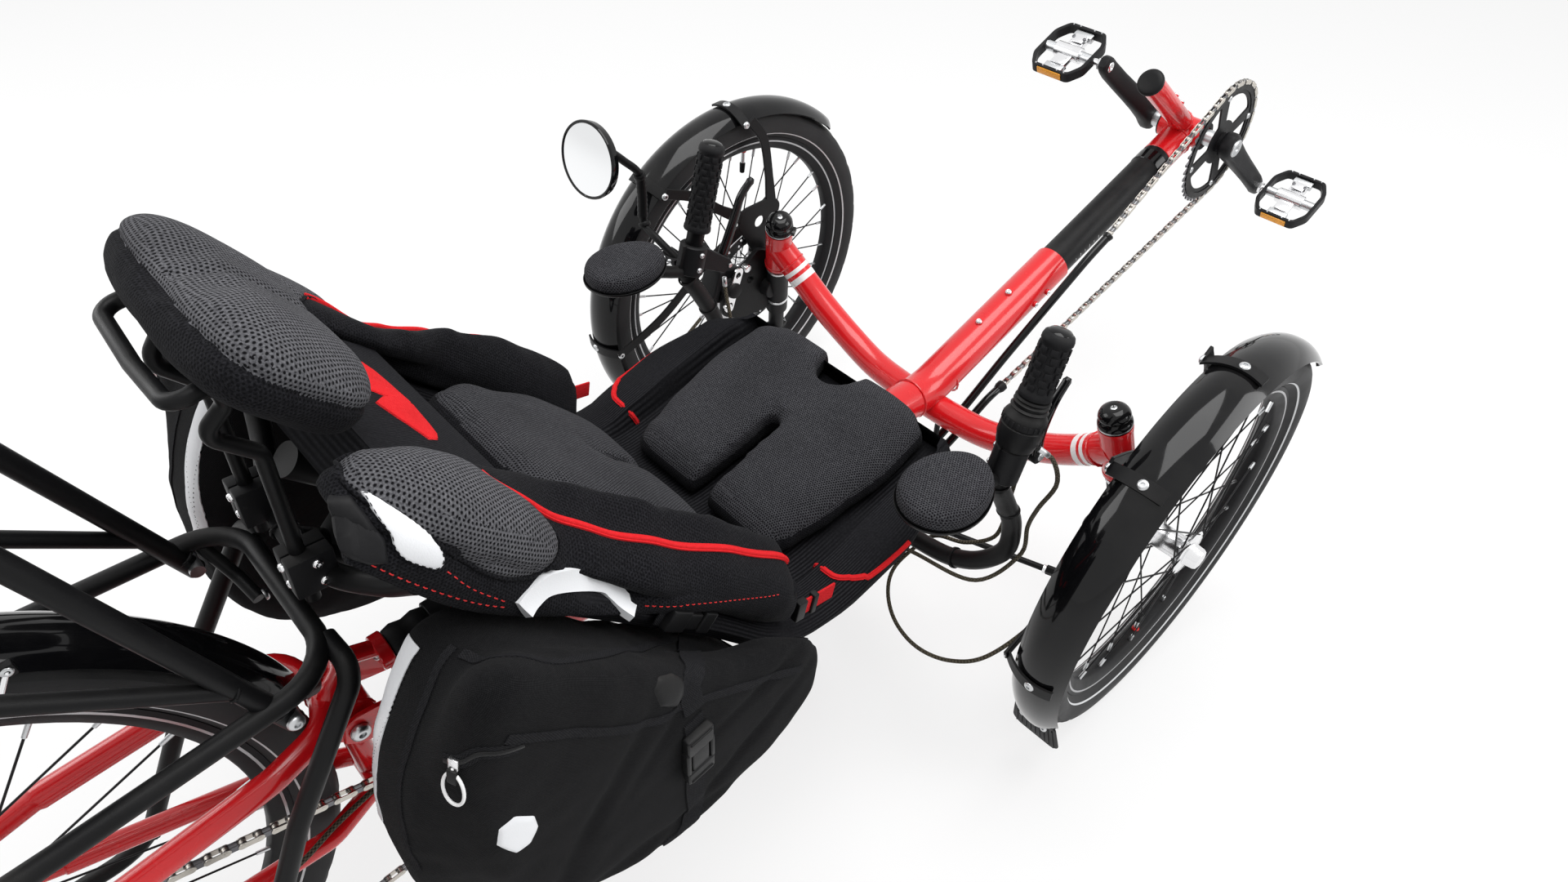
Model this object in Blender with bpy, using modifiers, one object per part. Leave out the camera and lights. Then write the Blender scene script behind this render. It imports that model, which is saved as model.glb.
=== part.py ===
"""Recumbent tricycle: two steered wheels in front, one driven wheel behind, a
reclined bucket seat, under-seat handlebar, telescopic boom and side bags.

Metres, +Z up, +Y forward, +X to the rider's right.  Everything is drawn from a
datum on the ground under the front axle; one empty carries that datum so that
the whole machine stands centred over the world origin.
"""
import math

import bmesh
import bpy
from mathutils import Matrix, Vector

# Driving dimensions
DATUM_Y = 0.365            # front axle ahead of the middle of the machine
TRACK = 0.751              # between the front wheel centres
WHEELBASE = 1.143          # front axle to rear axle
GAP = 0.0003               # gap left between touching pieces

FRONT_R = 0.250            # 47-406 tyre
FRONT_BEAD = 0.203
REAR_R = 0.3275            # 47-559 tyre
REAR_BEAD = 0.2795
TYRE_W = 0.047
RIM_W = 0.025
FRONT_SPOKES = 32
REAR_SPOKES = 32
SPOKE_R = 0.0010
ROTOR_R = 0.080

BOOM_R = 0.0237            # outer radius of the sliding boom
MAIN_R = 0.0270            # outer radius of the main tube
CROSS_R = 0.0195
BOOM_ANGLE = math.radians(18.0)
BOTTOM_BRACKET = Vector((0.0, 0.584, 0.422))
CRANK_LENGTH = 0.165
CRANK_ANGLE = math.radians(-40.0)
PEDAL_X = 0.149
CHAIN_X = 0.058
RING_TEETH = 44
CHAIN_PITCH = 0.0127

KINGPIN_TOP = Vector((0.266, -0.012, 0.3975))
KINGPIN_DOWN = Vector((0.24, 0.20, -1.0)).normalized()
STEER_PIVOT = Vector((0.0, -0.075, 0.175))
STEER_ARM = Vector((0.014, -0.078, 0.0))
ROD_OUTER = Vector((0.315, -0.049, 0.158))
BAR_R = 0.0111
GRIP_TOP = Vector((0.248, -0.140, 0.556))
GRIP_DIR = Vector((0.0, 0.289, 0.957)).normalized()

SWING_PIVOT = Vector((0.0, -0.790, 0.345))
REAR_AXLE = Vector((0.0, -WHEELBASE, REAR_R))

HEAD_TOP_Z = 0.3660        # head tube ends along the kingpin
HEAD_LOW_Z = 0.2960
HEAD_R = 0.0190
KINGPIN_R = 0.0100
STEER_BOSS_TOP = 0.1900
MAIN_FRONT_Y = 0.277       # where the boom leaves the main tube
PIVOT_SHELL_R = 0.0220     # rear pivot
SHELL_HALF = 0.0300
ELASTOMER_Z = 0.378
BOOM_BACK_Y = 0.105
HEAD_JOINT_Y = 0.517
BB_SHELL_R = 0.0205
BB_HALF = 0.034
GRIP_FOOT = Vector((0.248, -0.192, 0.385))
LEVER_PIVOTS = {1: Vector((0.250, -0.1280, 0.3860)), -1: Vector((0.262, -0.1240, 0.3760))}
ROD_R = 0.0040
EYE_R = 0.0085
EYE_HALF = 0.0040
ARM_DROP = 0.0013          # room for the outer eye to tilt over the steering arm
PIN_R = 0.0030
FENDER_R = 0.2625
FENDER_HALF = 0.0300
REAR_FENDER_R = 0.3450
MIRROR_BALL = Vector((-0.331, -0.236, 0.5380))
NECK_S = 0.766             # neck pad's middle along and off the seat line
NECK_T = 0.003
LEG_LOW = Vector((0.0450, -0.7725, 0.5400))
LEG_DIR = Vector((0.0, 0.09, 1.0)).normalized()
LEG_R = 0.0055
RACK_R = 0.0080
DECK_Z = 0.740
IDLER = Vector((0.0480, -0.4300, 0.1950))
IDLER_R = 0.0300
PULLEYS = (Vector((0.0480, -1.140, 0.232)), Vector((0.0480, -1.110, 0.148)))
COG_R = 0.0640             # middle cog, which the chain runs on
COG_X = 0.0450
CHAIN_W = 0.0048
CHAIN_H = 0.0070
TUBE_R = 0.0060            # chain tubes
TUBE_HANG_Z = 0.1590
CABLE_R = 0.0025

# Seat side line: the top of the pads on the middle plane, front to back
SEAT_LINE = [(-0.145, 0.386), (-0.280, 0.361), (-0.380, 0.344), (-0.430, 0.366),
             (-0.500, 0.452), (-0.600, 0.568), (-0.700, 0.685), (-0.800, 0.802)]

# Brake blades as (y, z) steps from their pins
LEVER_LINES = {1: [(0.0, 0.0), (-0.004, 0.024), (0.0, 0.048), (0.010, 0.072), (0.026, 0.091)],
               -1: [(0.0, 0.0), (0.014, 0.028), (0.027, 0.056), (0.038, 0.080), (0.058, 0.098)]}

RED = ("gloss_red", (0.62, 0.012, 0.016), 0.22, 0.0)
BLACK = ("satin_black", (0.012, 0.012, 0.013), 0.42, 0.0)
GLOSS_BLACK = ("gloss_black", (0.008, 0.008, 0.009), 0.12, 0.0)
RUBBER = ("rubber", (0.018, 0.018, 0.018), 0.75, 0.0)
ALLOY = ("polished_alloy", (0.80, 0.80, 0.80), 0.22, 1.0)
STEEL = ("chain_steel", (0.58, 0.56, 0.52), 0.35, 1.0)
GREY_MESH = ("grey_mesh", (0.075, 0.075, 0.08), 0.90, 0.0)
BLACK_MESH = ("black_mesh", (0.015, 0.015, 0.017), 0.92, 0.0)
CANVAS = ("black_canvas", (0.013, 0.013, 0.014), 0.85, 0.0)
CABLE = ("braided_cable", (0.030, 0.029, 0.026), 0.55, 0.0)
MIRROR_GLASS = ("mirror_glass", (0.85, 0.87, 0.88), 0.04, 1.0)
SIDES = ((1, "right"), (-1, "left"))


# Scene
for old in list(bpy.data.objects):
    bpy.data.objects.remove(old)
parts_collection = bpy.data.collections.new("recumbent_trike")
tool_collection = bpy.data.collections.new("cutters")
bpy.context.scene.collection.children.link(parts_collection)
bpy.context.scene.collection.children.link(tool_collection)
datum = bpy.data.objects.new("front_axle_datum", None)
datum.location = (0.0, DATUM_Y, 0.0)
parts_collection.objects.link(datum)
materials = {}


def material(spec):
    """One Principled material per finish, made the first time it is used."""
    name, color, roughness, metallic = spec
    if name not in materials:
        mat = bpy.data.materials.new(name)
        mat.use_nodes = True
        shader = mat.node_tree.nodes["Principled BSDF"]
        shader.inputs["Base Color"].default_value = (*color, 1.0)
        shader.inputs["Roughness"].default_value = roughness
        shader.inputs["Metallic"].default_value = metallic
        materials[name] = mat
    return materials[name]


def evaluated_mesh(obj):
    """The object's final mesh, welded and with its faces turned outward."""
    graph = bpy.context.evaluated_depsgraph_get()
    mesh = bpy.data.meshes.new_from_object(obj.evaluated_get(graph))
    mesh.transform(obj.matrix_basis)
    work = bmesh.new()
    work.from_mesh(mesh)
    bmesh.ops.remove_doubles(work, verts=work.verts, dist=1e-6)
    bmesh.ops.recalc_face_normals(work, faces=work.faces)
    work.to_mesh(mesh)
    work.free()
    return mesh


def solid(obj):
    """Swap a curve or a piece with modifiers for its plain mesh, in place."""
    mesh = evaluated_mesh(obj)
    name = obj.name
    bpy.data.objects.remove(obj)
    out = bpy.data.objects.new(name, mesh)
    parts_collection.objects.link(out)
    return out


def from_bmesh(name, work):
    mesh = bpy.data.meshes.new(name)
    work.to_mesh(mesh)
    work.free()
    obj = bpy.data.objects.new(name, mesh)
    parts_collection.objects.link(obj)
    return obj


def box(name, size, centre=(0, 0, 0), turn=None, bevel=0.0):
    """A block of the given size, turned about its middle and then moved."""
    work = bmesh.new()
    bmesh.ops.create_cube(work, size=1.0)
    bmesh.ops.scale(work, vec=size, verts=work.verts)
    if bevel:
        bmesh.ops.bevel(work, geom=work.edges[:], offset=bevel, segments=1, affect="EDGES")
    obj = from_bmesh(name, work)
    obj.data.transform(Matrix.Translation(centre) @ (turn or Matrix.Identity(4)))
    return obj


def aligned(direction):
    """Rotation that takes +Z onto a direction."""
    return Vector(direction).to_track_quat("Z", "Y").to_matrix().to_4x4()


def rod(name, start, end, radius, end_radius=None, sides=12):
    """A round bar or cone from one point to another."""
    start, end = Vector(start), Vector(end)
    work = bmesh.new()
    bmesh.ops.create_cone(work, cap_ends=True, segments=sides, radius1=radius,
                          radius2=radius if end_radius is None else end_radius,
                          depth=(end - start).length)
    obj = from_bmesh(name, work)
    obj.data.transform(Matrix.Translation((start + end) / 2) @ aligned(end - start))
    return obj


def lathe(name, profile, steps, closed=False):
    """Turn an (r, z) outline about Z; its outer side runs from top to bottom."""
    work = bmesh.new()
    verts = [work.verts.new((r, 0.0, z)) for r, z in profile]
    for a, b in zip(verts, verts[1:] + verts[:1] if closed else verts[1:]):
        work.edges.new((a, b))
    obj = from_bmesh(name, work)
    screw = obj.modifiers.new("turn", "SCREW")
    screw.steps = steps
    screw.render_steps = steps
    screw.use_merge_vertices = True
    screw.merge_threshold = 0.00001
    return solid(obj)


def bend(points, radius, steps=4):
    """Straight runs joined by arcs of the given radius, as a tube is bent."""
    points = [Vector(p) for p in points]
    out = [points[0]]
    for before, corner, after in zip(points, points[1:], points[2:]):
        back, ahead = (before - corner).normalized(), (after - corner).normalized()
        half = back.angle(ahead) / 2
        reach = min(radius / math.tan(half), 0.48 * (before - corner).length,
                    0.48 * (after - corner).length)
        centre = corner + (back + ahead).normalized() * (reach / math.cos(half))
        first, last = corner + back * reach, corner + ahead * reach
        for i in range(steps + 1):
            mix = (first - centre).lerp(last - centre, i / steps).normalized()
            out.append(centre + mix * (first - centre).length)
    return out + [points[-1]]


def smooth(points, count):
    """A smooth run through a few points (centripetal, evenly spaced)."""
    points = [Vector(p) for p in points]
    padded = [2 * points[0] - points[1]] + points + [2 * points[-1] - points[-2]]
    fine = []
    for a, b, c, d in zip(padded, padded[1:], padded[2:], padded[3:]):
        for i in range(16):
            t = i / 16
            fine.append(0.5 * ((2 * b) + (c - a) * t + (2 * a - 5 * b + 4 * c - d) * t * t
                               + (3 * b - a - 3 * c + d) * t ** 3))
    fine.append(points[-1])
    lengths = [0.0]
    for a, b in zip(fine, fine[1:]):
        lengths.append(lengths[-1] + (b - a).length)
    out, k = [], 0
    for i in range(count):
        goal = lengths[-1] * i / (count - 1)
        while k < len(fine) - 2 and lengths[k + 1] < goal:
            k += 1
        span = max(lengths[k + 1] - lengths[k], 1e-9)
        out.append(fine[k].lerp(fine[k + 1], min(1.0, (goal - lengths[k]) / span)))
    return out


def tube(name, points, radius, sides=12):
    """A round tube along points, as a poly curve with filled caps."""
    curve = bpy.data.curves.new(name, "CURVE")
    curve.dimensions = "3D"
    curve.bevel_depth = radius
    curve.bevel_resolution = sides // 2 - 2
    curve.use_fill_caps = True
    spline = curve.splines.new("POLY")
    spline.points.add(len(points) - 1)
    for knot, p in zip(spline.points, points):
        knot.co = (*p, 1.0)
    obj = bpy.data.objects.new(name, curve)
    parts_collection.objects.link(obj)
    return solid(obj)


def plate(name, outline, thickness, holes=(), matrix=None):
    """A flat sheet cut to an outline, centred on its own XY plane."""
    curve = bpy.data.curves.new(name, "CURVE")
    curve.dimensions = "2D"
    curve.fill_mode = "BOTH"
    curve.extrude = thickness / 2
    for ring in (outline, *holes):
        spline = curve.splines.new("POLY")
        spline.points.add(len(ring) - 1)
        for knot, (x, y) in zip(spline.points, ring):
            knot.co = (x, y, 0.0, 1.0)
        spline.use_cyclic_u = True
    obj = bpy.data.objects.new(name, curve)
    parts_collection.objects.link(obj)
    obj = solid(obj)
    if matrix:
        obj.data.transform(matrix)
    return obj


def across(x):
    """Puts a plate drawn as (y, z) into the upright plane at x."""
    return Matrix(((0, 0, 1, x), (1, 0, 0, 0), (0, 1, 0, 0), (0, 0, 0, 1)))


def circle(radius, count, centre=(0.0, 0.0), start=0.0):
    return [(centre[0] + radius * math.cos(start + math.tau * i / count),
             centre[1] + radius * math.sin(start + math.tau * i / count)) for i in range(count)]


def ribbon(points, widths):
    """Outline of a flat strip that follows points with the given widths."""
    points = [Vector(p) for p in points]
    left, right = [], []
    for i, p in enumerate(points):
        ahead = (points[min(i + 1, len(points) - 1)] - points[max(i - 1, 0)]).normalized()
        side = Vector((-ahead.y, ahead.x)) * widths[i] / 2
        left.append(tuple(p + side))
        right.append(tuple(p - side))
    return left + right[::-1]


def boolean(obj, other, operation):
    mod = obj.modifiers.new(operation.lower(), "BOOLEAN")
    mod.operation = operation
    mod.solver = "EXACT"
    mod.object = other
    out = solid(obj)
    bpy.data.objects.remove(other)
    return out


def fuse(name, pieces):
    """Boolean union of overlapping pieces into one body."""
    body = pieces[0]
    for piece in pieces[1:]:
        body = boolean(body, piece, "UNION")
    body.name = name
    return body


def cut(obj, cutter):
    """Take a cutter out of a body."""
    parts_collection.objects.unlink(cutter)
    tool_collection.objects.link(cutter)
    cutter.hide_render = True
    cutter.display_type = "WIRE"
    return boolean(obj, cutter, "DIFFERENCE")


def join(name, pieces):
    """Put separate closed shells into one mesh, to be fused in one step."""
    work = bmesh.new()
    for piece in pieces:
        work.from_mesh(piece.data)
        bpy.data.objects.remove(piece)
    return from_bmesh(name, work)


def finish(obj, name, spec, pivot=(0, 0, 0), smooth_angle=35.0):
    """Name and colour a node, and set its origin on the axis it moves about."""
    obj.name = name
    obj.data.name = name
    obj.data.materials.clear()
    obj.data.materials.append(material(spec))
    obj.data.transform(Matrix.Translation(-Vector(pivot)))
    obj.location = pivot
    obj.parent = datum
    obj.data.shade_smooth()
    obj.data.set_sharp_from_angle(angle=math.radians(smooth_angle))
    return obj


def mirrored(obj, side):
    """Flip a right-hand piece over to the left when side is -1."""
    if side < 0:
        obj.data.transform(Matrix.Diagonal((-1.0, 1.0, 1.0, 1.0)))
        obj.data.flip_normals()
    return obj


def sided(side, p):
    return Vector((side * p[0], p[1], p[2]))


# Wheels, drawn about local Z with the outboard side up
def tyre_profile(outer_r, bead_r):
    """Closed tyre outline: tread crown, shoulders, sidewalls and bead."""
    half = TYRE_W / 2
    belly = bead_r + 0.023
    bead = bead_r + 0.0015
    up = [(bead, 0.0094), (bead + 0.0065, 0.0098), (belly - 0.004, half), (outer_r - 0.0065, 0.0190), (outer_r, 0.0070)]
    return up[::-1] + [(r, -z) for r, z in up]


def rim_profile(bead_r, depth):
    """Closed double-flanged rim outline with a drawn-in nipple bed."""
    flange = bead_r + 0.006
    bed = bead_r + 0.0010
    half = RIM_W / 2
    outside = [(flange, half), (bed - depth, half - 0.0055)]
    inside = [(flange, half - 0.0022), (bed, half - 0.0030)]
    down = outside + [(r, -z) for r, z in outside[::-1]]
    return down + [(r, -z) for r, z in inside] + inside[::-1]


def laced_spokes(count, rim_r, flanges, crosses, segments):
    """Tangent-laced spokes: half lead and half trail on each flange."""
    pitch = math.tau / count
    spokes = []
    for flange_index, (flange_r, flange_z) in enumerate(flanges):
        for hole in range(count // 2):
            lead = 1 if hole % 2 else -1
            at_hub = (2 * hole + flange_index) * pitch
            at_rim = at_hub + lead * 2 * crosses * pitch
            lift = 0.0019 if lead > 0 else -0.0019
            rim_z = math.copysign(0.0035, flange_z) + lift / 2
            facet = rim_r * math.cos(math.pi / segments)
            start = Vector((flange_r * math.cos(at_hub), flange_r * math.sin(at_hub), flange_z + lift))
            end = Vector((facet * math.cos(at_rim), facet * math.sin(at_rim), rim_z))
            toward = (end - start).normalized()
            spokes.append(rod("spoke", start, end + toward * 0.0020, SPOKE_R, sides=3))
    return join("spokes", spokes)


def front_hub():
    """Hub shell for a stub axle: two flanges, a rotor seat and a blind bore."""
    return lathe("hub", [
        (0.0, 0.0400), (0.0130, 0.0390), (0.0155, 0.0250), (0.0290, 0.0240),
        (0.0290, 0.0200), (0.0155, 0.0160), (0.0155, -0.0160), (0.0290, -0.0200),
        (0.0290, -0.0250), (0.0215, -0.0260), (0.0215, -0.0390), (0.0093, -0.0390),
        (0.0093, 0.0320), (0.0, 0.0320)], 8)


def rear_hub():
    return lathe("hub", [
        (0.0, 0.0810), (0.0072, 0.0810), (0.0072, 0.0590), (0.0155, 0.0580), (0.0155, 0.0240),
        (0.0300, 0.0215), (0.0300, 0.0175), (0.0170, 0.0140), (0.0170, -0.0260),
        (0.0300, -0.0300), (0.0300, -0.0340), (0.0180, -0.0370), (0.0180, -0.0590),
        (0.0072, -0.0590), (0.0072, -0.0810), (0.0, -0.0810)], 8)


def wheel(name, side, centre, radius, bead_r, depth, spokes, hub, flanges, segments):
    """Tyre, rim and laced wheel on one axle; local Z becomes the outboard side."""
    turn = Matrix.Rotation(math.radians(90 * side), 4, "Y")
    place = Matrix.Translation(centre) @ turn
    tyre = lathe("tyre", tyre_profile(radius, bead_r), segments, closed=True)
    rim = lathe("rim", rim_profile(bead_r, depth), segments, closed=True)
    lacing = laced_spokes(spokes, bead_r + 0.0010 - depth, flanges, 3, segments)
    laced = fuse("laced_wheel", [rim, lacing, hub])
    for obj, label, spec in ((tyre, "tyre", RUBBER), (laced, "wheel", BLACK)):
        obj.data.transform(place)
        finish(obj, name + label, spec, centre)


def rotor(name, side, centre):
    """Brake disc with six swept arms between the hub ring and the brake track."""
    windows = []
    arms, span = 6, math.tau / 6
    for i in range(arms):
        a = i * span
        inner = [(0.0300, a + t) for t in (0.20, 0.85)]
        outer = [(0.0640, a + t) for t in (1.02, 0.66, 0.30)]
        windows.append([(r * math.cos(t), r * math.sin(t)) for r, t in inner + outer])
    disc = plate("disc", circle(ROTOR_R, 24), 0.0020, [circle(0.0215 + GAP * 4, 12)] + windows)
    offset = Matrix.Translation((0.0, 0.0, -0.0335))
    turn = Matrix.Rotation(math.radians(90 * side), 4, "Y")
    disc.data.transform(Matrix.Translation(centre) @ turn @ offset)
    finish(disc, name, STEEL, centre)


FRONT_CENTRES = {side: Vector((side * TRACK / 2, 0.0, FRONT_R)) for side, _ in SIDES}
for side, label in SIDES:
    wheel("front_" + label + "_", side, FRONT_CENTRES[side], FRONT_R, FRONT_BEAD, 0.0130,
          FRONT_SPOKES, front_hub(), ((0.0265, 0.0220), (0.0265, -0.0220)), 24)
    rotor("front_" + label + "_rotor", side, FRONT_CENTRES[side])
wheel("rear_", 1, REAR_AXLE, REAR_R, REAR_BEAD, 0.0140,
      REAR_SPOKES, rear_hub(), ((0.0275, 0.0195), (0.0275, -0.0320)), 26)


# Main frame
def kingpin_at(z, side=1):
    """The point of the kingpin axis at a given height."""
    step = (KINGPIN_TOP.z - z) / -KINGPIN_DOWN.z
    p = KINGPIN_TOP + KINGPIN_DOWN * step
    return Vector((side * p.x, p.y, p.z))


BOOM_AXIS = Vector((0.0, math.cos(BOOM_ANGLE), math.sin(BOOM_ANGLE)))
BOOM_LINE = BOTTOM_BRACKET + Vector((0.0, 0.0, -0.004))


def boom_at(y):
    """A point of the boom's own axis, by its distance ahead of the front axle."""
    return BOOM_LINE + BOOM_AXIS * ((y - BOOM_LINE.y) / BOOM_AXIS.y)


CROSS_LINE = [(0.0, 0.014, 0.213), (0.050, 0.016, 0.2125), (0.100, 0.019, 0.216),
              (0.150, 0.021, 0.232), (0.200, 0.017, 0.261), (0.240, 0.012, 0.292),
              (0.281, 0.000, 0.334)]
MAIN_REAR = [(0.0, 0.010, 0.2340), (0.0, -0.190, 0.2500), (0.0, -0.560, 0.2850), (0.0, -0.735, 0.3288)]


def main_frame():
    """Main tube, cross-member, head tubes, rear pivot shell and bosses in one weldment."""
    front = boom_at(MAIN_FRONT_Y)
    spine = tube("spine", bend([front, *MAIN_REAR], 0.12, 2), MAIN_R, 10)
    line = smooth([(-x, y, z) for x, y, z in CROSS_LINE[:0:-1]] + CROSS_LINE, 11)
    pieces = [spine, tube("cross", line, CROSS_R, 8)]
    for side, _ in SIDES:
        pieces.append(rod("head", kingpin_at(HEAD_LOW_Z, side), kingpin_at(HEAD_TOP_Z, side), HEAD_R, sides=12))
    post_low = Vector((0.0, STEER_PIVOT.y, STEER_BOSS_TOP + GAP))
    pieces.append(rod("steer_post", post_low, (0.0, STEER_PIVOT.y, 0.240), 0.0150, sides=10))
    pieces.append(rod("steer_pin", (0.0, STEER_PIVOT.y, 0.160), (0.0, STEER_PIVOT.y, 0.240), 0.0060, sides=8))
    for side, _ in SIDES:
        cheek = plate("cheek", ribbon([(-0.700, 0.318), (-0.750, 0.334), (-0.790, 0.345), (-0.802, 0.348)],
                                      [0.034, 0.040, 0.036, 0.020]), 0.0050)
        cheek.data.transform(across(side * (SHELL_HALF + GAP + 0.0025)))
        pieces.append(cheek)
    pieces.append(box("cheek_block", (0.068, 0.020, 0.032), (0.0, -0.716, 0.323),
                      Matrix.Rotation(math.radians(-14), 4, "X")))
    pivot = Vector((0.0, *SWING_PIVOT.yz))
    pieces.append(rod("pivot_pin", pivot - Vector((0.040, 0, 0)), pivot + Vector((0.040, 0, 0)), 0.0080, sides=8))
    post = bend([(0.0, -0.655, 0.300), (0.0, -0.660, 0.350), (0.0, -0.682, ELASTOMER_Z)], 0.02, 2)
    pieces.append(tube("elastomer_post", post, 0.0130, 8))
    pieces.append(rod("elastomer_seat", (0.0, -0.678, ELASTOMER_Z), (0.0, -0.696, ELASTOMER_Z), 0.0180, sides=10))
    up = Vector((0.0, -BOOM_AXIS.z, BOOM_AXIS.y))
    for y in (0.184, 0.123):
        top = boom_at(y)
        pieces.append(rod("boss", top + up * 0.020, top + up * (MAIN_R + 0.0060), 0.0065, 0.0045, 8))
    for y in (0.232, 0.206):
        low = boom_at(y)
        pieces.append(rod("cable_boss", low + Vector((0.020, 0, 0)), low + Vector((MAIN_R + 0.0040, 0, 0)), 0.0040, sides=6))
    pieces.append(box("idler_block", (0.024, 0.034, 0.024), (0.0260, IDLER.y, 0.2670)))
    pieces.append(plate("idler_plate", [(IDLER.y - 0.017, 0.276), (IDLER.y + 0.017, 0.276), (IDLER.y + 0.011, IDLER.z - 0.010),
                                        (IDLER.y - 0.011, IDLER.z - 0.010)], 0.0040, (), across(0.0360)))
    pieces.append(rod("idler_pin", (0.0345, *IDLER.yz), (0.0585, *IDLER.yz), 0.0060, sides=8))
    pieces.append(rod("tube_hanger", (0.0220, 0.022, 0.205), (0.0220, 0.022, TUBE_HANG_Z), 0.0040, sides=6))
    frame = fuse("main_frame", pieces)
    frame = cut(frame, rod("boom_bore", boom_at(MAIN_FRONT_Y + 0.01), boom_at(0.075), BOOM_R + 0.0012, sides=12))
    for side, _ in SIDES:
        ends = kingpin_at(HEAD_TOP_Z + 0.004, side), kingpin_at(HEAD_LOW_Z - 0.004, side)
        frame = cut(frame, rod("kingpin_bore", *ends, KINGPIN_R + 0.0012, sides=8))
    finish(frame, "main_frame", RED)


main_frame()


# Boom, bottom bracket and cranks
CRANK_DIR = Vector((0.0, math.cos(CRANK_ANGLE), math.sin(CRANK_ANGLE)))


def boom():
    """Sliding black tube and the red head with its shell and accessory post."""
    bore = tube("boom_tube", [boom_at(BOOM_BACK_Y), boom_at(HEAD_JOINT_Y - GAP)], BOOM_R, 14)
    bore = cut(bore, rod("hollow", boom_at(BOOM_BACK_Y - 0.01), boom_at(BOOM_BACK_Y + 0.33), BOOM_R - 0.0026, sides=12))
    finish(bore, "boom_tube", BLACK)
    post_low, post_top = BOTTOM_BRACKET + Vector((0, 0.0, 0.004)), Vector((0.0, 0.4290, 0.5400))
    neck = rod("neck", boom_at(HEAD_JOINT_Y), boom_at(0.586), BOOM_R + 0.0004, sides=16)
    shell = rod("shell", BOTTOM_BRACKET - Vector((BB_HALF, 0, 0)), BOTTOM_BRACKET + Vector((BB_HALF, 0, 0)), BB_SHELL_R, sides=16)
    post = rod("post", post_low, post_top, 0.0158, sides=12)
    along = (post_top - post_low).normalized()
    ahead = Vector((0.0, along.z, -along.y))
    bolts = []
    for t in (0.060, 0.092):
        base = post_low + along * t
        bolts.append(rod("lug", base, base + ahead * 0.0215, 0.0040, sides=6))
    along_cap = post_top - along * 0.001
    cap = lathe("cap", [(0.0, 0.0052), (0.0150, 0.0046), (0.0182, 0.0026), (0.0182, 0.0), (0.0, 0.0)], 12)
    cap.data.transform(Matrix.Translation(along_cap) @ aligned(along))
    head = fuse("boom_head", [neck, shell, post, cap, *bolts])
    head = cut(head, rod("axle_way", BOTTOM_BRACKET - Vector((0.05, 0, 0)), BOTTOM_BRACKET + Vector((0.05, 0, 0)), 0.0140, sides=12))
    finish(head, "boom_head", RED)


def gear_outline(teeth, root_drop=0.0042, tip_rise=0.0032):
    """Outline of a chain wheel: flat-topped teeth round a pitch circle."""
    pitch_r = CHAIN_PITCH / (2 * math.sin(math.pi / teeth))
    points = []
    for i in range(teeth):
        for share, r in ((0.0, pitch_r - root_drop), (0.36, pitch_r + tip_rise),
                         (0.64, pitch_r + tip_rise)):
            a = (i + share) * math.tau / teeth
            points.append((r * math.cos(a), r * math.sin(a)))
    return points


def chainring():
    """Toothed ring carried by four spider arms, cut from one plate with a hub."""
    windows = []
    arms = 4
    for i in range(arms):
        a = i * math.tau / arms + 0.35
        inner = [(0.0330, a + t) for t in (0.24, 0.78, 1.32)]
        outer = [(0.0730, a + t) for t in (1.44, 1.11, 0.78, 0.45, 0.12)]
        windows.append([(r * math.cos(t), r * math.sin(t)) for r, t in inner + outer])
    ring = plate("ring", gear_outline(RING_TEETH), 0.0030, [circle(0.0150 + GAP, 16)] + windows,
                 across(CHAIN_X))
    ring.data.transform(Matrix.Translation((0.0, *BOTTOM_BRACKET.yz)))
    finish(ring, "chainring", BLACK, (CHAIN_X, *BOTTOM_BRACKET.yz))


def crank_arm(side, inner_x, outer_x):
    """Forged arm: a deep box that tapers and steps outward to the pedal eye."""
    direction = CRANK_DIR * side
    stations = [(-0.016, 0.0150, 0.0100), (-0.006, 0.0195, 0.0110), (0.030, 0.0170, 0.0105), (0.090, 0.0145, 0.0085),
                (0.150, 0.0140, 0.0075), (0.172, 0.0125, 0.0072), (0.180, 0.0070, 0.0065)]
    across_arm = Vector((1.0, 0.0, 0.0)).cross(direction)
    work = bmesh.new()
    rings = []
    for t, wide, thick in stations:
        blend = min(max((t - 0.03) / 0.11, 0.0), 1.0)
        x = side * (inner_x + (outer_x - inner_x) * blend)
        centre = BOTTOM_BRACKET + direction * t
        ring = []
        for u, v in ((1, 0.45), (0.45, 1), (-0.45, 1), (-1, 0.45), (-1, -0.45), (-0.45, -1), (0.45, -1), (1, -0.45)):
            p = centre + across_arm * wide * u + Vector((x + thick * v, 0.0, 0.0))
            ring.append(work.verts.new(p))
        rings.append(ring)
    for a, b in zip(rings, rings[1:]):
        for i in range(8):
            work.faces.new((a[i], a[(i + 1) % 8], b[(i + 1) % 8], b[i]))
    work.faces.new(rings[0][::-1])
    work.faces.new(rings[-1])
    bmesh.ops.recalc_face_normals(work, faces=work.faces)
    return from_bmesh("arm", work)


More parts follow.
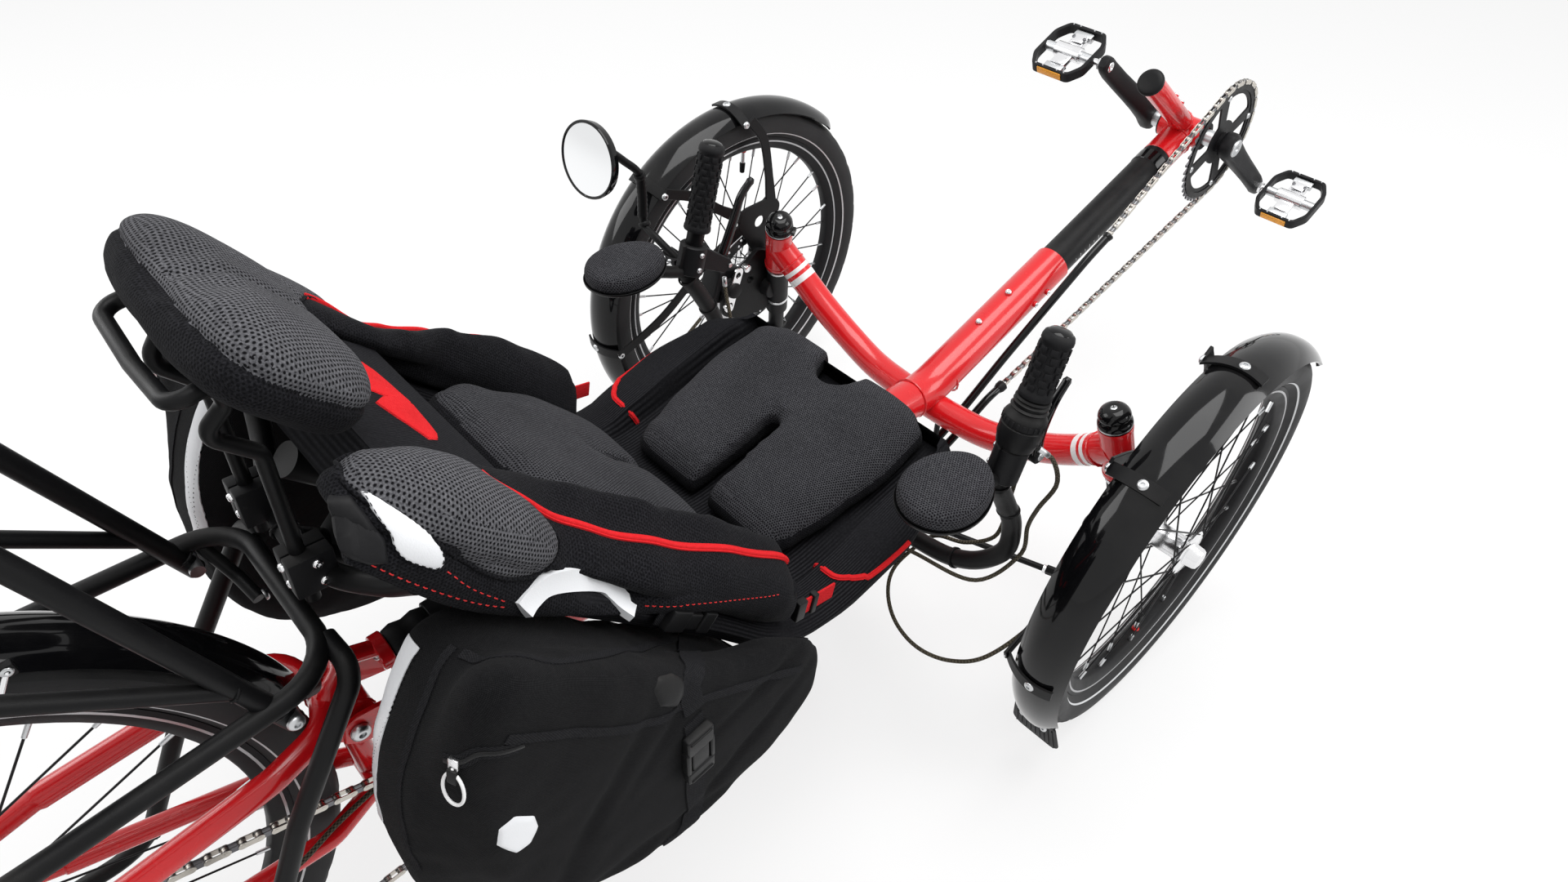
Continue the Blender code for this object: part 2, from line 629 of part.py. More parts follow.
def cranks():
    """Both arms with their pedal spindles; the axle belongs to the left arm."""
    for side, label in SIDES:
        arm_x, eye_x = (0.0745, 0.0900) if side > 0 else (0.0600, 0.0850)
        arm = crank_arm(side, arm_x, eye_x)
        eye = BOTTOM_BRACKET + CRANK_DIR * CRANK_LENGTH * side
        spindle = rod("spindle", eye + Vector((side * eye_x, 0, 0)), eye + Vector((side * (PEDAL_X + 0.030), 0, 0)), 0.0055, sides=12)
        pieces = [arm, spindle]
        if side < 0:
            pieces.append(rod("axle", BOTTOM_BRACKET + Vector((-0.055, 0, 0)), BOTTOM_BRACKET + Vector((0.0640, 0, 0)), 0.0120, sides=16))
        else:
            hub = rod("ring_seat", BOTTOM_BRACKET + Vector((CHAIN_X - 0.0035, 0, 0)), BOTTOM_BRACKET + Vector((0.0700, 0, 0)), 0.0150, sides=16)
            pieces.append(hub)
        crank = fuse("crank", pieces)
        if side > 0:
            crank = cut(crank, rod("socket", BOTTOM_BRACKET + Vector((0.04, 0, 0)), BOTTOM_BRACKET + Vector((0.0645, 0, 0)), 0.0120 + GAP, sides=16))
        finish(crank, "crank_" + label, BLACK, BOTTOM_BRACKET)


def pedals():
    """Open cage round a barrel that turns on the crank's spindle."""
    for side, label in SIDES:
        eye = BOTTOM_BRACKET + CRANK_DIR * CRANK_LENGTH * side + Vector((side * PEDAL_X, 0, 0))
        outline = [(-0.043, 0.026), (-0.030, 0.048), (0.030, 0.048), (0.043, 0.026),
                   (0.043, -0.026), (0.030, -0.048), (-0.030, -0.048), (-0.043, -0.026)]
        hole = [(-0.036, 0.023), (-0.026, 0.041), (0.026, 0.041), (0.036, 0.023),
                (0.036, -0.023), (0.026, -0.041), (-0.026, -0.041), (-0.036, -0.023)]
        cage = plate("cage", outline, 0.0150, [hole])
        barrel = rod("barrel", (-0.0395, 0, 0), (0.0395, 0, 0), 0.0070, sides=10)
        sleeve = rod("sleeve", (-0.020, 0, 0), (0.020, 0, 0), 0.0110, sides=10)
        cleat = box("cleat", (0.026, 0.088, 0.0100))
        pedal = fuse("pedal", [cage, barrel, sleeve, cleat])
        pedal = cut(pedal, rod("way", (-0.06, 0, 0), (0.0315, 0, 0), 0.0063, sides=10))
        pedal.data.transform(Matrix.Rotation(math.radians(22), 4, "X"))
        mirrored(pedal, side)
        pedal.data.transform(Matrix.Translation(eye))
        finish(pedal, "pedal_" + label, BLACK, eye)


boom()
chainring()
cranks()
pedals()


# Steering: handlebar, rods and the two kingpin assemblies
BAR_PATH = [(0.0, -0.165, 0.1800), (0.150, -0.163, 0.1850), (0.215, -0.160, 0.2060), (0.253, -0.151, 0.2480),
            (0.252, -0.146, 0.2900), (0.249, -0.172, 0.3480), GRIP_FOOT]


def grip_at(t, side=1):
    """A point of the grip's axis, measured down from its top."""
    return sided(side, GRIP_TOP - GRIP_DIR * t)


def handlebar():
    """One bent bar with its centre plate, clamps and armrest supports."""
    ends = [Vector(p) for p in BAR_PATH] + [grip_at(0.012)]
    line = [ends[0]] + smooth(ends[:-1], 10)[1:] + [ends[-1]]
    left = [Vector((-p.x, p.y, p.z)) for p in line[:0:-1]]
    pieces = [tube("bar", left + line, BAR_R, 8)]
    outline = [(-0.030, -0.150), (-0.030, -0.182), (0.030, -0.182), (0.030, -0.150), (0.020, -0.060), (-0.020, -0.060)]
    web = plate("centre_plate", outline, 0.0080, [circle(0.0065, 12, (0.0, STEER_PIVOT.y))])
    web.data.transform(Matrix.Translation((0.0, 0.0, 0.1780)))
    boss = lathe("boss", [(0.0065, STEER_BOSS_TOP), (0.0170, STEER_BOSS_TOP), (0.0170, 0.1700), (0.0065, 0.1700)],
                 12, closed=True)
    boss.data.transform(Matrix.Translation((0.0, STEER_PIVOT.y, 0.0)))
    pieces += [web, boss]
    for side, _ in SIDES:
        eye = sided(side, STEER_PIVOT + STEER_ARM)
        pieces.append(rod("rod_pin", (eye.x, eye.y, ROD_OUTER.z - 0.0070), (eye.x, eye.y, 0.178), PIN_R, sides=6))
        pieces.append(rod("rod_spacer", (eye.x, eye.y, ROD_OUTER.z + EYE_HALF + GAP), (eye.x, eye.y, 0.178), 0.0070, sides=8))
        pieces.append(rod("pin_head", (eye.x, eye.y, ROD_OUTER.z - 0.0090), (eye.x, eye.y, ROD_OUTER.z - EYE_HALF - GAP), 0.0055, sides=6))
        pieces.append(rod("clamp", grip_at(0.131, side), grip_at(0.170, side), 0.0180, sides=8))
        pivot = LEVER_PIVOTS[side]
        mount = [(grip_at(0.150).y + 0.006, grip_at(0.150).z), (pivot.y - 0.004, pivot.z), (pivot.y + 0.004, pivot.z + 0.003)]
        lug = plate("lever_mount", ribbon(mount, [0.030, 0.020, 0.012]), 0.0120, (), across(pivot.x - 0.0118))
        pin = rod("lever_pin", (pivot.x - 0.012, *pivot.yz), (pivot.x + 0.0080, *pivot.yz), 0.0030, sides=6)
        pieces += [mirrored(lug, side), mirrored(pin, side)]
        arm = [sided(side, p) for p in ((0.248, -0.186, 0.392), (0.248, -0.215, 0.405), (0.2475, -0.250, 0.419), (0.2475, -0.315, 0.424))]
        pieces.append(tube("armrest_support", arm, 0.0080, 6))
    bar = fuse("handlebar", pieces)
    finish(bar, "handlebar", BLACK, STEER_PIVOT)


def grips():
    """Rubber sleeves with a domed end, bored for the bar."""
    for side, label in SIDES:
        length = 0.072 if side > 0 else 0.112
        profile = [(0.0, 0.0), (0.0100, -0.0015), (0.0160, -0.0060), (0.0165, -0.0120),
                   (0.0158, -length + 0.010), (0.0172, -length + 0.004), (0.0172, -length),
                   (BAR_R + 0.0013, -length), (BAR_R + 0.0013, -0.0100), (0.0, -0.0100)]
        grip = lathe("grip", profile, 10)
        grip.data.transform(Matrix.Translation(grip_at(0.0, side)) @ aligned(GRIP_DIR))
        finish(grip, "grip_" + label, RUBBER, STEER_PIVOT)
    profile = [(0.0172, -0.0730), (0.0192, -0.0760), (0.0192, -0.0900), (0.0222, -0.0960), (0.0222, -0.1180),
               (0.0195, -0.1300), (BAR_R + 0.0013, -0.1300), (BAR_R + 0.0013, -0.0730)]
    shifter = lathe("shifter", profile, 10, closed=True)
    shifter.data.transform(Matrix.Translation(grip_at(0.0)) @ aligned(GRIP_DIR))
    finish(shifter, "twist_shifter", BLACK, grip_at(0.1))


def brake_levers():
    """Forged blades that swing on a pin ahead of each grip."""
    for side, label in SIDES:
        pivot = LEVER_PIVOTS[side]
        line = [(pivot.y + y, pivot.z + z) for y, z in LEVER_LINES[side]]
        blade = plate("blade", ribbon(line, [0.016, 0.013, 0.012, 0.011, 0.009]), 0.0095, (), across(pivot.x))
        boss = rod("boss", (pivot.x - 0.0050, *pivot.yz), (pivot.x + 0.0050, *pivot.yz), 0.0095, sides=10)
        lever = fuse("lever", [blade, boss])
        reach = Vector((0.022, 0.0, 0.0))
        lever = cut(lever, rod("way", pivot - reach, pivot + reach, 0.0037, sides=6))
        finish(mirrored(lever, side), "brake_lever_" + label, GLOSS_BLACK, sided(side, pivot))


def armrests():
    """Padded mesh rests on thin black shells."""
    for side, label in SIDES:
        outline = [(0.2475 + 0.0420 * math.cos(a) * (1.0 - 0.10 * math.sin(a)), -0.2835 + 0.0525 * math.sin(a))
                   for a in [math.tau * i / 16 for i in range(16)]]
        pad = plate("pad", outline, 0.0260)
        pad = bevelled(pad, 0.0105, 2)
        pad.data.transform(Matrix.Translation((0.0, 0.0, 0.4460)))
        pad = mirrored(pad, side)
        finish(pad, "armrest_" + label, GREY_MESH, STEER_PIVOT)


def bevelled(obj, width, segments, angle=50.0):
    """Round off the edges sharper than an angle."""
    mod = obj.modifiers.new("round", "BEVEL")
    mod.width = width
    mod.segments = segments
    mod.limit_method = "ANGLE"
    mod.angle_limit = math.radians(angle)
    mod.harden_normals = False
    return solid(obj)


def track_rods():
    """Rods with an eye at each end; the outer eye is opened for the wheel's rise."""
    for side, label in SIDES:
        inner = sided(side, STEER_PIVOT + STEER_ARM)
        inner.z = ROD_OUTER.z
        outer = sided(side, ROD_OUTER)
        ahead = (outer - inner).normalized()
        pieces = [rod("shaft", inner + ahead * 0.007, outer - ahead * 0.012, ROD_R, sides=8),
                  rod("inner_eye", inner - Vector((0, 0, EYE_HALF)), inner + Vector((0, 0, EYE_HALF)), EYE_R, sides=10),
                  rod("outer_eye", outer - Vector((0, 0, EYE_HALF)), outer + Vector((0, 0, EYE_HALF)), 0.0110, sides=10),
                  rod("collar", outer - ahead * 0.046, outer - ahead * 0.0082, 0.0062, sides=8)]
        body = fuse("rod", pieces)
        reach = Vector((0, 0, 0.03))
        body = cut(body, rod("inner_way", inner - reach, inner + reach, PIN_R + 0.0009, sides=8))
        body = cut(body, rod("outer_way", outer - reach, outer + reach, 0.0052, sides=8))
        finish(body, "track_rod_" + label, BLACK, inner)


def knuckles():
    """Kingpin, stub axle, steering arm, caliper and its mount, in one upright."""
    for side, label in SIDES:
        foot_z = 0.1500
        pieces = [rod("kingpin", kingpin_at(0.374), kingpin_at(0.290), KINGPIN_R, sides=8),
                  rod("post", kingpin_at(HEAD_LOW_Z - 0.0010), kingpin_at(0.195), 0.0165, sides=8),
                  rod("foot", kingpin_at(0.200), kingpin_at(foot_z), 0.0120, sides=6),
                  rod("stub_root", (0.296, 0.004, FRONT_R), (0.3340, 0.0, FRONT_R), 0.0150, sides=8),
                  rod("stub", (0.300, 0.0, FRONT_R), (0.4065, 0.0, FRONT_R), 0.0086, sides=8)]
        arm = plate("arm", ribbon([(0.3262, 0.052), (0.3245, 0.030), (0.3200, -0.010), (0.3150, -0.049), (0.3145, -0.058)],
                                  [0.018, 0.026, 0.018, 0.016, 0.010]), 0.0075)
        arm.data.transform(Matrix.Translation((0, 0, ROD_OUTER.z - EYE_HALF - ARM_DROP - 0.00375)))
        pieces.append(arm)
        pin = ROD_OUTER
        pieces.append(rod("rod_pin", pin - Vector((0, 0, 0.007)), pin + Vector((0, 0, 0.008)), PIN_R, sides=8))
        mount = plate("mount", [(0.022, 0.300), (-0.012, 0.322), (-0.048, 0.300), (-0.084, 0.270), (-0.086, 0.236),
                                (-0.050, 0.214), (0.000, 0.208), (0.030, 0.222)], 0.0080,
                      [circle(0.0060, 10, (-0.030, 0.277))], across(0.3130))
        pieces.append(mount)
        radial = math.atan2(0.025, -0.065)
        turn = Matrix.Rotation(radial, 4, "X")
        body = box("caliper", (0.0400, 0.040, 0.056), (0.0, 0.0, 0.0), turn, 0.0050)
        body.data.transform(Matrix.Translation((0.3330, -0.0655, 0.2750)))
        pieces.append(body)
        bellows = rod("piston_cover", (0.300, -0.0655, 0.275), (0.318, -0.0655, 0.275), 0.0130, 0.0150, 8)
        pieces.append(bellows)
        for y, z in ((-0.040, 0.302), (-0.078, 0.252)):
            pieces.append(rod("mount_bolt", (0.3020, y, z), (0.312, y, z), 0.0062, sides=6))
        lug = rod("fender_lug", kingpin_at(0.279), (0.3290, 0.018, 0.3020), 0.0085, sides=8)
        pieces.append(lug)
        upright = fuse("upright", pieces)
        slot = rod("rotor_slot", (0.3395, 0.0, FRONT_R), (0.3445, 0.0, FRONT_R), 0.0840, sides=16)
        keep = rod("keep", (0.338, 0.0, FRONT_R), (0.346, 0.0, FRONT_R), 0.0250, sides=8)
        slot = cut(slot, keep)
        upright = cut(upright, slot)
        finish(mirrored(upright, side), "upright_" + label, BLACK, kingpin_at(FRONT_R, side))
        cap = lathe("cap", [(0.0, 0.0280), (0.0100, 0.0270), (0.0165, 0.0225), (0.0185, 0.0160), (0.0160, 0.0120),
                            (0.0195, 0.0085), (0.0195, 0.0), (KINGPIN_R + 0.0008, 0.0), (KINGPIN_R + 0.0008, 0.0100),
                            (0.0, 0.0100)], 10)
        cap.data.transform(Matrix.Translation(kingpin_at(HEAD_TOP_Z + GAP, side)) @ aligned(sided(side, -KINGPIN_DOWN)))
        finish(cap, "kingpin_cap_" + label, GLOSS_BLACK, kingpin_at(FRONT_R, side))


def shell_arc(name, radius, half, drop, thickness, start, end, steps):
    """Mudguard: a bowed strip swept round the wheel between two angles."""
    outside = [(-half, radius - drop), (-half * 0.66, radius - drop * 0.22), (0.0, radius),
               (half * 0.66, radius - drop * 0.22), (half, radius - drop)]
    inside = [(x * (1 - thickness / half), r - thickness) for x, r in outside[::-1]]
    work = bmesh.new()
    verts = [work.verts.new((x, r * math.cos(start), r * math.sin(start))) for x, r in outside + inside]
    edges = [work.edges.new(pair) for pair in zip(verts, verts[1:] + verts[:1])]
    bmesh.ops.spin(work, geom=verts + edges, cent=(0, 0, 0), axis=(1, 0, 0), angle=end - start, steps=steps)
    bmesh.ops.holes_fill(work, edges=work.edges, sides=0)
    bmesh.ops.recalc_face_normals(work, faces=work.faces)
    return from_bmesh(name, work)


def front_fenders():
    """Front mudguards with their flaps, and the three-armed brackets that carry them."""
    for side, label in SIDES:
        centre = sided(side, FRONT_CENTRES[1])
        arc = shell_arc("arc", FENDER_R, FENDER_HALF, 0.0140, 0.0020, math.radians(46), math.radians(212), 12)
        arc.data.transform(Matrix.Translation(centre))
        a = math.radians(211)
        base = centre + Vector((0, math.cos(a), math.sin(a))) * (FENDER_R - 0.0040) + Vector((0, 0.0052, 0))
        flap = box("flap", (0.064, 0.0026, 0.074), (0.0, 0.0, -0.026), Matrix.Rotation(math.radians(18), 4, "X"))
        flap.data.transform(Matrix.Translation(base))
        fender = fuse("fender", [arc, flap])
        finish(fender, "front_" + label + "_fender", GLOSS_BLACK, kingpin_at(FRONT_R, side))
        root = plate("root", [(0.004, 0.288), (0.030, 0.288), (0.054, 0.360), (0.040, 0.376), (-0.020, 0.376), (-0.030, 0.352)],
                     0.0040, (), across(0.3360))
        pieces = [root]
        arms = (([(0.036, 0.362), (0.031, 0.420), (0.022, 0.470), (-0.001, 0.5055)], 0.0038),
                ([(-0.016, 0.360), (-0.060, 0.392), (-0.105, 0.430), (-0.1515, 0.4525)], 0.0036),
                ([(-0.012, 0.350), (-0.095, 0.315), (-0.175, 0.265), (-0.2545, 0.2370)], 0.0034))
        for line, thick in arms:
            line = [(p.x, p.y) for p in smooth([(y, z, 0.0) for y, z in line], 5)]
            pieces.append(plate("arm", ribbon(line, [0.020, 0.016, 0.014, 0.014, 0.014]), thick, (), across(0.3360)))
        for angle in (92.0, 127.5, 183.0):
            a = math.radians(angle)
            strap = shell_arc("strap", FENDER_R + 0.0032, FENDER_HALF + 0.0100, 0.0150, 0.0026,
                              a - 0.028, a + 0.028, 1)
            strap.data.transform(Matrix.Translation((TRACK / 2, 0.0, FRONT_R)))
            pieces.append(strap)
        bracket = fuse("bracket", pieces)
        cropper = box("cropper", (0.04, 0.9, 0.9), (TRACK / 2 + FENDER_HALF * 0.55 + 0.02, 0.0, FRONT_R))
        bracket = cut(bracket, cropper)
        finish(mirrored(bracket, side), "front_" + label + "_fender_bracket", BLACK, kingpin_at(FRONT_R, side))



def mirror():
    """Stalk from the left bar and a round mirror on a ball joint."""
    root = grip_at(0.164, -1)
    stalk = smooth([root + Vector((-0.0215, 0, 0)), (-0.300, -0.196, 0.420), (-0.327, -0.196, 0.432),
                    (-0.331, -0.192, 0.470), (-0.331, -0.194, 0.500), (-0.331, -0.214, 0.524), MIRROR_BALL + Vector((0, 0.009, 0))], 12)
    pieces = [tube("stalk", stalk, 0.0050, 6)]
    ball = bmesh.new()
    bmesh.ops.create_icosphere(ball, subdivisions=1, radius=0.0085)
    ball = from_bmesh("ball", ball)
    ball.data.transform(Matrix.Translation(MIRROR_BALL))
    pieces.append(ball)
    foot = box("foot", (0.030, 0.020, 0.010), root + Vector((-0.0335, 0, 0)), bevel=0.002)
    pieces.append(foot)
    finish(fuse("mirror_arm", pieces), "mirror_arm", BLACK, STEER_PIVOT)
    head = lathe("head", [(0.0, 0.0090), (0.0420, 0.0090), (0.0455, 0.0070), (0.0430, -0.0020), (0.0140, -0.0150), (0.0130, -0.0260), (0.0100, -0.0260), (0.0100, -0.0130), (0.0, -0.0130)], 16)
    facing = Vector((0.10, -0.97, 0.22)).normalized()
    head.data.transform(Matrix.Translation(MIRROR_BALL + facing * 0.0230) @ aligned(facing))
    finish(head, "mirror_head", GLOSS_BLACK, MIRROR_BALL)


handlebar()
grips()
brake_levers()
armrests()
track_rods()
knuckles()
front_fenders()
mirror()


# Seat, drawn along its side line: s runs back and up it, t stands off it
seat_run = smooth([(0.0, y, z) for y, z in SEAT_LINE], 61)
seat_length = [0.0]
for a, b in zip(seat_run, seat_run[1:]):
    seat_length.append(seat_length[-1] + (b - a).length)


def on_seat(x, s, t):
    """World point for a place across, along and off the seat's side line."""
    k = 0
    while k < len(seat_run) - 2 and seat_length[k + 1] < s:
        k += 1
    a, b = seat_run[k], seat_run[k + 1]
    span = seat_length[k + 1] - seat_length[k]
    here = a + (b - a) * ((s - seat_length[k]) / span)
    before, after = seat_run[max(k - 3, 0)], seat_run[min(k + 4, len(seat_run) - 1)]
    along = (after - before).normalized()
    return Vector((x, here.y + along.z * t, here.z - along.y * t))


def loft(name, sections):
    """Skin a closed run of sections, each with the same number of points."""
    work = bmesh.new()
    rings = [[work.verts.new(p) for p in section] for section in sections]
    count = len(rings[0])
    for a, b in zip(rings, rings[1:]):
        for i in range(count):
            work.faces.new((a[i], a[(i + 1) % count], b[(i + 1) % count], b[i]))
    work.faces.new(rings[0][::-1])
    work.faces.new(rings[-1])
    bmesh.ops.recalc_face_normals(work, faces=work.faces)
    return from_bmesh(name, work)


def pad(name, stations, low):
    """A crowned cushion: (s, half width, height) stations over a flat back."""
    sections = []
    for s, half, high in stations:
        crown = [(-1.0, 0.30), (-0.92, 0.72), (-0.70, 0.94), (-0.25, 1.0), (0.25, 1.0), (0.70, 0.94),
                 (0.92, 0.72), (1.0, 0.30), (0.94, 0.0), (-0.94, 0.0)]
        sections.append([on_seat(u * half, s, low + (high - low) * v) for u, v in crown])
    return loft(name, sections)


def slotted(obj, name, points, width, depth):
    """Cut a round-ended slot through a pad, along the seat line."""
    sections = []
    for s, w in points:
        sections.append([on_seat(x * w * width / 2, s, t) for x, t in ((-1, -depth), (1, -depth), (1, depth), (-1, depth))])
    return cut(obj, loft(name, sections))


def seat():
    """Mesh-covered shell, cushion, back pad and the two side bolsters."""
    shell_sections = []
    for s, half, wing, ledge, trough in ((0.020, 0.165, -0.020, 0.150, -0.0460), (0.070, 0.198, -0.016, 0.152, -0.0460),
                                         (0.150, 0.212, -0.018, 0.152, -0.0460), (0.215, 0.212, -0.022, 0.152, -0.0460),
                                         (0.250, 0.209, -0.030, 0.150, -0.0460),
                                         (0.285, 0.205, -0.038, 0.142, -0.0460), (0.360, 0.200, -0.038, 0.130, -0.0460),
                                         (0.562, 0.196, -0.038, 0.130, -0.0460), (0.590, 0.190, -0.036, 0.110, -0.0100),
                                         (0.640, 0.170, -0.036, 0.100, -0.0100), (0.698, 0.128, -0.036, 0.080, -0.0220)):
        ring = [(half, wing - 0.012), (half - 0.012, wing), (ledge + 0.008, wing - 0.001), (ledge + 0.003, trough)]
        ring += [(-x, t) for x, t in ring[::-1]]
        ring += [(-half + 0.010, -0.0610), (half - 0.010, -0.0610)]
        shell_sections.append([on_seat(x, s, t) for x, t in ring])
    spine = tube("spine_way", bend([boom_at(MAIN_FRONT_Y), *MAIN_REAR], 0.12, 2), MAIN_R + GAP, 10)
    centre = on_seat(0.0, 0.190, -0.0690)
    along = on_seat(0.0, 0.200, -0.0690) - centre
    saddle = box("saddle", (0.080, 0.032, 0.060), centre, aligned(along))
    shell = cut(fuse("shell", [loft("shell", shell_sections), saddle]), spine)
    finish(shell, "seat_shell", BLACK_MESH, smooth_angle=60)

    cushion = pad("cushion", [(0.002, 0.085, -0.018), (0.008, 0.120, -0.006), (0.030, 0.145, 0.0), (0.100, 0.148, 0.001),
                              (0.170, 0.140, 0.0), (0.225, 0.130, -0.002), (0.240, 0.122, -0.010), (0.247, 0.112, -0.022)], -0.0405)
    cushion = slotted(cushion, "slot", [(0.128, 0.3), (0.134, 0.9), (0.150, 1.0), (0.230, 1.3), (0.280, 1.6)], 0.022, 0.060)
    cushion = slotted(cushion, "notch", [(-0.02, 1.5), (0.012, 1.15), (0.034, 0.95), (0.046, 0.45)], 0.060, 0.060)
    finish(cushion, "seat_cushion", GREY_MESH, smooth_angle=60)

    back = pad("back", [(0.300, 0.095, -0.022), (0.312, 0.112, 0.004), (0.345, 0.122, 0.014), (0.420, 0.126, 0.010),
                        (0.500, 0.118, 0.0), (0.545, 0.092, -0.008), (0.558, 0.070, -0.024)], -0.0405)
    back = slotted(back, "slot", [(0.26, 1.3), (0.330, 1.0), (0.395, 0.8), (0.412, 0.3)], 0.018, 0.060)
    finish(back, "back_pad", GREY_MESH, smooth_angle=60)

    # Wings: inner foot, overhang, crest, piped edge and outer face, from hip to shoulder
    for side, label in SIDES:
        sections = []
        for s, inner, over, crest, high, pipe, pipe_t, outer, low in (
                (0.287, 0.152, 0.152, 0.165, -0.010, 0.180, -0.016, 0.196, -0.022),
                (0.300, 0.145, 0.145, 0.160, 0.026, 0.186, 0.020, 0.214, -0.002),
                (0.335, 0.134, 0.134, 0.161, 0.043, 0.185, 0.033, 0.221, 0.007),
                (0.420, 0.132, 0.131, 0.152, 0.042, 0.182, 0.024, 0.222, 0.000),
                (0.500, 0.132, 0.124, 0.137, 0.033, 0.170, 0.008, 0.215, -0.013),
                (0.562, 0.138, 0.101, 0.109, 0.016, 0.150, -0.002, 0.200, -0.021),
                (0.590, 0.123, 0.095, 0.098, 0.006, 0.142, -0.006, 0.194, -0.028),
                (0.640, 0.109, 0.092, 0.096, 0.000, 0.150, -0.002, 0.196, -0.026),
                (0.698, 0.096, 0.092, 0.098, -0.006, 0.156, -0.002, 0.196, -0.024),
                (0.740, 0.110, 0.108, 0.114, -0.010, 0.150, -0.006, 0.184, -0.022),
                (0.768, 0.125, 0.124, 0.130, -0.018, 0.145, -0.014, 0.162, -0.024)):
            under = min(-0.0085, high - 0.004)
            ring = [(inner, -0.0335), (inner, under), (over, under + 0.0005), (crest, high),
                    ((crest + pipe) / 2, (high + pipe_t) / 2 + 0.004), (pipe, pipe_t), (outer, low), (outer - 0.004, -0.0335)]
            sections.append([on_seat(side * x, s, t) for x, t in ring])
        finish(loft("bolster", sections), "bolster_" + label, BLACK_MESH, smooth_angle=60)

    neck()


def neck():
    """Padded neck rest on a bent wire stand that slides in two clamps."""
    leg_top = LEG_LOW + LEG_DIR * 0.128
    bends = [LEG_LOW - LEG_DIR * 0.012, leg_top, (0.0470, -0.7860, 0.6990), (0.0520, -0.7660, 0.7180), (0.0600, -0.7690, 0.7400),
             (0.0620, -0.7940, 0.7370), (0.0, -0.7960, 0.7320)]
    line = bend(bends, 0.012, 2)
    line = line + [Vector((-p.x, p.y, p.z)) for p in line[-2::-1]]
    sections = []
    for share in (-0.985, -0.88, -0.55, -0.10, 0.35, 0.72, 0.93, 0.985):
        draw = (1.0 - abs(share) ** 2.7) ** (1.0 / 2.7)
        half = (0.0950 + 0.0110 * (share + 1.0)) * draw
        ring = []
        for i in range(12):
            a = math.tau * (i + 0.5) / 12
            across_pad = math.copysign(abs(math.cos(a)) ** 0.75, math.cos(a))
            off = math.copysign(abs(math.sin(a)) ** 0.75, math.sin(a)) * 0.0340 * draw
            if off > 0:
                off *= 0.78 + 0.22 * min(1.0, (across_pad / 0.6) ** 2)
            ring.append(on_seat(half * across_pad, NECK_S + 0.0640 * share - 0.087 * off, NECK_T + 0.0056 * share + off))
        sections.append(ring)
    pillow = cut(loft("neck_pad", sections), tube("way", line, LEG_R + GAP, 6))
    finish(pillow, "neck_pad", GREY_MESH, smooth_angle=60)
    finish(tube("stem", line, LEG_R, 6), "neck_tube", BLACK)


def seat_frame():
    """Tubes behind the seat: a mast, a spine rail, a cross bar and clamp blocks."""
    pieces = [tube("mast", bend([(0.0, -0.500, 0.302), (0.0, -0.585, 0.360), (0.0, -0.765, 0.540)], 0.05, 2), 0.0150, 10)]
    rail = [on_seat(0.0, s, -0.0780) for s in (0.330, 0.560, 0.690)]
    pieces.append(tube("rail", rail, 0.0140, 8))
    for s, deep in ((0.430, 0.088), (0.610, 0.090)):
        centre = on_seat(0.0, s, -0.0700 - deep / 2)
        along = on_seat(0.0, s + 0.01, -0.0700 - deep / 2) - centre
        pieces.append(box("bridge", (0.022, deep, 0.030), centre, aligned(along)))
    bar = smooth([(-0.138, -0.724, 0.590), (-0.100, -0.738, 0.564), (-0.050, -0.757, 0.546), (0.0, -0.763, 0.542),
                  (0.050, -0.757, 0.546), (0.100, -0.738, 0.564), (0.138, -0.724, 0.590)], 11)
    pieces.append(tube("cross_bar", bar, 0.0090, 8))
    for side, _ in SIDES:
        leg = sided(side, LEG_LOW + LEG_DIR * 0.020)
        pieces.append(box("clamp", (0.026, 0.032, 0.034), leg + Vector((0.0, 0.004, 0.0)), aligned(LEG_DIR)))
    pieces.append(box("saddle_foot", (0.046, 0.060, 0.034), (0.0, -0.510, 0.3000), Matrix.Rotation(math.radians(-5), 4, "X")))
    frame = fuse("seat_frame", pieces)
    for side, _ in SIDES:
        low, high = sided(side, LEG_LOW - LEG_DIR * 0.02), sided(side, LEG_LOW + LEG_DIR * 0.06)
        frame = cut(frame, rod("leg_bore", low, high, LEG_R + 0.0006, sides=10))
    spine = tube("spine_way", bend([boom_at(MAIN_FRONT_Y), *MAIN_REAR], 0.12, 2), MAIN_R + GAP, 10)
    frame = cut(frame, spine)
    finish(frame, "seat_frame", BLACK)


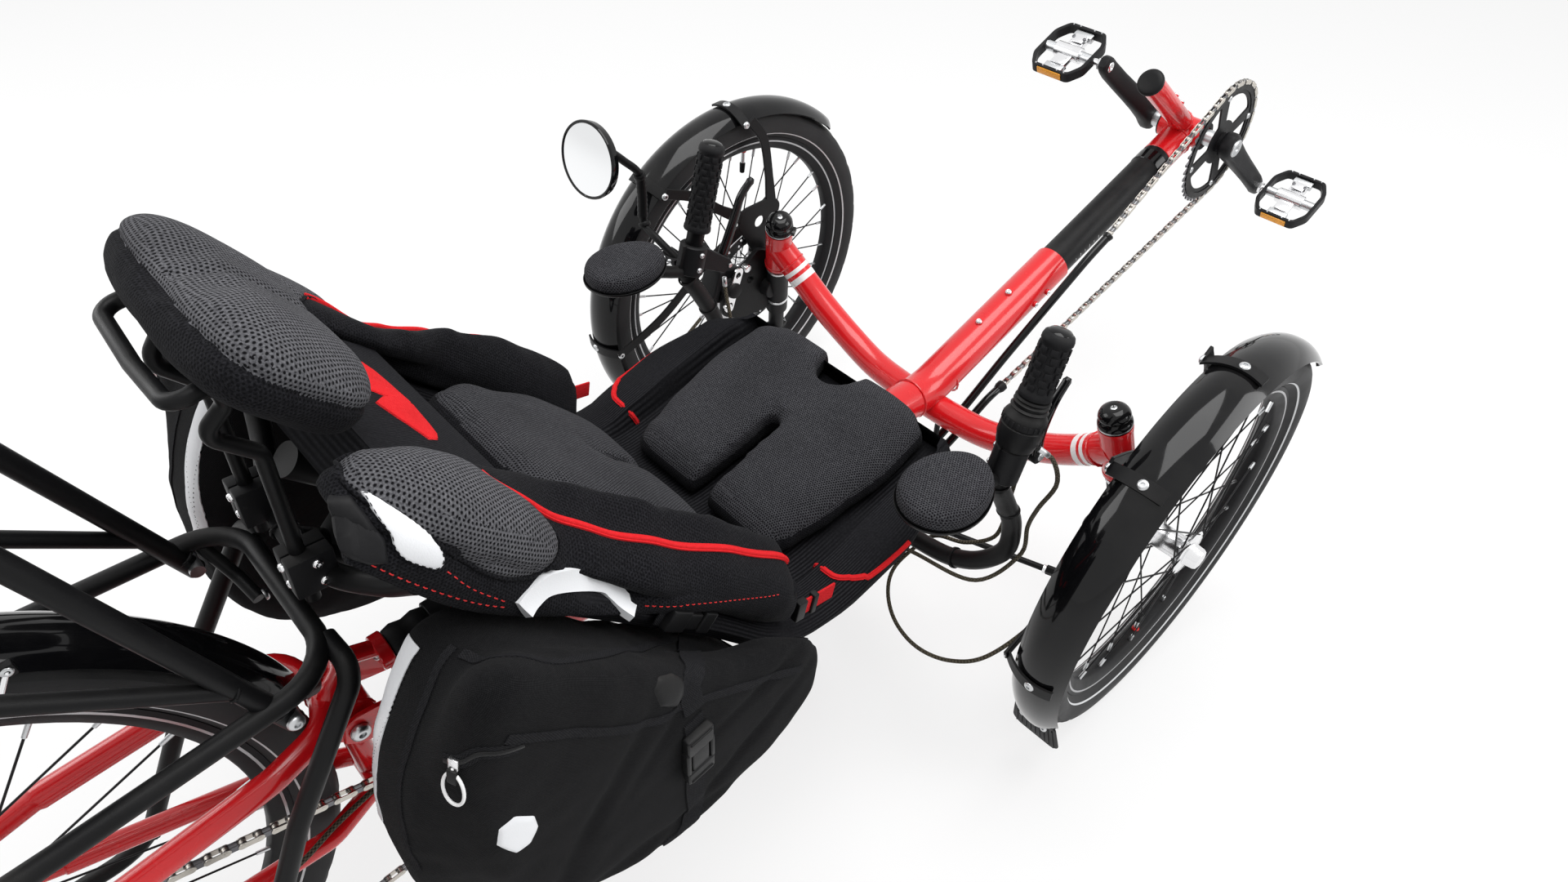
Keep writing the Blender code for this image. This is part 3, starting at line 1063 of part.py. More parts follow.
def side_bags():
    """Soft bags hung behind both sides of the seat, wider at the outer face."""
    inner = [(-0.492, 0.318), (-0.556, 0.402), (-0.604, 0.460), (-0.664, 0.528), (-0.736, 0.600), (-0.780, 0.556),
             (-0.815, 0.480), (-0.830, 0.390), (-0.812, 0.300), (-0.730, 0.244), (-0.600, 0.236), (-0.505, 0.248), (-0.466, 0.280)]
    outer = [(-0.452, 0.400), (-0.556, 0.446), (-0.622, 0.520), (-0.690, 0.588), (-0.746, 0.634), (-0.772, 0.580),
             (-0.788, 0.500), (-0.785, 0.410), (-0.748, 0.318), (-0.655, 0.262), (-0.560, 0.258), (-0.490, 0.270), (-0.446, 0.318)]
    shares = ((0.152, 0.0, 0.985), (0.160, 0.0, 1.0), (0.2155, 0.0, 1.0), (0.2320, 0.70, 1.02), (0.250, 1.0, 1.0), (0.263, 1.0, 0.93))
    for side, label in SIDES:
        sections = []
        for x, share, grow in shares:
            ring = []
            for (y0, z0), (y1, z1) in zip(inner, outer):
                y, z = y0 + (y1 - y0) * share, z0 + (z1 - z0) * share
                scale = grow if z < 0.420 - (y + 0.620) else min(grow, 1.0)
                ring.append(Vector((x * side, -0.640 + (y + 0.640) * scale, 0.420 + (z - 0.420) * scale)))
            sections.append(ring)
        finish(loft("bag", sections), "pannier_" + label, CANVAS, smooth_angle=50)


def rack():
    """Carrier of bent tube: a lower hoop, two side loops, struts and a deck."""
    hoop = bend([(0.122, -1.365, 0.505), (0.104, -0.960, 0.505), (0.093, -0.788, 0.505), (0.0, -0.780, 0.505)], 0.045, 2)[:-1]
    pieces = [tube("hoop", hoop + [Vector((-p.x, p.y, p.z)) for p in hoop[::-1]], RACK_R, 6)]
    for side, _ in SIDES:
        corners = ((0.062, -0.781, 0.503), (0.098, -0.778, 0.496), (0.104, -0.862, 0.380), (0.116, -0.985, 0.170),
                   (0.122, -1.320, 0.170), (0.122, -1.372, 0.505), (0.074, -1.300, DECK_Z))
        loop = bend([sided(side, p) for p in corners], 0.060, 2)
        pieces.append(tube("loop", loop, RACK_R, 6))
        rail = [sided(side, p) for p in ((0.0930, -0.826, 0.478), (0.0740, -0.912, DECK_Z), (0.0740, -1.300, DECK_Z))]
        pieces.append(tube("strut", bend(rail, 0.045, 2), RACK_R, 6))
        pieces.append(rod("brace", sided(side, (0.0890, -0.842, 0.530)), sided(side, (0.0740, -1.080, DECK_Z)), 0.0065, sides=6))
        pieces.append(rod("bolt", sided(side, (0.080, -0.826, 0.486)), sided(side, (0.1040, -0.826, 0.486)), 0.0060, sides=6))
        foot = [sided(side, p) for p in ((0.093, -0.815, 0.500), (0.070, -0.804, 0.470), (0.0470, -0.800, 0.460))]
        pieces.append(tube("foot", foot, 0.0055, 6))
    for y in (-0.960, -1.130, -1.296):
        pieces.append(rod("rung", (-0.0740, y, DECK_Z), (0.0740, y, DECK_Z), 0.0060, sides=6))
    carrier = fuse("rack", pieces)
    finish(carrier, "rack", BLACK)


def swingarm():
    """Rear triangle: pivot shell, arch, two stays a side and the dropouts."""
    pivot = Vector((0.0, *SWING_PIVOT.yz))
    pieces = [rod("shell", pivot - Vector((SHELL_HALF, 0, 0)), pivot + Vector((SHELL_HALF, 0, 0)), PIVOT_SHELL_R, sides=12),
              rod("drop", (0.0, -0.792, 0.335), (0.0, -0.794, 0.238), 0.0110, sides=8),
              rod("foot", (-0.026, -0.794, 0.238), (0.026, -0.794, 0.238), 0.0120, sides=8)]
    arch = [(0.015, -0.802, 0.350), (0.018, -0.800, 0.384), (0.0, -0.766, 0.398), (-0.018, -0.800, 0.384), (-0.015, -0.802, 0.350)]
    pieces.append(tube("arch", bend(arch, 0.012, 2), 0.0090, 6))
    pieces.append(rod("elastomer_plate", (0.0, -0.7360, ELASTOMER_Z), (0.0, -0.7480, ELASTOMER_Z), 0.0170, sides=10))
    pieces.append(rod("plate_web", (0.0, -0.742, ELASTOMER_Z + 0.006), (0.0, -0.768, 0.396), 0.0080, sides=6))
    for side, _ in SIDES:
        upper = [sided(side, p) for p in ((0.012, -0.802, 0.3760), (0.044, -0.812, 0.3850), (0.058, -0.860, 0.3840),
                                          (0.0620, -1.000, 0.3720), (0.0632, -1.104, 0.3450))]
        lower = [sided(side, p) for p in ((0.018, -0.794, 0.238), (0.044, -0.850, 0.2440), (0.060, -1.020, 0.285),
                                          (0.0665, -1.112, 0.3150))]
        pieces.append(tube("upper_stay", upper, 0.0110, 6))
        pieces.append(tube("lower_stay", lower, 0.0095, 6))
        drop = plate("dropout", [(-1.100, 0.352), (-1.150, 0.352), (-1.166, 0.3275), (-1.150, 0.300), (-1.100, 0.306)], 0.0070,
                     (), across(side * 0.0710))
        pieces.append(drop)
    triangle = fuse("triangle", pieces)
    for side, _ in SIDES:
        low, high = (side * 0.060, *REAR_AXLE.yz), (side * 0.085, *REAR_AXLE.yz)
        triangle = cut(triangle, rod("axle_slot", low, high, 0.0076 + GAP, sides=8))
    reach = Vector((0.06, 0.0, 0.0))
    triangle = cut(triangle, rod("pivot_way", pivot - reach, pivot + reach, 0.0080 + 3 * GAP, sides=10))
    finish(triangle, "swingarm", RED, SWING_PIVOT)


def rear_fender():
    guard = shell_arc("guard", REAR_FENDER_R, 0.0300, 0.0150, 0.0020, math.radians(14), math.radians(182), 13)
    guard.data.transform(Matrix.Translation(REAR_AXLE))
    pieces = [guard]
    for side, _ in SIDES:
        for angle in (52.0, 150.0):
            a = math.radians(angle)
            out = Vector((0.0, math.cos(a), math.sin(a)))
            stay = [REAR_AXLE + Vector((side * x, 0.0, 0.0)) + out * r
                    for x, r in ((0.0292, REAR_FENDER_R - 0.013), (0.0777, 0.056), (0.0777, 0.014))]
            pieces.append(tube("stay", stay, 0.0022, 4))
        foot = REAR_AXLE + Vector((side * 0.0775, 0.0, 0.0))
        matrix = Matrix.Translation(foot) @ across(0.0)
        pieces.append(plate("stay_eye", circle(0.016, 8), 0.0030, [circle(0.0082, 8)], matrix))
    guard = fuse("rear_fender", pieces)
    finish(guard, "rear_fender", GLOSS_BLACK, SWING_PIVOT)


def drive():
    """Cassette, derailleur, idler, chain runs and the tubes that guide them."""
    profile = []
    for r, z0, z1 in ((0.0850, 0.0385, 0.0405), (0.0640, 0.0440, 0.0460), (0.0400, 0.0505, 0.0525)):
        profile += [(0.0260, z0), (r, z0), (r, z1), (0.0260, z1)]
    profile += [(0.0260, 0.0565), (0.0205, 0.0565), (0.0205, 0.0375)]
    cassette = lathe("cassette", profile, 14, closed=True)
    cassette.data.transform(Matrix.Translation(REAR_AXLE) @ Matrix.Rotation(math.radians(90), 4, "Y"))
    finish(cassette, "cassette", STEEL, REAR_AXLE)

    half = [(IDLER_R - 0.001, 0.0035), (IDLER_R + 0.006, 0.0060), (IDLER_R + 0.006, 0.0080), (0.0066, 0.0080)]
    profile = half + [(r, -z) for r, z in half[::-1]]
    idler = lathe("idler", profile[::-1], 14, closed=True)
    idler.data.transform(Matrix.Translation(IDLER) @ Matrix.Rotation(math.radians(90), 4, "Y"))
    finish(idler, "idler_wheel", BLACK, IDLER)

    outline = [(-1.152, 0.296), (-1.124, 0.300), (-1.118, 0.262), (-1.140, 0.222), (-1.160, 0.240)]
    mount = plate("mount", outline, 0.0060, (), across(0.0780))
    pieces = [mount]
    upper, lower = PULLEYS
    pieces.append(rod("knuckle", upper + Vector((0.012, 0, 0)), upper + Vector((0.034, 0, 0)), 0.0170, sides=10))
    for x in (-0.0085, 0.0085):
        line = [(upper.y, upper.z + 0.004), (lower.y, lower.z - 0.004)]
        cage = plate("cage", ribbon(line, [0.022, 0.022]), 0.0022, (), across(upper.x + x))
        pieces.append(cage)
    for centre in (upper, lower):
        pieces.append(rod("pulley", centre - Vector((0.0090, 0, 0)), centre + Vector((0.0130, 0, 0)), 0.0060, sides=8))
        pieces.append(rod("jockey", centre - Vector((0.0020, 0, 0)), centre + Vector((0.0020, 0, 0)), 0.0190, sides=10))
    finish(fuse("derailleur", pieces), "derailleur", BLACK, SWING_PIVOT)


def tangent_path(stops, steps=5):
    """Path in the (y, z) plane past circles: positive radii lie on its left."""
    ways = []
    for (a, ra, _), (b, rb, _) in zip(stops, stops[1:]):
        reach = b - a
        heading = math.atan2(reach.y, reach.x) - math.asin((rb - ra) / reach.length)
        normal = Vector((-math.sin(heading), math.cos(heading)))
        ways.append((a - normal * ra, b - normal * rb))
    path = [(ways[0][0], stops[0][2])]
    for (_, arrive), (leave, _), (centre, radius, x) in zip(ways, ways[1:], stops[1:-1]):
        start = math.atan2(*(arrive - centre).yx)
        turn = (math.atan2(*(leave - centre).yx) - start) % math.tau
        if radius < 0:
            turn -= math.tau
        count = max(1, math.ceil(abs(turn) / (2 * math.acos(1 - 0.0004 / abs(radius)))))
        for i in range(count + 1):
            a = start + turn * i / count
            path.append((centre + Vector((math.cos(a), math.sin(a))) * abs(radius), x))
    path.append((ways[-1][1], stops[-1][2]))
    return path


def band(name, path, width, height):
    """Flat chain band swept along a path, kept square to the wheels it runs on."""
    sections = []
    for i, (p, x) in enumerate(path):
        before, after = path[max(i - 1, 0)][0], path[min(i + 1, len(path) - 1)][0]
        ahead = (after - before).normalized()
        normal = Vector((-ahead.y, ahead.x)) * height / 2
        corners = ((1, p + normal), (1, p - normal), (-1, p - normal), (-1, p + normal))
        sections.append([Vector((x + sign * width / 2, q.x, q.y)) for sign, q in corners])
    return loft(name, sections)


def chain():
    """Front and rear chain runs with the two tubes that guide them under the seat."""
    upper = smooth([(0.0560, 0.313, 0.3750), (0.0535, 0.287, 0.3600), (0.0370, 0.150, 0.2500), (0.0240, 0.030, 0.1520), (0.0240, -0.060, 0.1370),
                    (0.0300, -0.220, 0.1400), (0.0440, -0.320, 0.1545), (0.0465, -0.345, 0.1560)], 18)
    lower = smooth([(0.0440, 0.137, 0.1970), (0.0428, 0.107, 0.1886), (0.0350, 0.050, 0.1450), (0.0320, 0.0, 0.1220), (0.0320, -0.060, 0.1120),
                    (0.0320, -0.220, 0.1120), (0.0412, -0.365, 0.1197), (0.0420, -0.395, 0.1200)], 18)
    for label, line in (("upper", upper), ("lower", lower)):
        guide = tube("guide", line, TUBE_R, 6)
        if label == "lower":
            guide = fuse("guide", [guide, rod("mouth", line[0], line[0].lerp(line[1], 0.35), 0.0082, TUBE_R, 10)])
        for end, inside in ((line[0], line[1]), (line[-1], line[-2])):
            out = (end - inside).normalized()
            guide = cut(guide, rod("mouth_bore", end + out * 0.004, end - out * 0.016, TUBE_R - 0.0010, sides=6))
        finish(guide, "chain_tube_" + label, GLOSS_BLACK)
    ring = CHAIN_PITCH / (2 * math.sin(math.pi / RING_TEETH)) + 0.0034 + CHAIN_H / 2
    thin = 0.0046
    start, end = lower[0].lerp(lower[1], 0.2), upper[0].lerp(upper[1], 0.2)
    path = tangent_path([(start.yz, 0.0, start.x), (BOTTOM_BRACKET.yz, ring, CHAIN_X), (end.yz, 0.0, end.x)])
    finish(band("front", path, CHAIN_W, thin), "chain_front", STEEL, BOTTOM_BRACKET)
    start, end = upper[-1].lerp(upper[-2], 0.3), lower[-1].lerp(lower[-2], 0.3)
    offset = CHAIN_H / 2 + 0.0006
    stops = [(start.yz, 0.0, start.x), (IDLER.yz, -(IDLER_R - 0.001 + offset), IDLER.x), (REAR_AXLE.yz, COG_R + offset, COG_X),
             (PULLEYS[0].yz, -(0.0190 + offset), PULLEYS[0].x), (PULLEYS[1].yz, 0.0190 + offset, PULLEYS[1].x),
             (end.yz, 0.0, end.x)]
    finish(band("rear", tangent_path(stops), CHAIN_W, thin), "chain_rear", STEEL, REAR_AXLE)


def cables():
    """Brake and shift housings along the routes they are held on."""
    tops = {1: [(0.2382, -0.1370, 0.3630), (0.2400, -0.1400, 0.3420)], -1: [(0.2500, -0.1290, 0.3560), (0.2460, -0.1310, 0.3360)]}
    run = [(0.2360, -0.1340, 0.3080), (0.2340, -0.1310, 0.2680),
                    (0.2280, -0.1360, 0.2380), (0.1980, -0.1440, 0.2100), (0.1620, -0.1460, 0.1930), (0.1440, -0.1510, 0.1700),
                    (0.1360, -0.1900, 0.1480), (0.1480, -0.2150, 0.1300), (0.1800, -0.2360, 0.1200), (0.2230, -0.2450, 0.1200),
                    (0.2660, -0.2380, 0.1320), (0.3010, -0.2180, 0.1600), (0.3230, -0.1650, 0.2050), (0.3230, -0.1050, 0.2480)]
    for side, label in SIDES:
        line = smooth([sided(side, p) for p in tops[side] + run], 26)
        finish(tube("housing", line, CABLE_R, 4), "brake_cable_" + label, CABLE)
    shift = smooth([(0.2712, -0.1690, 0.4370), (0.2850, -0.1600, 0.4240), (0.2920, -0.1530, 0.3900), (0.2800, -0.1530, 0.3450),
                    (0.2700, -0.1440, 0.3000), (0.2700, -0.1440, 0.2500), (0.2380, -0.1750, 0.2020), (0.1500, -0.1800, 0.1800),
                    (0.0600, -0.1850, 0.1580), (0.0, -0.2100, 0.1680), (-0.0260, -0.2700, 0.2200), (-0.0350, -0.3600, 0.2600),
                    (-0.0350, -0.5600, 0.2780), (-0.0280, -0.6600, 0.2720), (0.0, -0.7200, 0.2620), (0.0280, -0.7650, 0.2600),
                    (0.0460, -0.8400, 0.2620), (0.0640, -0.9000, 0.2680), (0.0760, -1.0200, 0.2960), (0.0900, -1.1100, 0.3100),
                    (0.0920, -1.1650, 0.2950), (0.0840, -1.1860, 0.2600), (0.0720, -1.1640, 0.2360)], 40)
    finish(tube("housing", shift, CABLE_R, 4), "shift_cable", CABLE)


def elastomer():
    """Rubber block between the frame's post and the swingarm's plate."""
    profile = [(0.0, 0.0394), (0.0150, 0.0394), (0.0172, 0.0300), (0.0150, 0.0197), (0.0172, 0.0094), (0.0150, 0.0), (0.0, 0.0)]
    block = lathe("block", profile, 12)
    place = Matrix.Translation((0.0, -0.6960 - GAP, ELASTOMER_Z)) @ Matrix.Rotation(math.radians(90), 4, "X")
    block.data.transform(place)
    finish(block, "elastomer", RUBBER)


seat()
seat_frame()
side_bags()
rack()
swingarm()
elastomer()
rear_fender()
chain()
cables()
drive()
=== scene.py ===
"""Looks of the recumbent tricycle: every finish, the laced wheels, chain links,
cables, seat fabrics and side bags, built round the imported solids.

Shapes are drawn from a datum on the ground under the front axle, as the solids
are, and set down by DATUM.  Metres, +Z up, +Y forward, +X to the rider's right.
"""

import math

import bmesh
import bpy
import numpy as np
from mathutils import Matrix, Vector, noise
from mathutils.bvhtree import BVHTree
from mathutils.geometry import tessellate_polygon


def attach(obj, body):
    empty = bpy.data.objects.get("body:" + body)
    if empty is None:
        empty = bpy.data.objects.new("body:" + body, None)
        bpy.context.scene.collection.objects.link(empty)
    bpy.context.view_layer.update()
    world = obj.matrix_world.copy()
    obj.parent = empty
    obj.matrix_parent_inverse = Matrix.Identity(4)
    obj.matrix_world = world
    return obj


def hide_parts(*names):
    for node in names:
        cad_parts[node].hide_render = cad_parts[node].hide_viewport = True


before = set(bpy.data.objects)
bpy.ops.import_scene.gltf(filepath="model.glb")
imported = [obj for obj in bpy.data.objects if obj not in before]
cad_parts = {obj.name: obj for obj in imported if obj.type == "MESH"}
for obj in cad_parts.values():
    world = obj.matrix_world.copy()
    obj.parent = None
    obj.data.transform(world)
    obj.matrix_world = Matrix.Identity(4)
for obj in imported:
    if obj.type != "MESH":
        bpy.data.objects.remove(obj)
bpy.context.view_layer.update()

# Driving dimensions, the same as the solids'
DATUM = Vector((0.0, 0.365, 0.0))
TRACK = 0.751
WHEELBASE = 1.143
FRONT_R = 0.25
FRONT_BEAD = 0.203
REAR_R = 0.3275
REAR_BEAD = 0.2795
BOOM_R = 0.0237
MAIN_R = 0.027
CROSS_R = 0.0195
HEAD_R = 0.019
BOOM_ANGLE = math.radians(18.0)
BOTTOM_BRACKET = Vector((0.0, 0.584, 0.422))
CRANK_ANGLE = math.radians(-40.0)
CRANK_LENGTH = 0.165
PEDAL_X = 0.149
CHAIN_X = 0.058
CHAIN_PITCH = 0.0127
RING_TEETH = 44
KINGPIN_TOP = Vector((0.266, -0.012, 0.3975))
KINGPIN_DOWN = Vector((0.24, 0.2, -1.0)).normalized()
HEAD_TOP_Z = 0.366
HEAD_LOW_Z = 0.296
STEER_PIVOT = Vector((0.0, -0.075, 0.175))
STEER_ARM = Vector((0.014, -0.078, 0.0))
ROD_OUTER = Vector((0.315, -0.049, 0.158))
BAR_R = 0.0111
GRIP_TOP = Vector((0.248, -0.14, 0.556))
GRIP_DIR = Vector((0.0, 0.289, 0.957)).normalized()
GRIP_FOOT = Vector((0.248, -0.192, 0.385))
SWING_PIVOT = Vector((0.0, -0.79, 0.345))
REAR_AXLE = Vector((0.0, -WHEELBASE, REAR_R))
FENDER_R = 0.2625
FENDER_HALF = 0.03
REAR_FENDER_R = 0.345
ARMREST_X = 0.2475
ARMREST_Y = -0.2835
MIRROR_BALL = Vector((-0.331, -0.236, 0.538))
MIRROR_FACE = Vector((0.1, -0.97, 0.22)).normalized()
NECK_S = 0.766
NECK_T = 0.003
LEG_LOW = Vector((0.045, -0.7725, 0.54))
LEG_DIR = Vector((0.0, 0.09, 1.0)).normalized()
LEG_R = 0.0055
RACK_R = 0.008
DECK_Z = 0.74
IDLER = Vector((0.048, -0.43, 0.195))
IDLER_R = 0.03
PULLEYS = (Vector((0.048, -1.14, 0.232)), Vector((0.048, -1.11, 0.148)))
COG_R = 0.064
COG_X = 0.045
PIVOT_SHELL_R = 0.022
CHAIN_H = 0.007
TUBE_R = 0.006
CABLE_R = 0.0025
ELASTOMER_Z = 0.378
LEVER_PIVOTS = {1: Vector((0.25, -0.128, 0.386)), -1: Vector((0.262, -0.124, 0.376))}
LEVER_LINES = {1: [(0.0, 0.0), (-0.004, 0.024), (0.0, 0.048), (0.01, 0.072), (0.026, 0.091)],
    -1: [(0.0, 0.0), (0.014, 0.028), (0.027, 0.056), (0.038, 0.08), (0.058, 0.098)]}
SEAT_LINE = [(-0.145, 0.386), (-0.28, 0.361), (-0.38, 0.344), (-0.43, 0.366), (-0.5, 0.452), (-0.6, 0.568),
    (-0.7, 0.685), (-0.8, 0.802)]
SIDES = ((1, "right"), (-1, "left"))
PROUD = 0.0004                       # how far a decal or tape stands off what carries it

# Camera, found from the photograph
CAMERA_AT = Vector((0.5866, -0.4604, 1.1051))
CAMERA_AZIMUTH = math.radians(45.84)
CAMERA_ELEVATION = math.radians(44.122)
CAMERA_ROLL = math.radians(0.916)
CAMERA_LENS = 22.3165
SENSOR = 36.0
PHOTO_WIDE = 1920
PHOTO_HIGH = 1080
CAMERA_BACK = Vector((math.sin(CAMERA_AZIMUTH) * math.cos(CAMERA_ELEVATION),
    -math.cos(CAMERA_AZIMUTH) * math.cos(CAMERA_ELEVATION), math.sin(CAMERA_ELEVATION)))
CAMERA_RIGHT = Vector((math.cos(CAMERA_AZIMUTH), math.sin(CAMERA_AZIMUTH), 0.0))
CAMERA_TURN = (Matrix((CAMERA_RIGHT, CAMERA_BACK.cross(CAMERA_RIGHT), CAMERA_BACK)).transposed().to_4x4()
    @ Matrix.Rotation(CAMERA_ROLL, 4, "Z"))


# Node groups
def node_group(name, inputs, outputs):
    """An empty shader group with named inputs (name, kind, default) and outputs."""
    tree = bpy.data.node_groups.new(name, "ShaderNodeTree")
    for label, kind, value in inputs:
        socket = tree.interface.new_socket(name=label, in_out="INPUT", socket_type="NodeSocket" + kind)
        if value is not None:
            socket.default_value = value
    for label, kind in outputs:
        tree.interface.new_socket(name=label, in_out="OUTPUT", socket_type="NodeSocket" + kind)
    return tree, tree.nodes.new("NodeGroupInput"), tree.nodes.new("NodeGroupOutput")


def feed(tree, slot, value):
    """Sets a socket to a plain value, or links the socket that drives it."""
    if isinstance(value, bpy.types.NodeSocket):
        tree.links.new(value, slot)
    else:
        slot.default_value = value


def node_of(tree, kind, output, **values):
    """A node with some of its sockets fed; its one output that is wanted comes back."""
    node = tree.nodes.new("ShaderNode" + kind)
    for label, value in values.items():
        feed(tree, node.inputs[label], value)
    return node.outputs[output]


def split(tree, vector):
    """The three parts of a vector socket."""
    node = tree.nodes.new("ShaderNodeSeparateXYZ")
    tree.links.new(vector, node.inputs[0])
    return node.outputs


def give(tree, outside, **sockets):
    """Links sockets to a group's outputs of the same names."""
    for label, socket in sockets.items():
        tree.links.new(socket, outside.inputs[label])


def maths(tree, operation, *values):
    """A Math node; each value is a number or the socket that feeds it."""
    node = tree.nodes.new("ShaderNodeMath")
    node.operation = operation
    for slot, value in zip(node.inputs, values):
        feed(tree, slot, value)
    return node.outputs[0]


def between(tree, factor, a, b):
    """A colour mix; each colour is a tuple or a socket."""
    node = tree.nodes.new("ShaderNodeMix")
    node.data_type = "RGBA"
    for slot, value in ((node.inputs["Factor"], factor), (node.inputs[6], a), (node.inputs[7], b)):
        feed(tree, slot, value)
    return node.outputs[2]


def remap(tree, value, low, high, to_low=0.0, to_high=1.0):
    node = tree.nodes.new("ShaderNodeMapRange")
    for slot, given in zip(node.inputs[:5], (value, low, high, to_low, to_high)):
        feed(tree, slot, given)
    return node.outputs[0]


def noise_of(tree, where, scale, detail=3.0, roughness=0.55):
    return node_of(tree, "TexNoise", "Fac", Vector=where, Scale=scale, Detail=detail, Roughness=roughness)


def bump_of(tree, height, strength, distance):
    return node_of(tree, "Bump", "Normal", Height=height, Strength=strength, Distance=distance)


def handled_group():
    """Patchy colour and gloss, a fine grain, scuffs and dust on what faces up."""
    tree, inside, outside = node_group("handled_surface", [("Color", "Color", (0.5, 0.5, 0.5, 1)),
        ("Worn Color", "Color", (0.5, 0.5, 0.5, 1)), ("Patch Scale", "Float", 18.0), ("Rough Low", "Float",
        0.3), ("Rough High", "Float", 0.4), ("Grain Scale", "Float", 900.0), ("Grain", "Float", 0.1),
        ("Wear", "Float", 0.2), ("Dust", "Float", 0.1)],
        [("Color", "Color"), ("Roughness", "Float"), ("Normal", "Vector"), ("Mask", "Float")])
    where = tree.nodes.new("ShaderNodeTexCoord").outputs["Object"]
    patches = noise_of(tree, where, inside.outputs["Patch Scale"], 4.0)
    scuffs = remap(tree, noise_of(tree, where, 95.0, 6.0, 0.7), 0.62, 0.72)
    worn = maths(tree, "MULTIPLY", scuffs, inside.outputs["Wear"])
    color = between(tree, worn, inside.outputs["Color"], inside.outputs["Worn Color"])
    facing = split(tree, node_of(tree, "NewGeometry", "Normal"))[2]
    settled = maths(tree, "MULTIPLY", remap(tree, facing, 0.2, 1.0), remap(tree, patches, 0.45, 0.75))
    dust = maths(tree, "MULTIPLY", settled, inside.outputs["Dust"])
    color = between(tree, dust, color, (0.42, 0.4, 0.37, 1.0))
    rough = remap(tree, patches, 0.3, 0.7, inside.outputs["Rough Low"], inside.outputs["Rough High"])
    rough = maths(tree, "MAXIMUM", rough, maths(tree, "MULTIPLY", dust, 0.8))
    grain = noise_of(tree, where, inside.outputs["Grain Scale"], 2.0)
    give(tree, outside, Color=color, Roughness=rough, Mask=worn,
        Normal=bump_of(tree, grain, inside.outputs["Grain"], 0.0006))
    return tree


def lattice(tree, where, pitch, stretch=1.7320508):
    """Distance from the nearest of a staggered grid of points, in pitches."""
    scaled = tree.nodes.new("ShaderNodeVectorMath")
    scaled.operation = "DIVIDE"
    tree.links.new(where, scaled.inputs[0])
    step = tree.nodes.new("ShaderNodeCombineXYZ")
    tree.links.new(pitch, step.inputs[0])
    tree.links.new(maths(tree, "MULTIPLY", pitch, stretch), step.inputs[1])
    step.inputs[2].default_value = 1.0
    tree.links.new(step.outputs[0], scaled.inputs[1])
    nearest = None
    for shift in (0.0, 0.5):
        moved = tree.nodes.new("ShaderNodeVectorMath")
        moved.operation = "ADD"
        moved.inputs[1].default_value = (shift, shift, 0.0)
        tree.links.new(scaled.outputs[0], moved.inputs[0])
        x, y = (maths(tree, "SUBTRACT", maths(tree, "FRACT", part), 0.5)
            for part in split(tree, moved.outputs[0])[:2])
        y = maths(tree, "MULTIPLY", y, stretch)
        far = maths(tree, "SQRT",
            maths(tree, "ADD", maths(tree, "MULTIPLY", x, x), maths(tree, "MULTIPLY", y, y)))
        nearest = far if nearest is None else maths(tree, "MINIMUM", nearest, far)
    return nearest


def spacer_group():
    """Knitted spacer mesh: round holes in staggered rows, with a soft pile between. The holes take the
    near-black hole colour: painted shade in their depth.
    """
    tree, inside, outside = node_group("spacer_mesh", [("Color", "Color", (0.1, 0.1, 0.1, 1)),
        ("Hole Color", "Color", (0.01, 0.01, 0.01, 1)), ("Pitch", "Float", 0.004), ("Hole", "Float", 0.3),
        ("Depth", "Float", 0.6), ("Light Color", "Color", (0.2, 0.2, 0.2, 1))],
        [("Color", "Color"), ("Normal", "Vector"), ("Mask", "Float")])
    coordinates = tree.nodes.new("ShaderNodeTexCoord")
    where = coordinates.outputs["UV"]
    far = lattice(tree, where, inside.outputs["Pitch"])
    # Painted shade: where the lattice opens into a hole, the colour goes to the near-black hole colour for
    # the shade that falls in its depth.
    solid = remap(tree, far, maths(tree, "SUBTRACT", inside.outputs["Hole"], 0.09),
        maths(tree, "ADD", inside.outputs["Hole"], 0.07))
    yarn = noise_of(tree, coordinates.outputs["Object"], 700.0, 2.0)
    patch = noise_of(tree, coordinates.outputs["Object"], 11.0, 3.0)
    knit = between(tree, remap(tree, yarn, 0.35, 0.7), inside.outputs["Color"],
        inside.outputs["Light Color"])
    knit = between(tree, remap(tree, patch, 0.45, 0.8, 0.0, 0.35), knit, inside.outputs["Hole Color"])
    height = maths(tree, "ADD", solid, maths(tree, "MULTIPLY", yarn, 0.35))
    give(tree, outside, Color=between(tree, solid, inside.outputs["Hole Color"], knit), Mask=solid,
        Normal=bump_of(tree, height, inside.outputs["Depth"], 0.0012))
    return tree


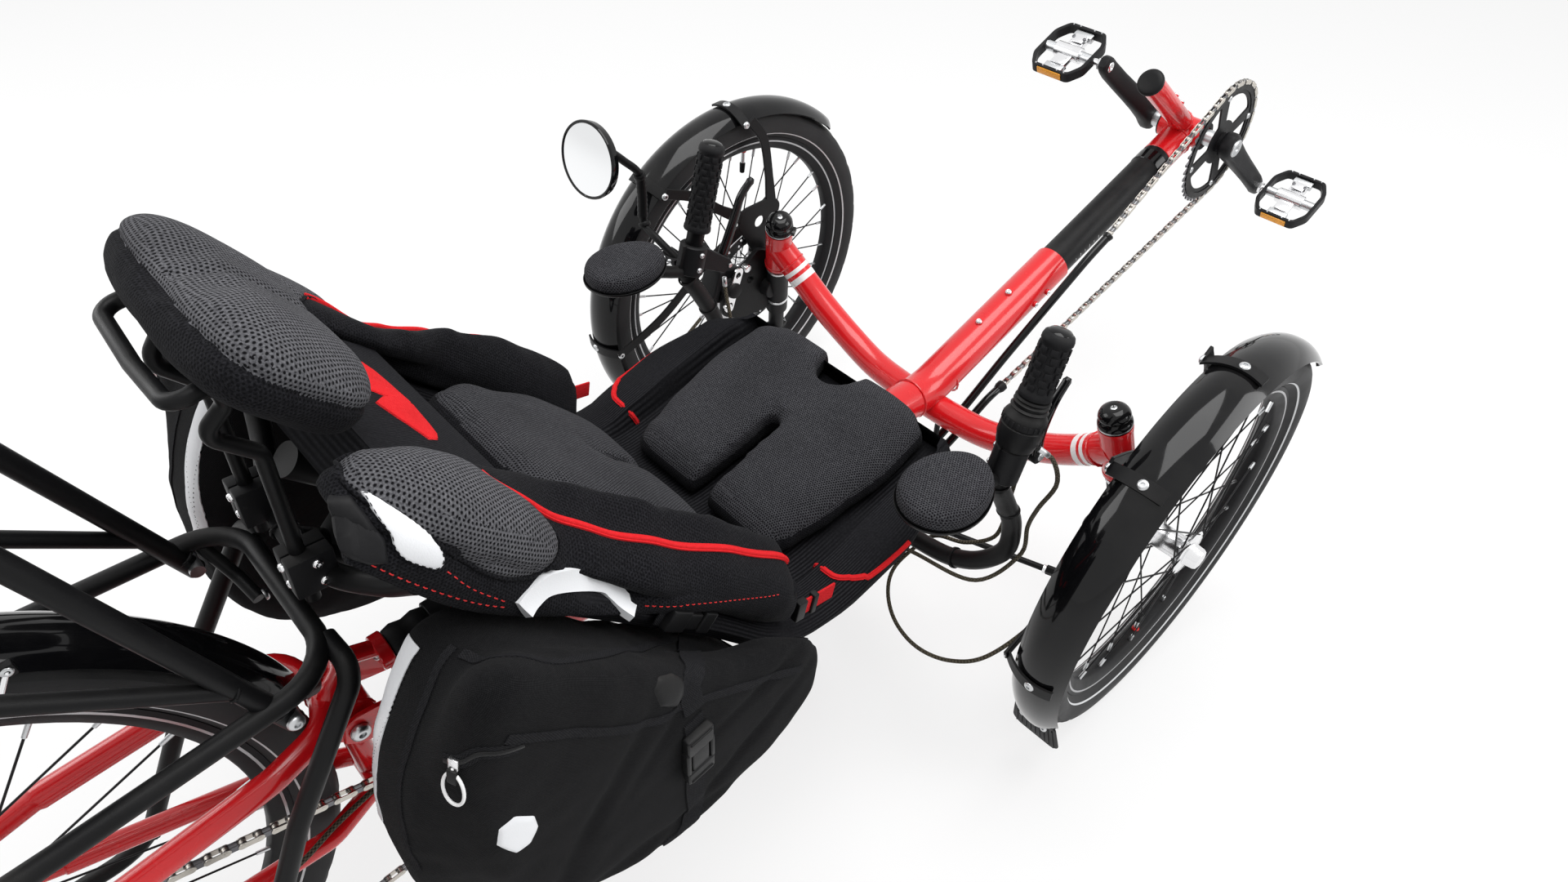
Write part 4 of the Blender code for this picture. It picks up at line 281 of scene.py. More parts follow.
def weave_group():
    """Plain weave or ribbed knit: crossed sine threads, uneven from thread to thread. The raised crests are
    painted lighter and the gaps darker, which is painted light and shade on the weave; for the braid the
    lighter colour is also its real tan yarn.
    """
    tree, inside, outside = node_group("woven_threads", [("Color", "Color", (0.1, 0.1, 0.1, 1)),
        ("Thread Color", "Color", (0.2, 0.2, 0.2, 1)), ("Across", "Float", 0.0012),
        ("Along", "Float", 0.0012), ("Depth", "Float", 0.4), ("Fade", "Float", 0.3)],
        [("Color", "Color"), ("Normal", "Vector"), ("Mask", "Float")])
    coordinates = tree.nodes.new("ShaderNodeTexCoord")
    warp, weft = (maths(tree, "SINE", maths(tree, "MULTIPLY", maths(tree, "DIVIDE", part,
        inside.outputs[pitch]), math.tau)) for part,
        pitch in zip(split(tree, coordinates.outputs["UV"]), ("Across", "Along")))
    cross = remap(tree, maths(tree, "MULTIPLY", warp, weft), -1.0, 1.0)
    yarn = noise_of(tree, coordinates.outputs["Object"], 420.0, 3.0)
    patch = noise_of(tree, coordinates.outputs["Object"], 14.0, 4.0)
    # Painted light and shade: the lighter thread colour goes on the raised crests and the base colour in
    # the gaps, following the same height as the bump.
    crest_light = maths(tree, "MULTIPLY", cross, remap(tree, yarn, 0.3, 0.7, 0.4, 1.0))
    color = between(tree, crest_light, inside.outputs["Color"], inside.outputs["Thread Color"])
    faded = maths(tree, "MULTIPLY", remap(tree, patch, 0.5, 0.8), inside.outputs["Fade"])
    color = between(tree, faded, color, inside.outputs["Thread Color"])
    height = maths(tree, "ADD", cross, maths(tree, "MULTIPLY", yarn, 0.6))
    give(tree, outside, Color=color, Mask=cross,
        Normal=bump_of(tree, height, inside.outputs["Depth"], 0.0006))
    return tree


HANDLED, SPACER, WOVEN = handled_group(), spacer_group(), weave_group()


# Finishes
def rgba(color):
    return (*color, 1.0)


def finish(name, group, values, outputs=("Color", "Roughness", "Normal"), **constants):
    """A material: one group's outputs on a Principled shader whose other sockets are plain."""
    mat = bpy.data.materials.new(name)
    mat.use_nodes = True
    tree = mat.node_tree
    shader = tree.nodes["Principled BSDF"]
    node = tree.nodes.new("ShaderNodeGroup")
    node.node_tree = group
    for label, value in values.items():
        node.inputs[label].default_value = rgba(value) if isinstance(value, tuple) else value
    targets = {"Color": "Base Color", "Roughness": "Roughness", "Normal": "Normal"}
    for label in outputs:
        tree.links.new(node.outputs[label], shader.inputs[targets[label]])
    for label, value in constants.items():
        socket = shader.inputs[label.replace("_", " ")]
        socket.default_value = rgba(value) if isinstance(value, tuple) else value
    return mat


def handled(name, color, worn, low, high, grain=0.05, grain_scale=900.0, wear=0.15, dust=0.05, **constants):
    constants = {"Specular_IOR_Level": 0.14 if max(color) < 0.05 else 0.35, **constants}
    return finish(name, HANDLED, {"Color": color, "Worn Color": worn, "Rough Low": low, "Rough High": high,
        "Grain": grain, "Grain Scale": grain_scale, "Wear": wear, "Dust": dust}, **constants)


# dark is the near-black colour of the holes: painted shade in their depth.
def spacer(name, color, light, pitch, hole=0.3, depth=0.6, dark=(0.004, 0.004, 0.005), **constants):
    return finish(name, SPACER, {"Color": color, "Light Color": light, "Hole Color": dark, "Pitch": pitch,
        "Hole": hole, "Depth": depth}, ("Color", "Normal"), Roughness=0.88, Specular_IOR_Level=0.05,
        Sheen_Weight=0.02, Sheen_Roughness=0.5, **constants)


# thread is the lighter colour painted on the crests of the weave, as light falls on them; for the braided
# cover it is also the real tan yarn.
def woven(name, color, thread, across, along, depth=0.4, fade=0.2, **constants):
    constants = {"Roughness": 0.85, "Specular_IOR_Level": 0.06, **constants}
    return finish(name, WOVEN, {"Color": color, "Thread Color": thread, "Across": across, "Along": along,
        "Depth": depth, "Fade": fade}, ("Color", "Normal"), **constants)


RED = handled("red_gloss_paint", (0.66, 0.008, 0.012), (0.42, 0.004, 0.008), 0.22, 0.3, 0.02, 260.0, 0.1,
    0.0, Coat_Weight=0.45, Coat_Roughness=0.04)
WHITE = handled("white_paint", (0.86, 0.86, 0.86), (0.72, 0.72, 0.71), 0.25, 0.34, 0.02, 300.0, 0.1, 0.0,
    Coat_Weight=0.8, Coat_Roughness=0.06)
BLACK = handled("satin_black_powder", (0.006, 0.006, 0.0065), (0.03, 0.03, 0.031), 0.34, 0.48, 0.22, 1500.0,
    0.1, 0.03)
MATT = handled("matt_black_anodising", (0.009, 0.009, 0.01), (0.06, 0.06, 0.06), 0.4, 0.54, 0.12, 1800.0,
    0.16, 0.04)
GLOSS = handled("gloss_black_moulding", (0.003, 0.003, 0.0035), (0.02, 0.02, 0.02), 0.07, 0.13, 0.015,
    160.0, 0.06, 0.02, Coat_Weight=0.25, Coat_Roughness=0.03)
PLASTIC = handled("black_plastic", (0.007, 0.007, 0.0075), (0.04, 0.04, 0.04), 0.34, 0.5, 0.25, 1200.0,
    0.12, 0.05)
RUBBER = handled("tyre_rubber", (0.012, 0.012, 0.0125), (0.045, 0.044, 0.042), 0.6, 0.8, 0.3, 1400.0, 0.3,
    0.1, Specular_IOR_Level=0.35)
SOFT_RUBBER = handled("grip_rubber", (0.009, 0.009, 0.01), (0.04, 0.04, 0.04), 0.48, 0.64, 0.25, 1700.0,
    0.15, 0.04)
CASING = handled("sidewall_rubber", (0.026, 0.026, 0.027), (0.07, 0.07, 0.068), 0.5, 0.66, 0.2, 700.0, 0.2,
    0.06)
STRIPE = handled("reflective_stripe", (0.6, 0.61, 0.62), (0.45, 0.45, 0.45), 0.35, 0.5, 0.2, 1500.0, 0.3,
    0.0)
RIM_GREY = handled("rim_grey_line", (0.4, 0.4, 0.41), (0.3, 0.3, 0.3), 0.25, 0.4, 0.05, 900.0, 0.2, 0.0,
    Metallic=0.8)
ALLOY = handled("polished_alloy", (0.82, 0.82, 0.83), (0.6, 0.6, 0.6), 0.12, 0.26, 0.05, 1100.0, 0.25, 0.0,
    Metallic=1.0)
BRUSHED = handled("brushed_alloy", (0.58, 0.59, 0.6), (0.42, 0.42, 0.43), 0.28, 0.42, 0.1, 1600.0, 0.3, 0.0,
    Metallic=1.0)
STEEL = handled("chain_steel", (0.56, 0.53, 0.48), (0.22, 0.2, 0.18), 0.24, 0.42, 0.08, 1300.0, 0.6, 0.05,
    Metallic=1.0)
DARK_STEEL = handled("dark_steel", (0.16, 0.16, 0.17), (0.34, 0.34, 0.35), 0.28, 0.44, 0.08, 1500.0, 0.4,
    0.0, Metallic=1.0)
DISC = handled("brake_disc_steel", (0.55, 0.55, 0.56), (0.38, 0.38, 0.38), 0.22, 0.38, 0.08, 1900.0, 0.5,
    0.0, Metallic=1.0)
GLASS = handled("mirror_glass", (0.92, 0.93, 0.94), (0.88, 0.89, 0.9), 0.01, 0.03, 0.0, 100.0, 0.0, 0.0,
    Metallic=1.0)
REFLECTOR = handled("silver_reflective_film", (0.74, 0.75, 0.77), (0.62, 0.63, 0.65), 0.26, 0.42, 0.35,
    420.0, 0.2, 0.0)
PALE_PATCH = handled("pale_reflective_patch", (0.8, 0.81, 0.83), (0.72, 0.73, 0.75), 0.3, 0.42, 0.25, 900.0,
    0.1, 0.0)
AMBER = handled("amber_reflector", (0.75, 0.32, 0.03), (0.6, 0.25, 0.02), 0.15, 0.25, 0.3, 500.0, 0.0, 0.0)
RED_DETAIL = handled("red_cap", (0.6, 0.015, 0.015), (0.5, 0.02, 0.02), 0.3, 0.4, 0.05, 900.0, 0.1, 0.0)
GREY_MESH = spacer("grey_spacer_mesh", (0.03, 0.03, 0.034), (0.078, 0.078, 0.085), 0.0027)
LIGHT_MESH = spacer("light_grey_spacer_mesh", (0.06, 0.06, 0.066), (0.135, 0.135, 0.145), 0.0032, 0.28)
BLACK_MESH = spacer("black_spacer_mesh", (0.005, 0.005, 0.006), (0.018, 0.018, 0.021), 0.0027, 0.28)
# Each woven finish's second colour is a painted highlight on its crests, over the darker base as painted
# shade in the gaps; the braid's second colour is also its real tan yarn.
RIBBED = woven("black_ribbed_knit", (0.004, 0.004, 0.005), (0.026, 0.026, 0.029), 0.0036, 0.3, 0.55, 0.1)
CANVAS = woven("black_canvas", (0.0035, 0.0035, 0.004), (0.014, 0.014, 0.015), 0.0014, 0.0014, 0.7, 0.25,
    Sheen_Weight=0.02)
WEBBING = woven("black_webbing", (0.006, 0.006, 0.007), (0.028, 0.028, 0.03), 0.0016, 0.003, 0.7, 0.1)
RED_WEBBING = woven("red_webbing", (0.45, 0.01, 0.014), (0.66, 0.03, 0.035), 0.0016, 0.003, 0.7, 0.1)
PIPING = woven("red_piping", (0.6, 0.01, 0.014), (0.78, 0.04, 0.045), 0.0012, 0.0012, 0.5, 0.1)
THREAD = woven("red_thread", (0.62, 0.02, 0.02), (0.8, 0.08, 0.08), 0.0008, 0.0008, 0.4, 0.1)
BRAID = woven("braided_cable_cover", (0.012, 0.011, 0.01), (0.2, 0.175, 0.125), 0.0034, 0.0042, 0.6, 0.1,
    Roughness=0.5)


# Shapes
class Shape:
    """Points, faces and flat pattern coordinates for every face corner, in metres."""

    def __init__(self, points, faces, corners=None):
        self.points = [Vector(p) for p in points]
        self.faces = [list(f) for f in faces]
        self.corners = corners or [[(self.points[i].y, self.points[i].z) for i in f] for f in self.faces]

    def moved(self, matrix):
        self.points = [matrix @ p for p in self.points]
        if matrix.determinant() < 0:
            self.faces = [f[::-1] for f in self.faces]
            self.corners = [c[::-1] for c in self.corners]
        return self

    def at(self, place):
        return self.moved(Matrix.Translation(place))

    def on_side(self, side):
        """The right-hand shape, or its mirror image for the left side."""
        return self.moved(Matrix.Diagonal((-1.0, 1.0, 1.0, 1.0))) if side < 0 else self


def of_bmesh(work):
    work.verts.index_update()
    shape = Shape([v.co.copy() for v in work.verts], [[v.index for v in f.verts] for f in work.faces])
    work.free()
    return shape


def make(name, body, parts, smooth_angle=38.0, replaces=()):
    """One piece from (shape, finish) pairs, set down in the row frame on its body."""
    points, faces, corners, picks, finishes = [], [], [], [], []
    for shape, look in parts:
        if look not in finishes:
            finishes.append(look)
        base = len(points)
        points += [p + DATUM for p in shape.points]
        faces += [[i + base for i in f] for f in shape.faces]
        corners += shape.corners
        picks += [finishes.index(look)] * len(shape.faces)
    mesh = bpy.data.meshes.new(name)
    mesh.from_pydata(points, [], faces)
    flat = mesh.uv_layers.new(name="pattern")
    flat.data.foreach_set("uv", [value for loop in corners for pair in loop for value in pair])
    for look in finishes:
        mesh.materials.append(look)
    mesh.polygons.foreach_set("material_index", picks)
    mesh.shade_smooth()
    mesh.set_sharp_from_angle(angle=math.radians(smooth_angle))
    obj = bpy.data.objects.new(name, mesh)
    bpy.context.scene.collection.objects.link(obj)
    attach(obj, body)
    if replaces:
        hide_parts(*replaces)
    return obj


def aligned(direction):
    """Rotation that takes +Z onto a direction."""
    return Vector(direction).to_track_quat("Z", "Y").to_matrix().to_4x4()


def placed(at, direction):
    """Puts a shape drawn about +Z at a place, looking along a direction."""
    return Matrix.Translation(at) @ aligned(direction)


def across(x):
    """Puts a flat shape drawn as (y, z) into the upright plane at x."""
    return Matrix(((0, 0, 1, x), (1, 0, 0, 0), (0, 1, 0, 0), (0, 0, 0, 1)))


def turned_x(degrees):
    return Matrix.Rotation(math.radians(degrees), 4, "X")


def turned_y(degrees):
    return Matrix.Rotation(math.radians(degrees), 4, "Y")


def ray(angle):
    """Unit vector in the wheel plane, from forward towards up."""
    return Vector((0.0, math.cos(angle), math.sin(angle)))


def power(value, exponent):
    """A power that keeps the sign."""
    return math.copysign(abs(value) ** exponent, value)


def add(parts, look, *shapes):
    """Puts shapes of one finish on a piece's list."""
    parts.extend((shape, look) for shape in shapes)


def mirrored_line(points):
    return [Vector((-p.x, p.y, p.z)) for p in points]


def sided(side, p):
    return Vector((side * p[0], p[1], p[2]))


def skin(rings, closed=True, caps=True):
    """Faces across a run of rings that have the same number of points."""
    count = len(rings[0])
    points = [p for ring in rings for p in ring]
    lengths = [0.0]
    for a, b in zip(rings, rings[1:]):
        lengths.append(lengths[-1] + sum((p - q).length for p, q in zip(a, b)) / count)
    girth = [0.0]
    middle = rings[len(rings) // 2]
    for i in range(count):
        girth.append(girth[-1] + (middle[(i + 1) % count] - middle[i]).length)
    faces, corners = [], []
    for j in range(len(rings) - 1):
        for i in range(count if closed else count - 1):
            k = (i + 1) % count
            faces.append((j * count + i, j * count + k, (j + 1) * count + k, (j + 1) * count + i))
            corners.append([(girth[i], lengths[j]), (girth[i + 1], lengths[j]),
                (girth[i + 1], lengths[j + 1]), (girth[i], lengths[j + 1])])
    if caps and closed:
        for ring, flip in ((0, True), (len(rings) - 1, False)):
            face = [ring * count + i for i in range(count)]
            face = face[::-1] if flip else face
            faces.append(face)
            corners.append([(points[i].y, points[i].z) for i in face])
    return Shape(points, faces, corners)


def sweep(points, radius, sides=16, caps=True):
    """A round bar along points; radius is one number or one for each point."""
    points = [Vector(p) for p in points]
    radii = radius if isinstance(radius, (list, tuple)) else [radius] * len(points)
    heading = (points[1] - points[0]).normalized()
    side = heading.orthogonal().normalized()
    rings = []
    for i, p in enumerate(points):
        ahead = (points[min(i + 1, len(points) - 1)] - points[max(i - 1, 0)]).normalized()
        side = (side - ahead * side.dot(ahead)).normalized()
        up = ahead.cross(side)
        rings.append([p + side * (math.cos(a) * radii[i]) + up * (math.sin(a) * radii[i])
            for a in (math.tau * k / sides for k in range(sides))])
    return skin(rings, True, caps)


def bar(start, end, radius, sides=20, chamfer=0.0, end_radius=None):
    """A round rod with its end edges eased."""
    start, end = Vector(start), Vector(end)
    last = radius if end_radius is None else end_radius
    if not chamfer:
        return sweep([start, end], [radius, last], sides)
    ahead = (end - start).normalized() * chamfer
    return sweep([start, start + ahead, end - ahead, end], [radius - chamfer, radius, last, last - chamfer],
        sides)


def turned(profile, steps, closed=False, matrix=None):
    """An (r, z) outline spun about Z; its outer side runs from top to bottom."""
    rings = [[Vector((r * math.cos(a), r * math.sin(a), z))
        for a in (math.tau * i / steps for i in range(steps))] for r, z in profile]
    if closed:
        rings.append([p.copy() for p in rings[0]])
    shape = skin(rings, True, False)
    shape.faces = [f[::-1] for f in shape.faces]
    shape.corners = [c[::-1] for c in shape.corners]
    work = bmesh.new()
    made = [work.verts.new(p) for p in shape.points]
    flat = work.loops.layers.uv.new("pattern")
    for face, corners in zip(shape.faces, shape.corners):
        built = work.faces.new([made[i] for i in face])
        for loop, uv in zip(built.loops, corners):
            loop[flat].uv = uv
    bmesh.ops.remove_doubles(work, verts=work.verts, dist=1e-6)
    bmesh.ops.dissolve_degenerate(work, edges=work.edges, dist=1e-7)
    work.verts.index_update()
    shape = Shape([v.co.copy() for v in work.verts], [[v.index for v in f.verts] for f in work.faces],
        [[tuple(loop[flat].uv) for loop in f.loops] for f in work.faces])
    work.free()
    return shape.moved(matrix) if matrix else shape


def slab(outline, thickness, holes=(), matrix=None, bevel=0.0):
    """A flat sheet cut to an outline with holes, its edges eased by bevel."""
    points, faces, layers = [], [], []
    for k, ring in enumerate((outline, *holes)):
        ring = [Vector((x, y)) for x, y in ring]
        area = sum(a.x * b.y - a.y * b.x for a, b in zip(ring, ring[1:] + ring[:1]))
        if (area > 0) == (k > 0):
            ring = ring[::-1]
        count, inset = len(ring), []
        for i, p in enumerate(ring):
            first, last = (p - ring[i - 1]).normalized(), (ring[(i + 1) % count] - p).normalized()
            inward = Vector((-(first.y + last.y), first.x + last.x))
            inset.append(p + inward.normalized() * bevel if inward.length > 1e-6 else p.copy())
        rows = [(inset, -thickness / 2), (inset, thickness / 2)]
        if bevel:
            rows = [(inset, -thickness / 2), (ring, bevel - thickness / 2), (ring, thickness / 2 - bevel),
                (inset, thickness / 2)]
        base = len(points)
        points += [Vector((p.x, p.y, z)) for row, z in rows for p in row]
        for j in range(len(rows) - 1):
            for i in range(count):
                a, b = base + j * count + i, base + j * count + (i + 1) % count
                faces.append((a, b, b + count, a + count))
        layers.append((base, base + (len(rows) - 1) * count, count))
    for top in (False, True):
        start = [layer[1 if top else 0] for layer in layers]
        rings = [[points[s + i] for i in range(layer[2])] for s, layer in zip(start, layers)]
        index = [s + i for s, layer in zip(start, layers) for i in range(layer[2])]
        for tri in tessellate_polygon(rings):
            a, b, c = (index[i] for i in tri)
            up = (points[b] - points[a]).cross(points[c] - points[a]).z > 0
            faces.append((a, b, c) if up == top else (c, b, a))
    corners = [[(points[i].x, points[i].y) for i in f] for f in faces]
    shape = Shape(points, faces, corners)
    return shape.moved(matrix) if matrix else shape


def block(size, centre=(0, 0, 0), turn=None, bevel=0.001, segments=2):
    """A box of the given size with eased edges, turned about its middle, then moved."""
    work = bmesh.new()
    bmesh.ops.create_cube(work, size=1.0)
    bmesh.ops.scale(work, vec=size, verts=work.verts)
    bmesh.ops.bevel(work, geom=work.edges[:], offset=bevel, segments=segments, affect="EDGES", profile=0.6)
    shape = of_bmesh(work)
    return shape.moved(Matrix.Translation(centre) @ (turn or Matrix.Identity(4)))


def ball(centre, radius, squash=(1.0, 1.0, 1.0)):
    work = bmesh.new()
    bmesh.ops.create_uvsphere(work, u_segments=20, v_segments=12, radius=radius)
    bmesh.ops.scale(work, vec=squash, verts=work.verts)
    return of_bmesh(work).at(centre)


def bend(points, radius, steps=6):
    """Straight runs joined by arcs of the given radius, as a tube is bent."""
    points = [Vector(p) for p in points]
    out = [points[0]]
    for before, corner, after in zip(points, points[1:], points[2:]):
        back, ahead = (before - corner).normalized(), (after - corner).normalized()
        half = back.angle(ahead) / 2
        if math.pi / 2 - half < 0.01:
            out.append(corner)
            continue
        reach = min(radius / math.tan(half), 0.48 * (before - corner).length,
            0.48 * (after - corner).length)
        centre = corner + (back + ahead).normalized() * (reach / math.cos(half))
        first, last = corner + back * reach, corner + ahead * reach
        for i in range(steps + 1):
            mix = (first - centre).lerp(last - centre, i / steps).normalized()
            out.append(centre + mix * (first - centre).length)
    return out + [points[-1]]


def smooth(points, count):
    """A smooth, evenly spaced run through a few points."""
    points = [Vector(p) for p in points]
    padded = [2 * points[0] - points[1]] + points + [2 * points[-1] - points[-2]]
    fine = []
    for a, b, c, d in zip(padded, padded[1:], padded[2:], padded[3:]):
        for i in range(16):
            t = i / 16
            fine.append(0.5 * ((2 * b) + (c - a) * t + (2 * a - 5 * b + 4 * c - d) * t * t
                + (3 * b - a - 3 * c + d) * t ** 3))
    fine.append(points[-1])
    return evenly(fine, count)


def evenly(fine, count):
    """The same line cut into equal steps."""
    lengths = [0.0]
    for a, b in zip(fine, fine[1:]):
        lengths.append(lengths[-1] + (b - a).length)
    out, k = [], 0
    for i in range(count):
        goal = lengths[-1] * i / (count - 1)
        while k < len(fine) - 2 and lengths[k + 1] < goal:
            k += 1
        span = max(lengths[k + 1] - lengths[k], 1e-9)
        out.append(fine[k].lerp(fine[k + 1], min(1.0, (goal - lengths[k]) / span)))
    return out


def circle(radius, count, centre=(0.0, 0.0)):
    return [(centre[0] + radius * math.cos(a), centre[1] + radius * math.sin(a))
        for a in (math.tau * i / count for i in range(count))]


def rounded(outline, radius, steps=3):
    """An outline with its corners rounded off."""
    points = [Vector((*p, 0.0)) for p in outline]
    out = []
    for i, corner in enumerate(points):
        before, after = points[i - 1], points[(i + 1) % len(points)]
        back, ahead = (before - corner), (after - corner)
        reach = min(radius, 0.45 * back.length, 0.45 * ahead.length)
        first, last = corner + back.normalized() * reach, corner + ahead.normalized() * reach
        for k in range(steps + 1):
            t = k / steps
            out.append(((first * (1 - t) ** 2 + corner * 2 * t * (1 - t) + last * t * t)).xy[:])
    return out


def ribbon(points, widths):
    """Outline of a flat strip that follows points with the given widths."""
    points = [Vector(p) for p in points]
    left, right = [], []
    for i, p in enumerate(points):
        ahead = (points[min(i + 1, len(points) - 1)] - points[max(i - 1, 0)]).normalized()
        side = Vector((-ahead.y, ahead.x)) * widths[i] / 2
        left.append(tuple(p + side))
        right.append(tuple(p - side))
    return left + right[::-1]


def bolt(at, out, radius=0.0045, height=0.003):
    """A button-head screw with a hexagon socket, standing off a face."""
    head = [(0.0, height * 0.4), (radius * 0.35, height * 0.45), (radius * 0.38, height * 0.95),
        (radius * 0.6, height), (radius * 0.9, height * 0.62), (radius, height * 0.2), (radius, -0.001)]
    return turned(head, 18, matrix=placed(at, out))


def ring_weld(centre, direction, radius, bead=0.0016):
    """A rippled weld bead all round a tube."""
    place = placed(centre, direction)
    line = [place @ Vector((radius * math.cos(a), radius * math.sin(a), 0.0))
        for a in (math.tau * i / 48 for i in range(49))]
    return sweep(line, [bead * (1.0 + 0.22 * math.sin(i * 2.4)) for i in range(49)], 8)


def along(points, share):
    """The point a share of the way along a line."""
    run = evenly([Vector(p) for p in points], 101)
    return run[min(100, max(0, round(share * 100)))]


def stretch_of(points, start, end, count=12):
    """Part of a line, by shares of its length."""
    run = evenly([Vector(p) for p in points], 201)
    first, last = round(start * 200), round(end * 200)
    return [run[round(first + (last - first) * i / (count - 1))] for i in range(count)]


# Wheels, drawn about local Z with the outboard side up
def tyre_shapes(outer_r, bead_r, steps):
    """Tread blocks with grooves, shoulders, sidewalls and a reflective line."""
    belly = bead_r + 0.023
    half = [(bead_r + 0.002, 0.0094), (bead_r + 0.006, 0.0112), (bead_r + 0.0105, 0.016),
        (bead_r + 0.013, 0.0186), (bead_r + 0.0146, 0.02), (belly - 0.002, 0.0229),
        (outer_r - 0.017, 0.023), (outer_r - 0.012, 0.0219), (outer_r - 0.0085, 0.0202),
        (outer_r - 0.006, 0.0182), (outer_r - 0.004, 0.0155), (outer_r - 0.0024, 0.0124), (outer_r - 0.0012,
        0.0092), (outer_r - 0.0005, 0.0062), (outer_r - 0.0001, 0.0034), (outer_r, 0.0012)]
    profile = half[::-1] + [(r, -z) for r, z in half]
    rows, tread_from = len(profile), outer_r - 0.009
    rings = []
    for j, (r, z) in enumerate(profile):
        ring = []
        lean = abs(z) * 260.0
        for i in range(steps):
            depth = 0.0
            if r > tread_from:
                shoulder = abs(z) > 0.008
                phase = (i + lean * (1 if z > 0 else -1) + (2 if z > 0 else 0)) % (4 if shoulder else 5)
                if phase < 1.0:
                    depth = 0.0013 if shoulder else 0.001
                if 0.0058 < abs(z) < 0.0066 or 0.012 < abs(z) < 0.0126:
                    depth = 0.0014
            a = math.tau * i / steps
            ring.append(Vector(((r - depth) * math.cos(a), (r - depth) * math.sin(a), z)))
        rings.append(ring)
    inner = [[Vector(((bead_r + 0.0015) * math.cos(a), (bead_r + 0.0015) * math.sin(a), z))
        for a in (math.tau * i / steps for i in range(steps))] for z in (-0.009, 0.009)]
    rings = rings + inner + [[p.copy() for p in rings[0]]]
    shape = skin(rings, True, False)
    shape.faces = [f[::-1] for f in shape.faces]
    shape.corners = [c[::-1] for c in shape.corners]
    shares = {"tread": [], "side": [], "line": []}
    for k in range(len(shape.faces)):
        j = k // steps
        r, z = profile[j] if j < rows else (bead_r, 0.0)
        r2 = profile[j + 1][0] if j + 1 < rows else bead_r
        middle = (r + r2) / 2
        if middle > tread_from - 0.003:
            shares["tread"].append(k)
        elif bead_r + 0.0131 < middle < bead_r + 0.0146:
            shares["line"].append(k)
        else:
            shares["side"].append(k)
    parts = []
    for label, look in (("tread", RUBBER), ("side", CASING), ("line", STRIPE)):
        picked = shares[label]
        add(parts, look,
            Shape(shape.points, [shape.faces[k] for k in picked], [shape.corners[k] for k in picked]))
    return parts


def rim_shapes(bead_r, depth, steps):
    """Double-flanged black rim with a plain grey line on each face."""
    flange, bed, inner = bead_r + 0.0062, bead_r + 0.001, bead_r + 0.001 - depth
    outside = [(flange, 0.0104), (flange + 0.0004, 0.0116), (flange, 0.0126), (bead_r + 0.0022, 0.0128),
        (bead_r - 0.001, 0.0124), (bead_r - 0.0052, 0.0106), (inner + 0.0016, 0.0078), (inner, 0.0055)]
    profile = outside + [(r, -z) for r, z in outside[::-1]] + [(bed, -0.0092), (bed, 0.0092)]
    body = turned(profile, steps, True)
    line = []
    for sign in (1, -1):
        z = [0.0128, 0.0126]
        ring = [(bead_r + 0.0016, z[0] + 0.0002), (bead_r - 0.0006, z[1] + 0.0001)]
        ring += [(bead_r - 0.0006, z[1] - 0.0006), (bead_r + 0.0016, z[0] - 0.0006)]
        line.append(turned([(r, sign * w) for r, w in (ring if sign > 0 else ring[::-1])], steps, True))
    return [(body, MATT)] + [(shape, RIM_GREY) for shape in line]


def spoke_shapes(count, rim_r, flanges, crosses):
    """Tangent-laced spokes with elbows at the hub and nipples at the rim."""
    pitch = math.tau / count
    parts = []
    for index, (flange_r, flange_z) in enumerate(flanges):
        for hole in range(count // 2):
            lead = 1 if hole % 2 else -1
            at_hub = (2 * hole + index) * pitch
            at_rim = at_hub + lead * 2 * crosses * pitch
            lift = 0.0019 if lead > 0 else -0.0019
            rim_z = math.copysign(0.0035, flange_z) + lift / 2
            start = Vector((flange_r * math.cos(at_hub), flange_r * math.sin(at_hub), flange_z + lift))
            end = Vector((rim_r * math.cos(at_rim), rim_r * math.sin(at_rim), rim_z))
            ahead = (end - start).normalized()
            add(parts, MATT, sweep([start, start.lerp(end, 0.5), end], 0.001, 6))
            add(parts, BRUSHED, bar(end - ahead * 0.012, end + ahead * 0.0005, 0.0019, 8, 0.0, 0.0021))
            head = start - Vector((0.0, 0.0, math.copysign(1.0, lift) * 0.0004))
            add(parts, BRUSHED, ball(head, 0.0016, (1.0, 1.0, 0.7)))
    return parts


def front_hub_shape():
    return turned([(0.0, 0.04), (0.007, 0.04), (0.0115, 0.0385), (0.013, 0.036), (0.014, 0.027),
        (0.016, 0.0248), (0.027, 0.0243), (0.029, 0.023), (0.029, 0.0205), (0.027, 0.0197),
        (0.0172, 0.0175), (0.015, 0.014), (0.015, -0.014), (0.0172, -0.0175), (0.027, -0.0197),
        (0.029, -0.0205), (0.029, -0.024), (0.027, -0.025), (0.0215, -0.0258), (0.0215, -0.0385),
        (0.02, -0.039), (0.0095, -0.039), (0.0095, 0.03), (0.0, 0.031)], 48)


def rear_hub_shape():
    return turned([(0.0, 0.081), (0.006, 0.081), (0.0072, 0.0795), (0.0072, 0.059), (0.0155, 0.058),
        (0.0155, 0.024), (0.0285, 0.022), (0.03, 0.0205), (0.03, 0.018), (0.0285, 0.017), (0.018, 0.014),
        (0.0165, 0.01), (0.0165, -0.022), (0.0185, -0.027), (0.0285, -0.0298), (0.03, -0.031),
        (0.03, -0.0332), (0.0285, -0.0342), (0.0185, -0.037), (0.018, -0.059), (0.0072, -0.0595),
        (0.0072, -0.0795), (0.006, -0.081), (0.0, -0.081)], 48)


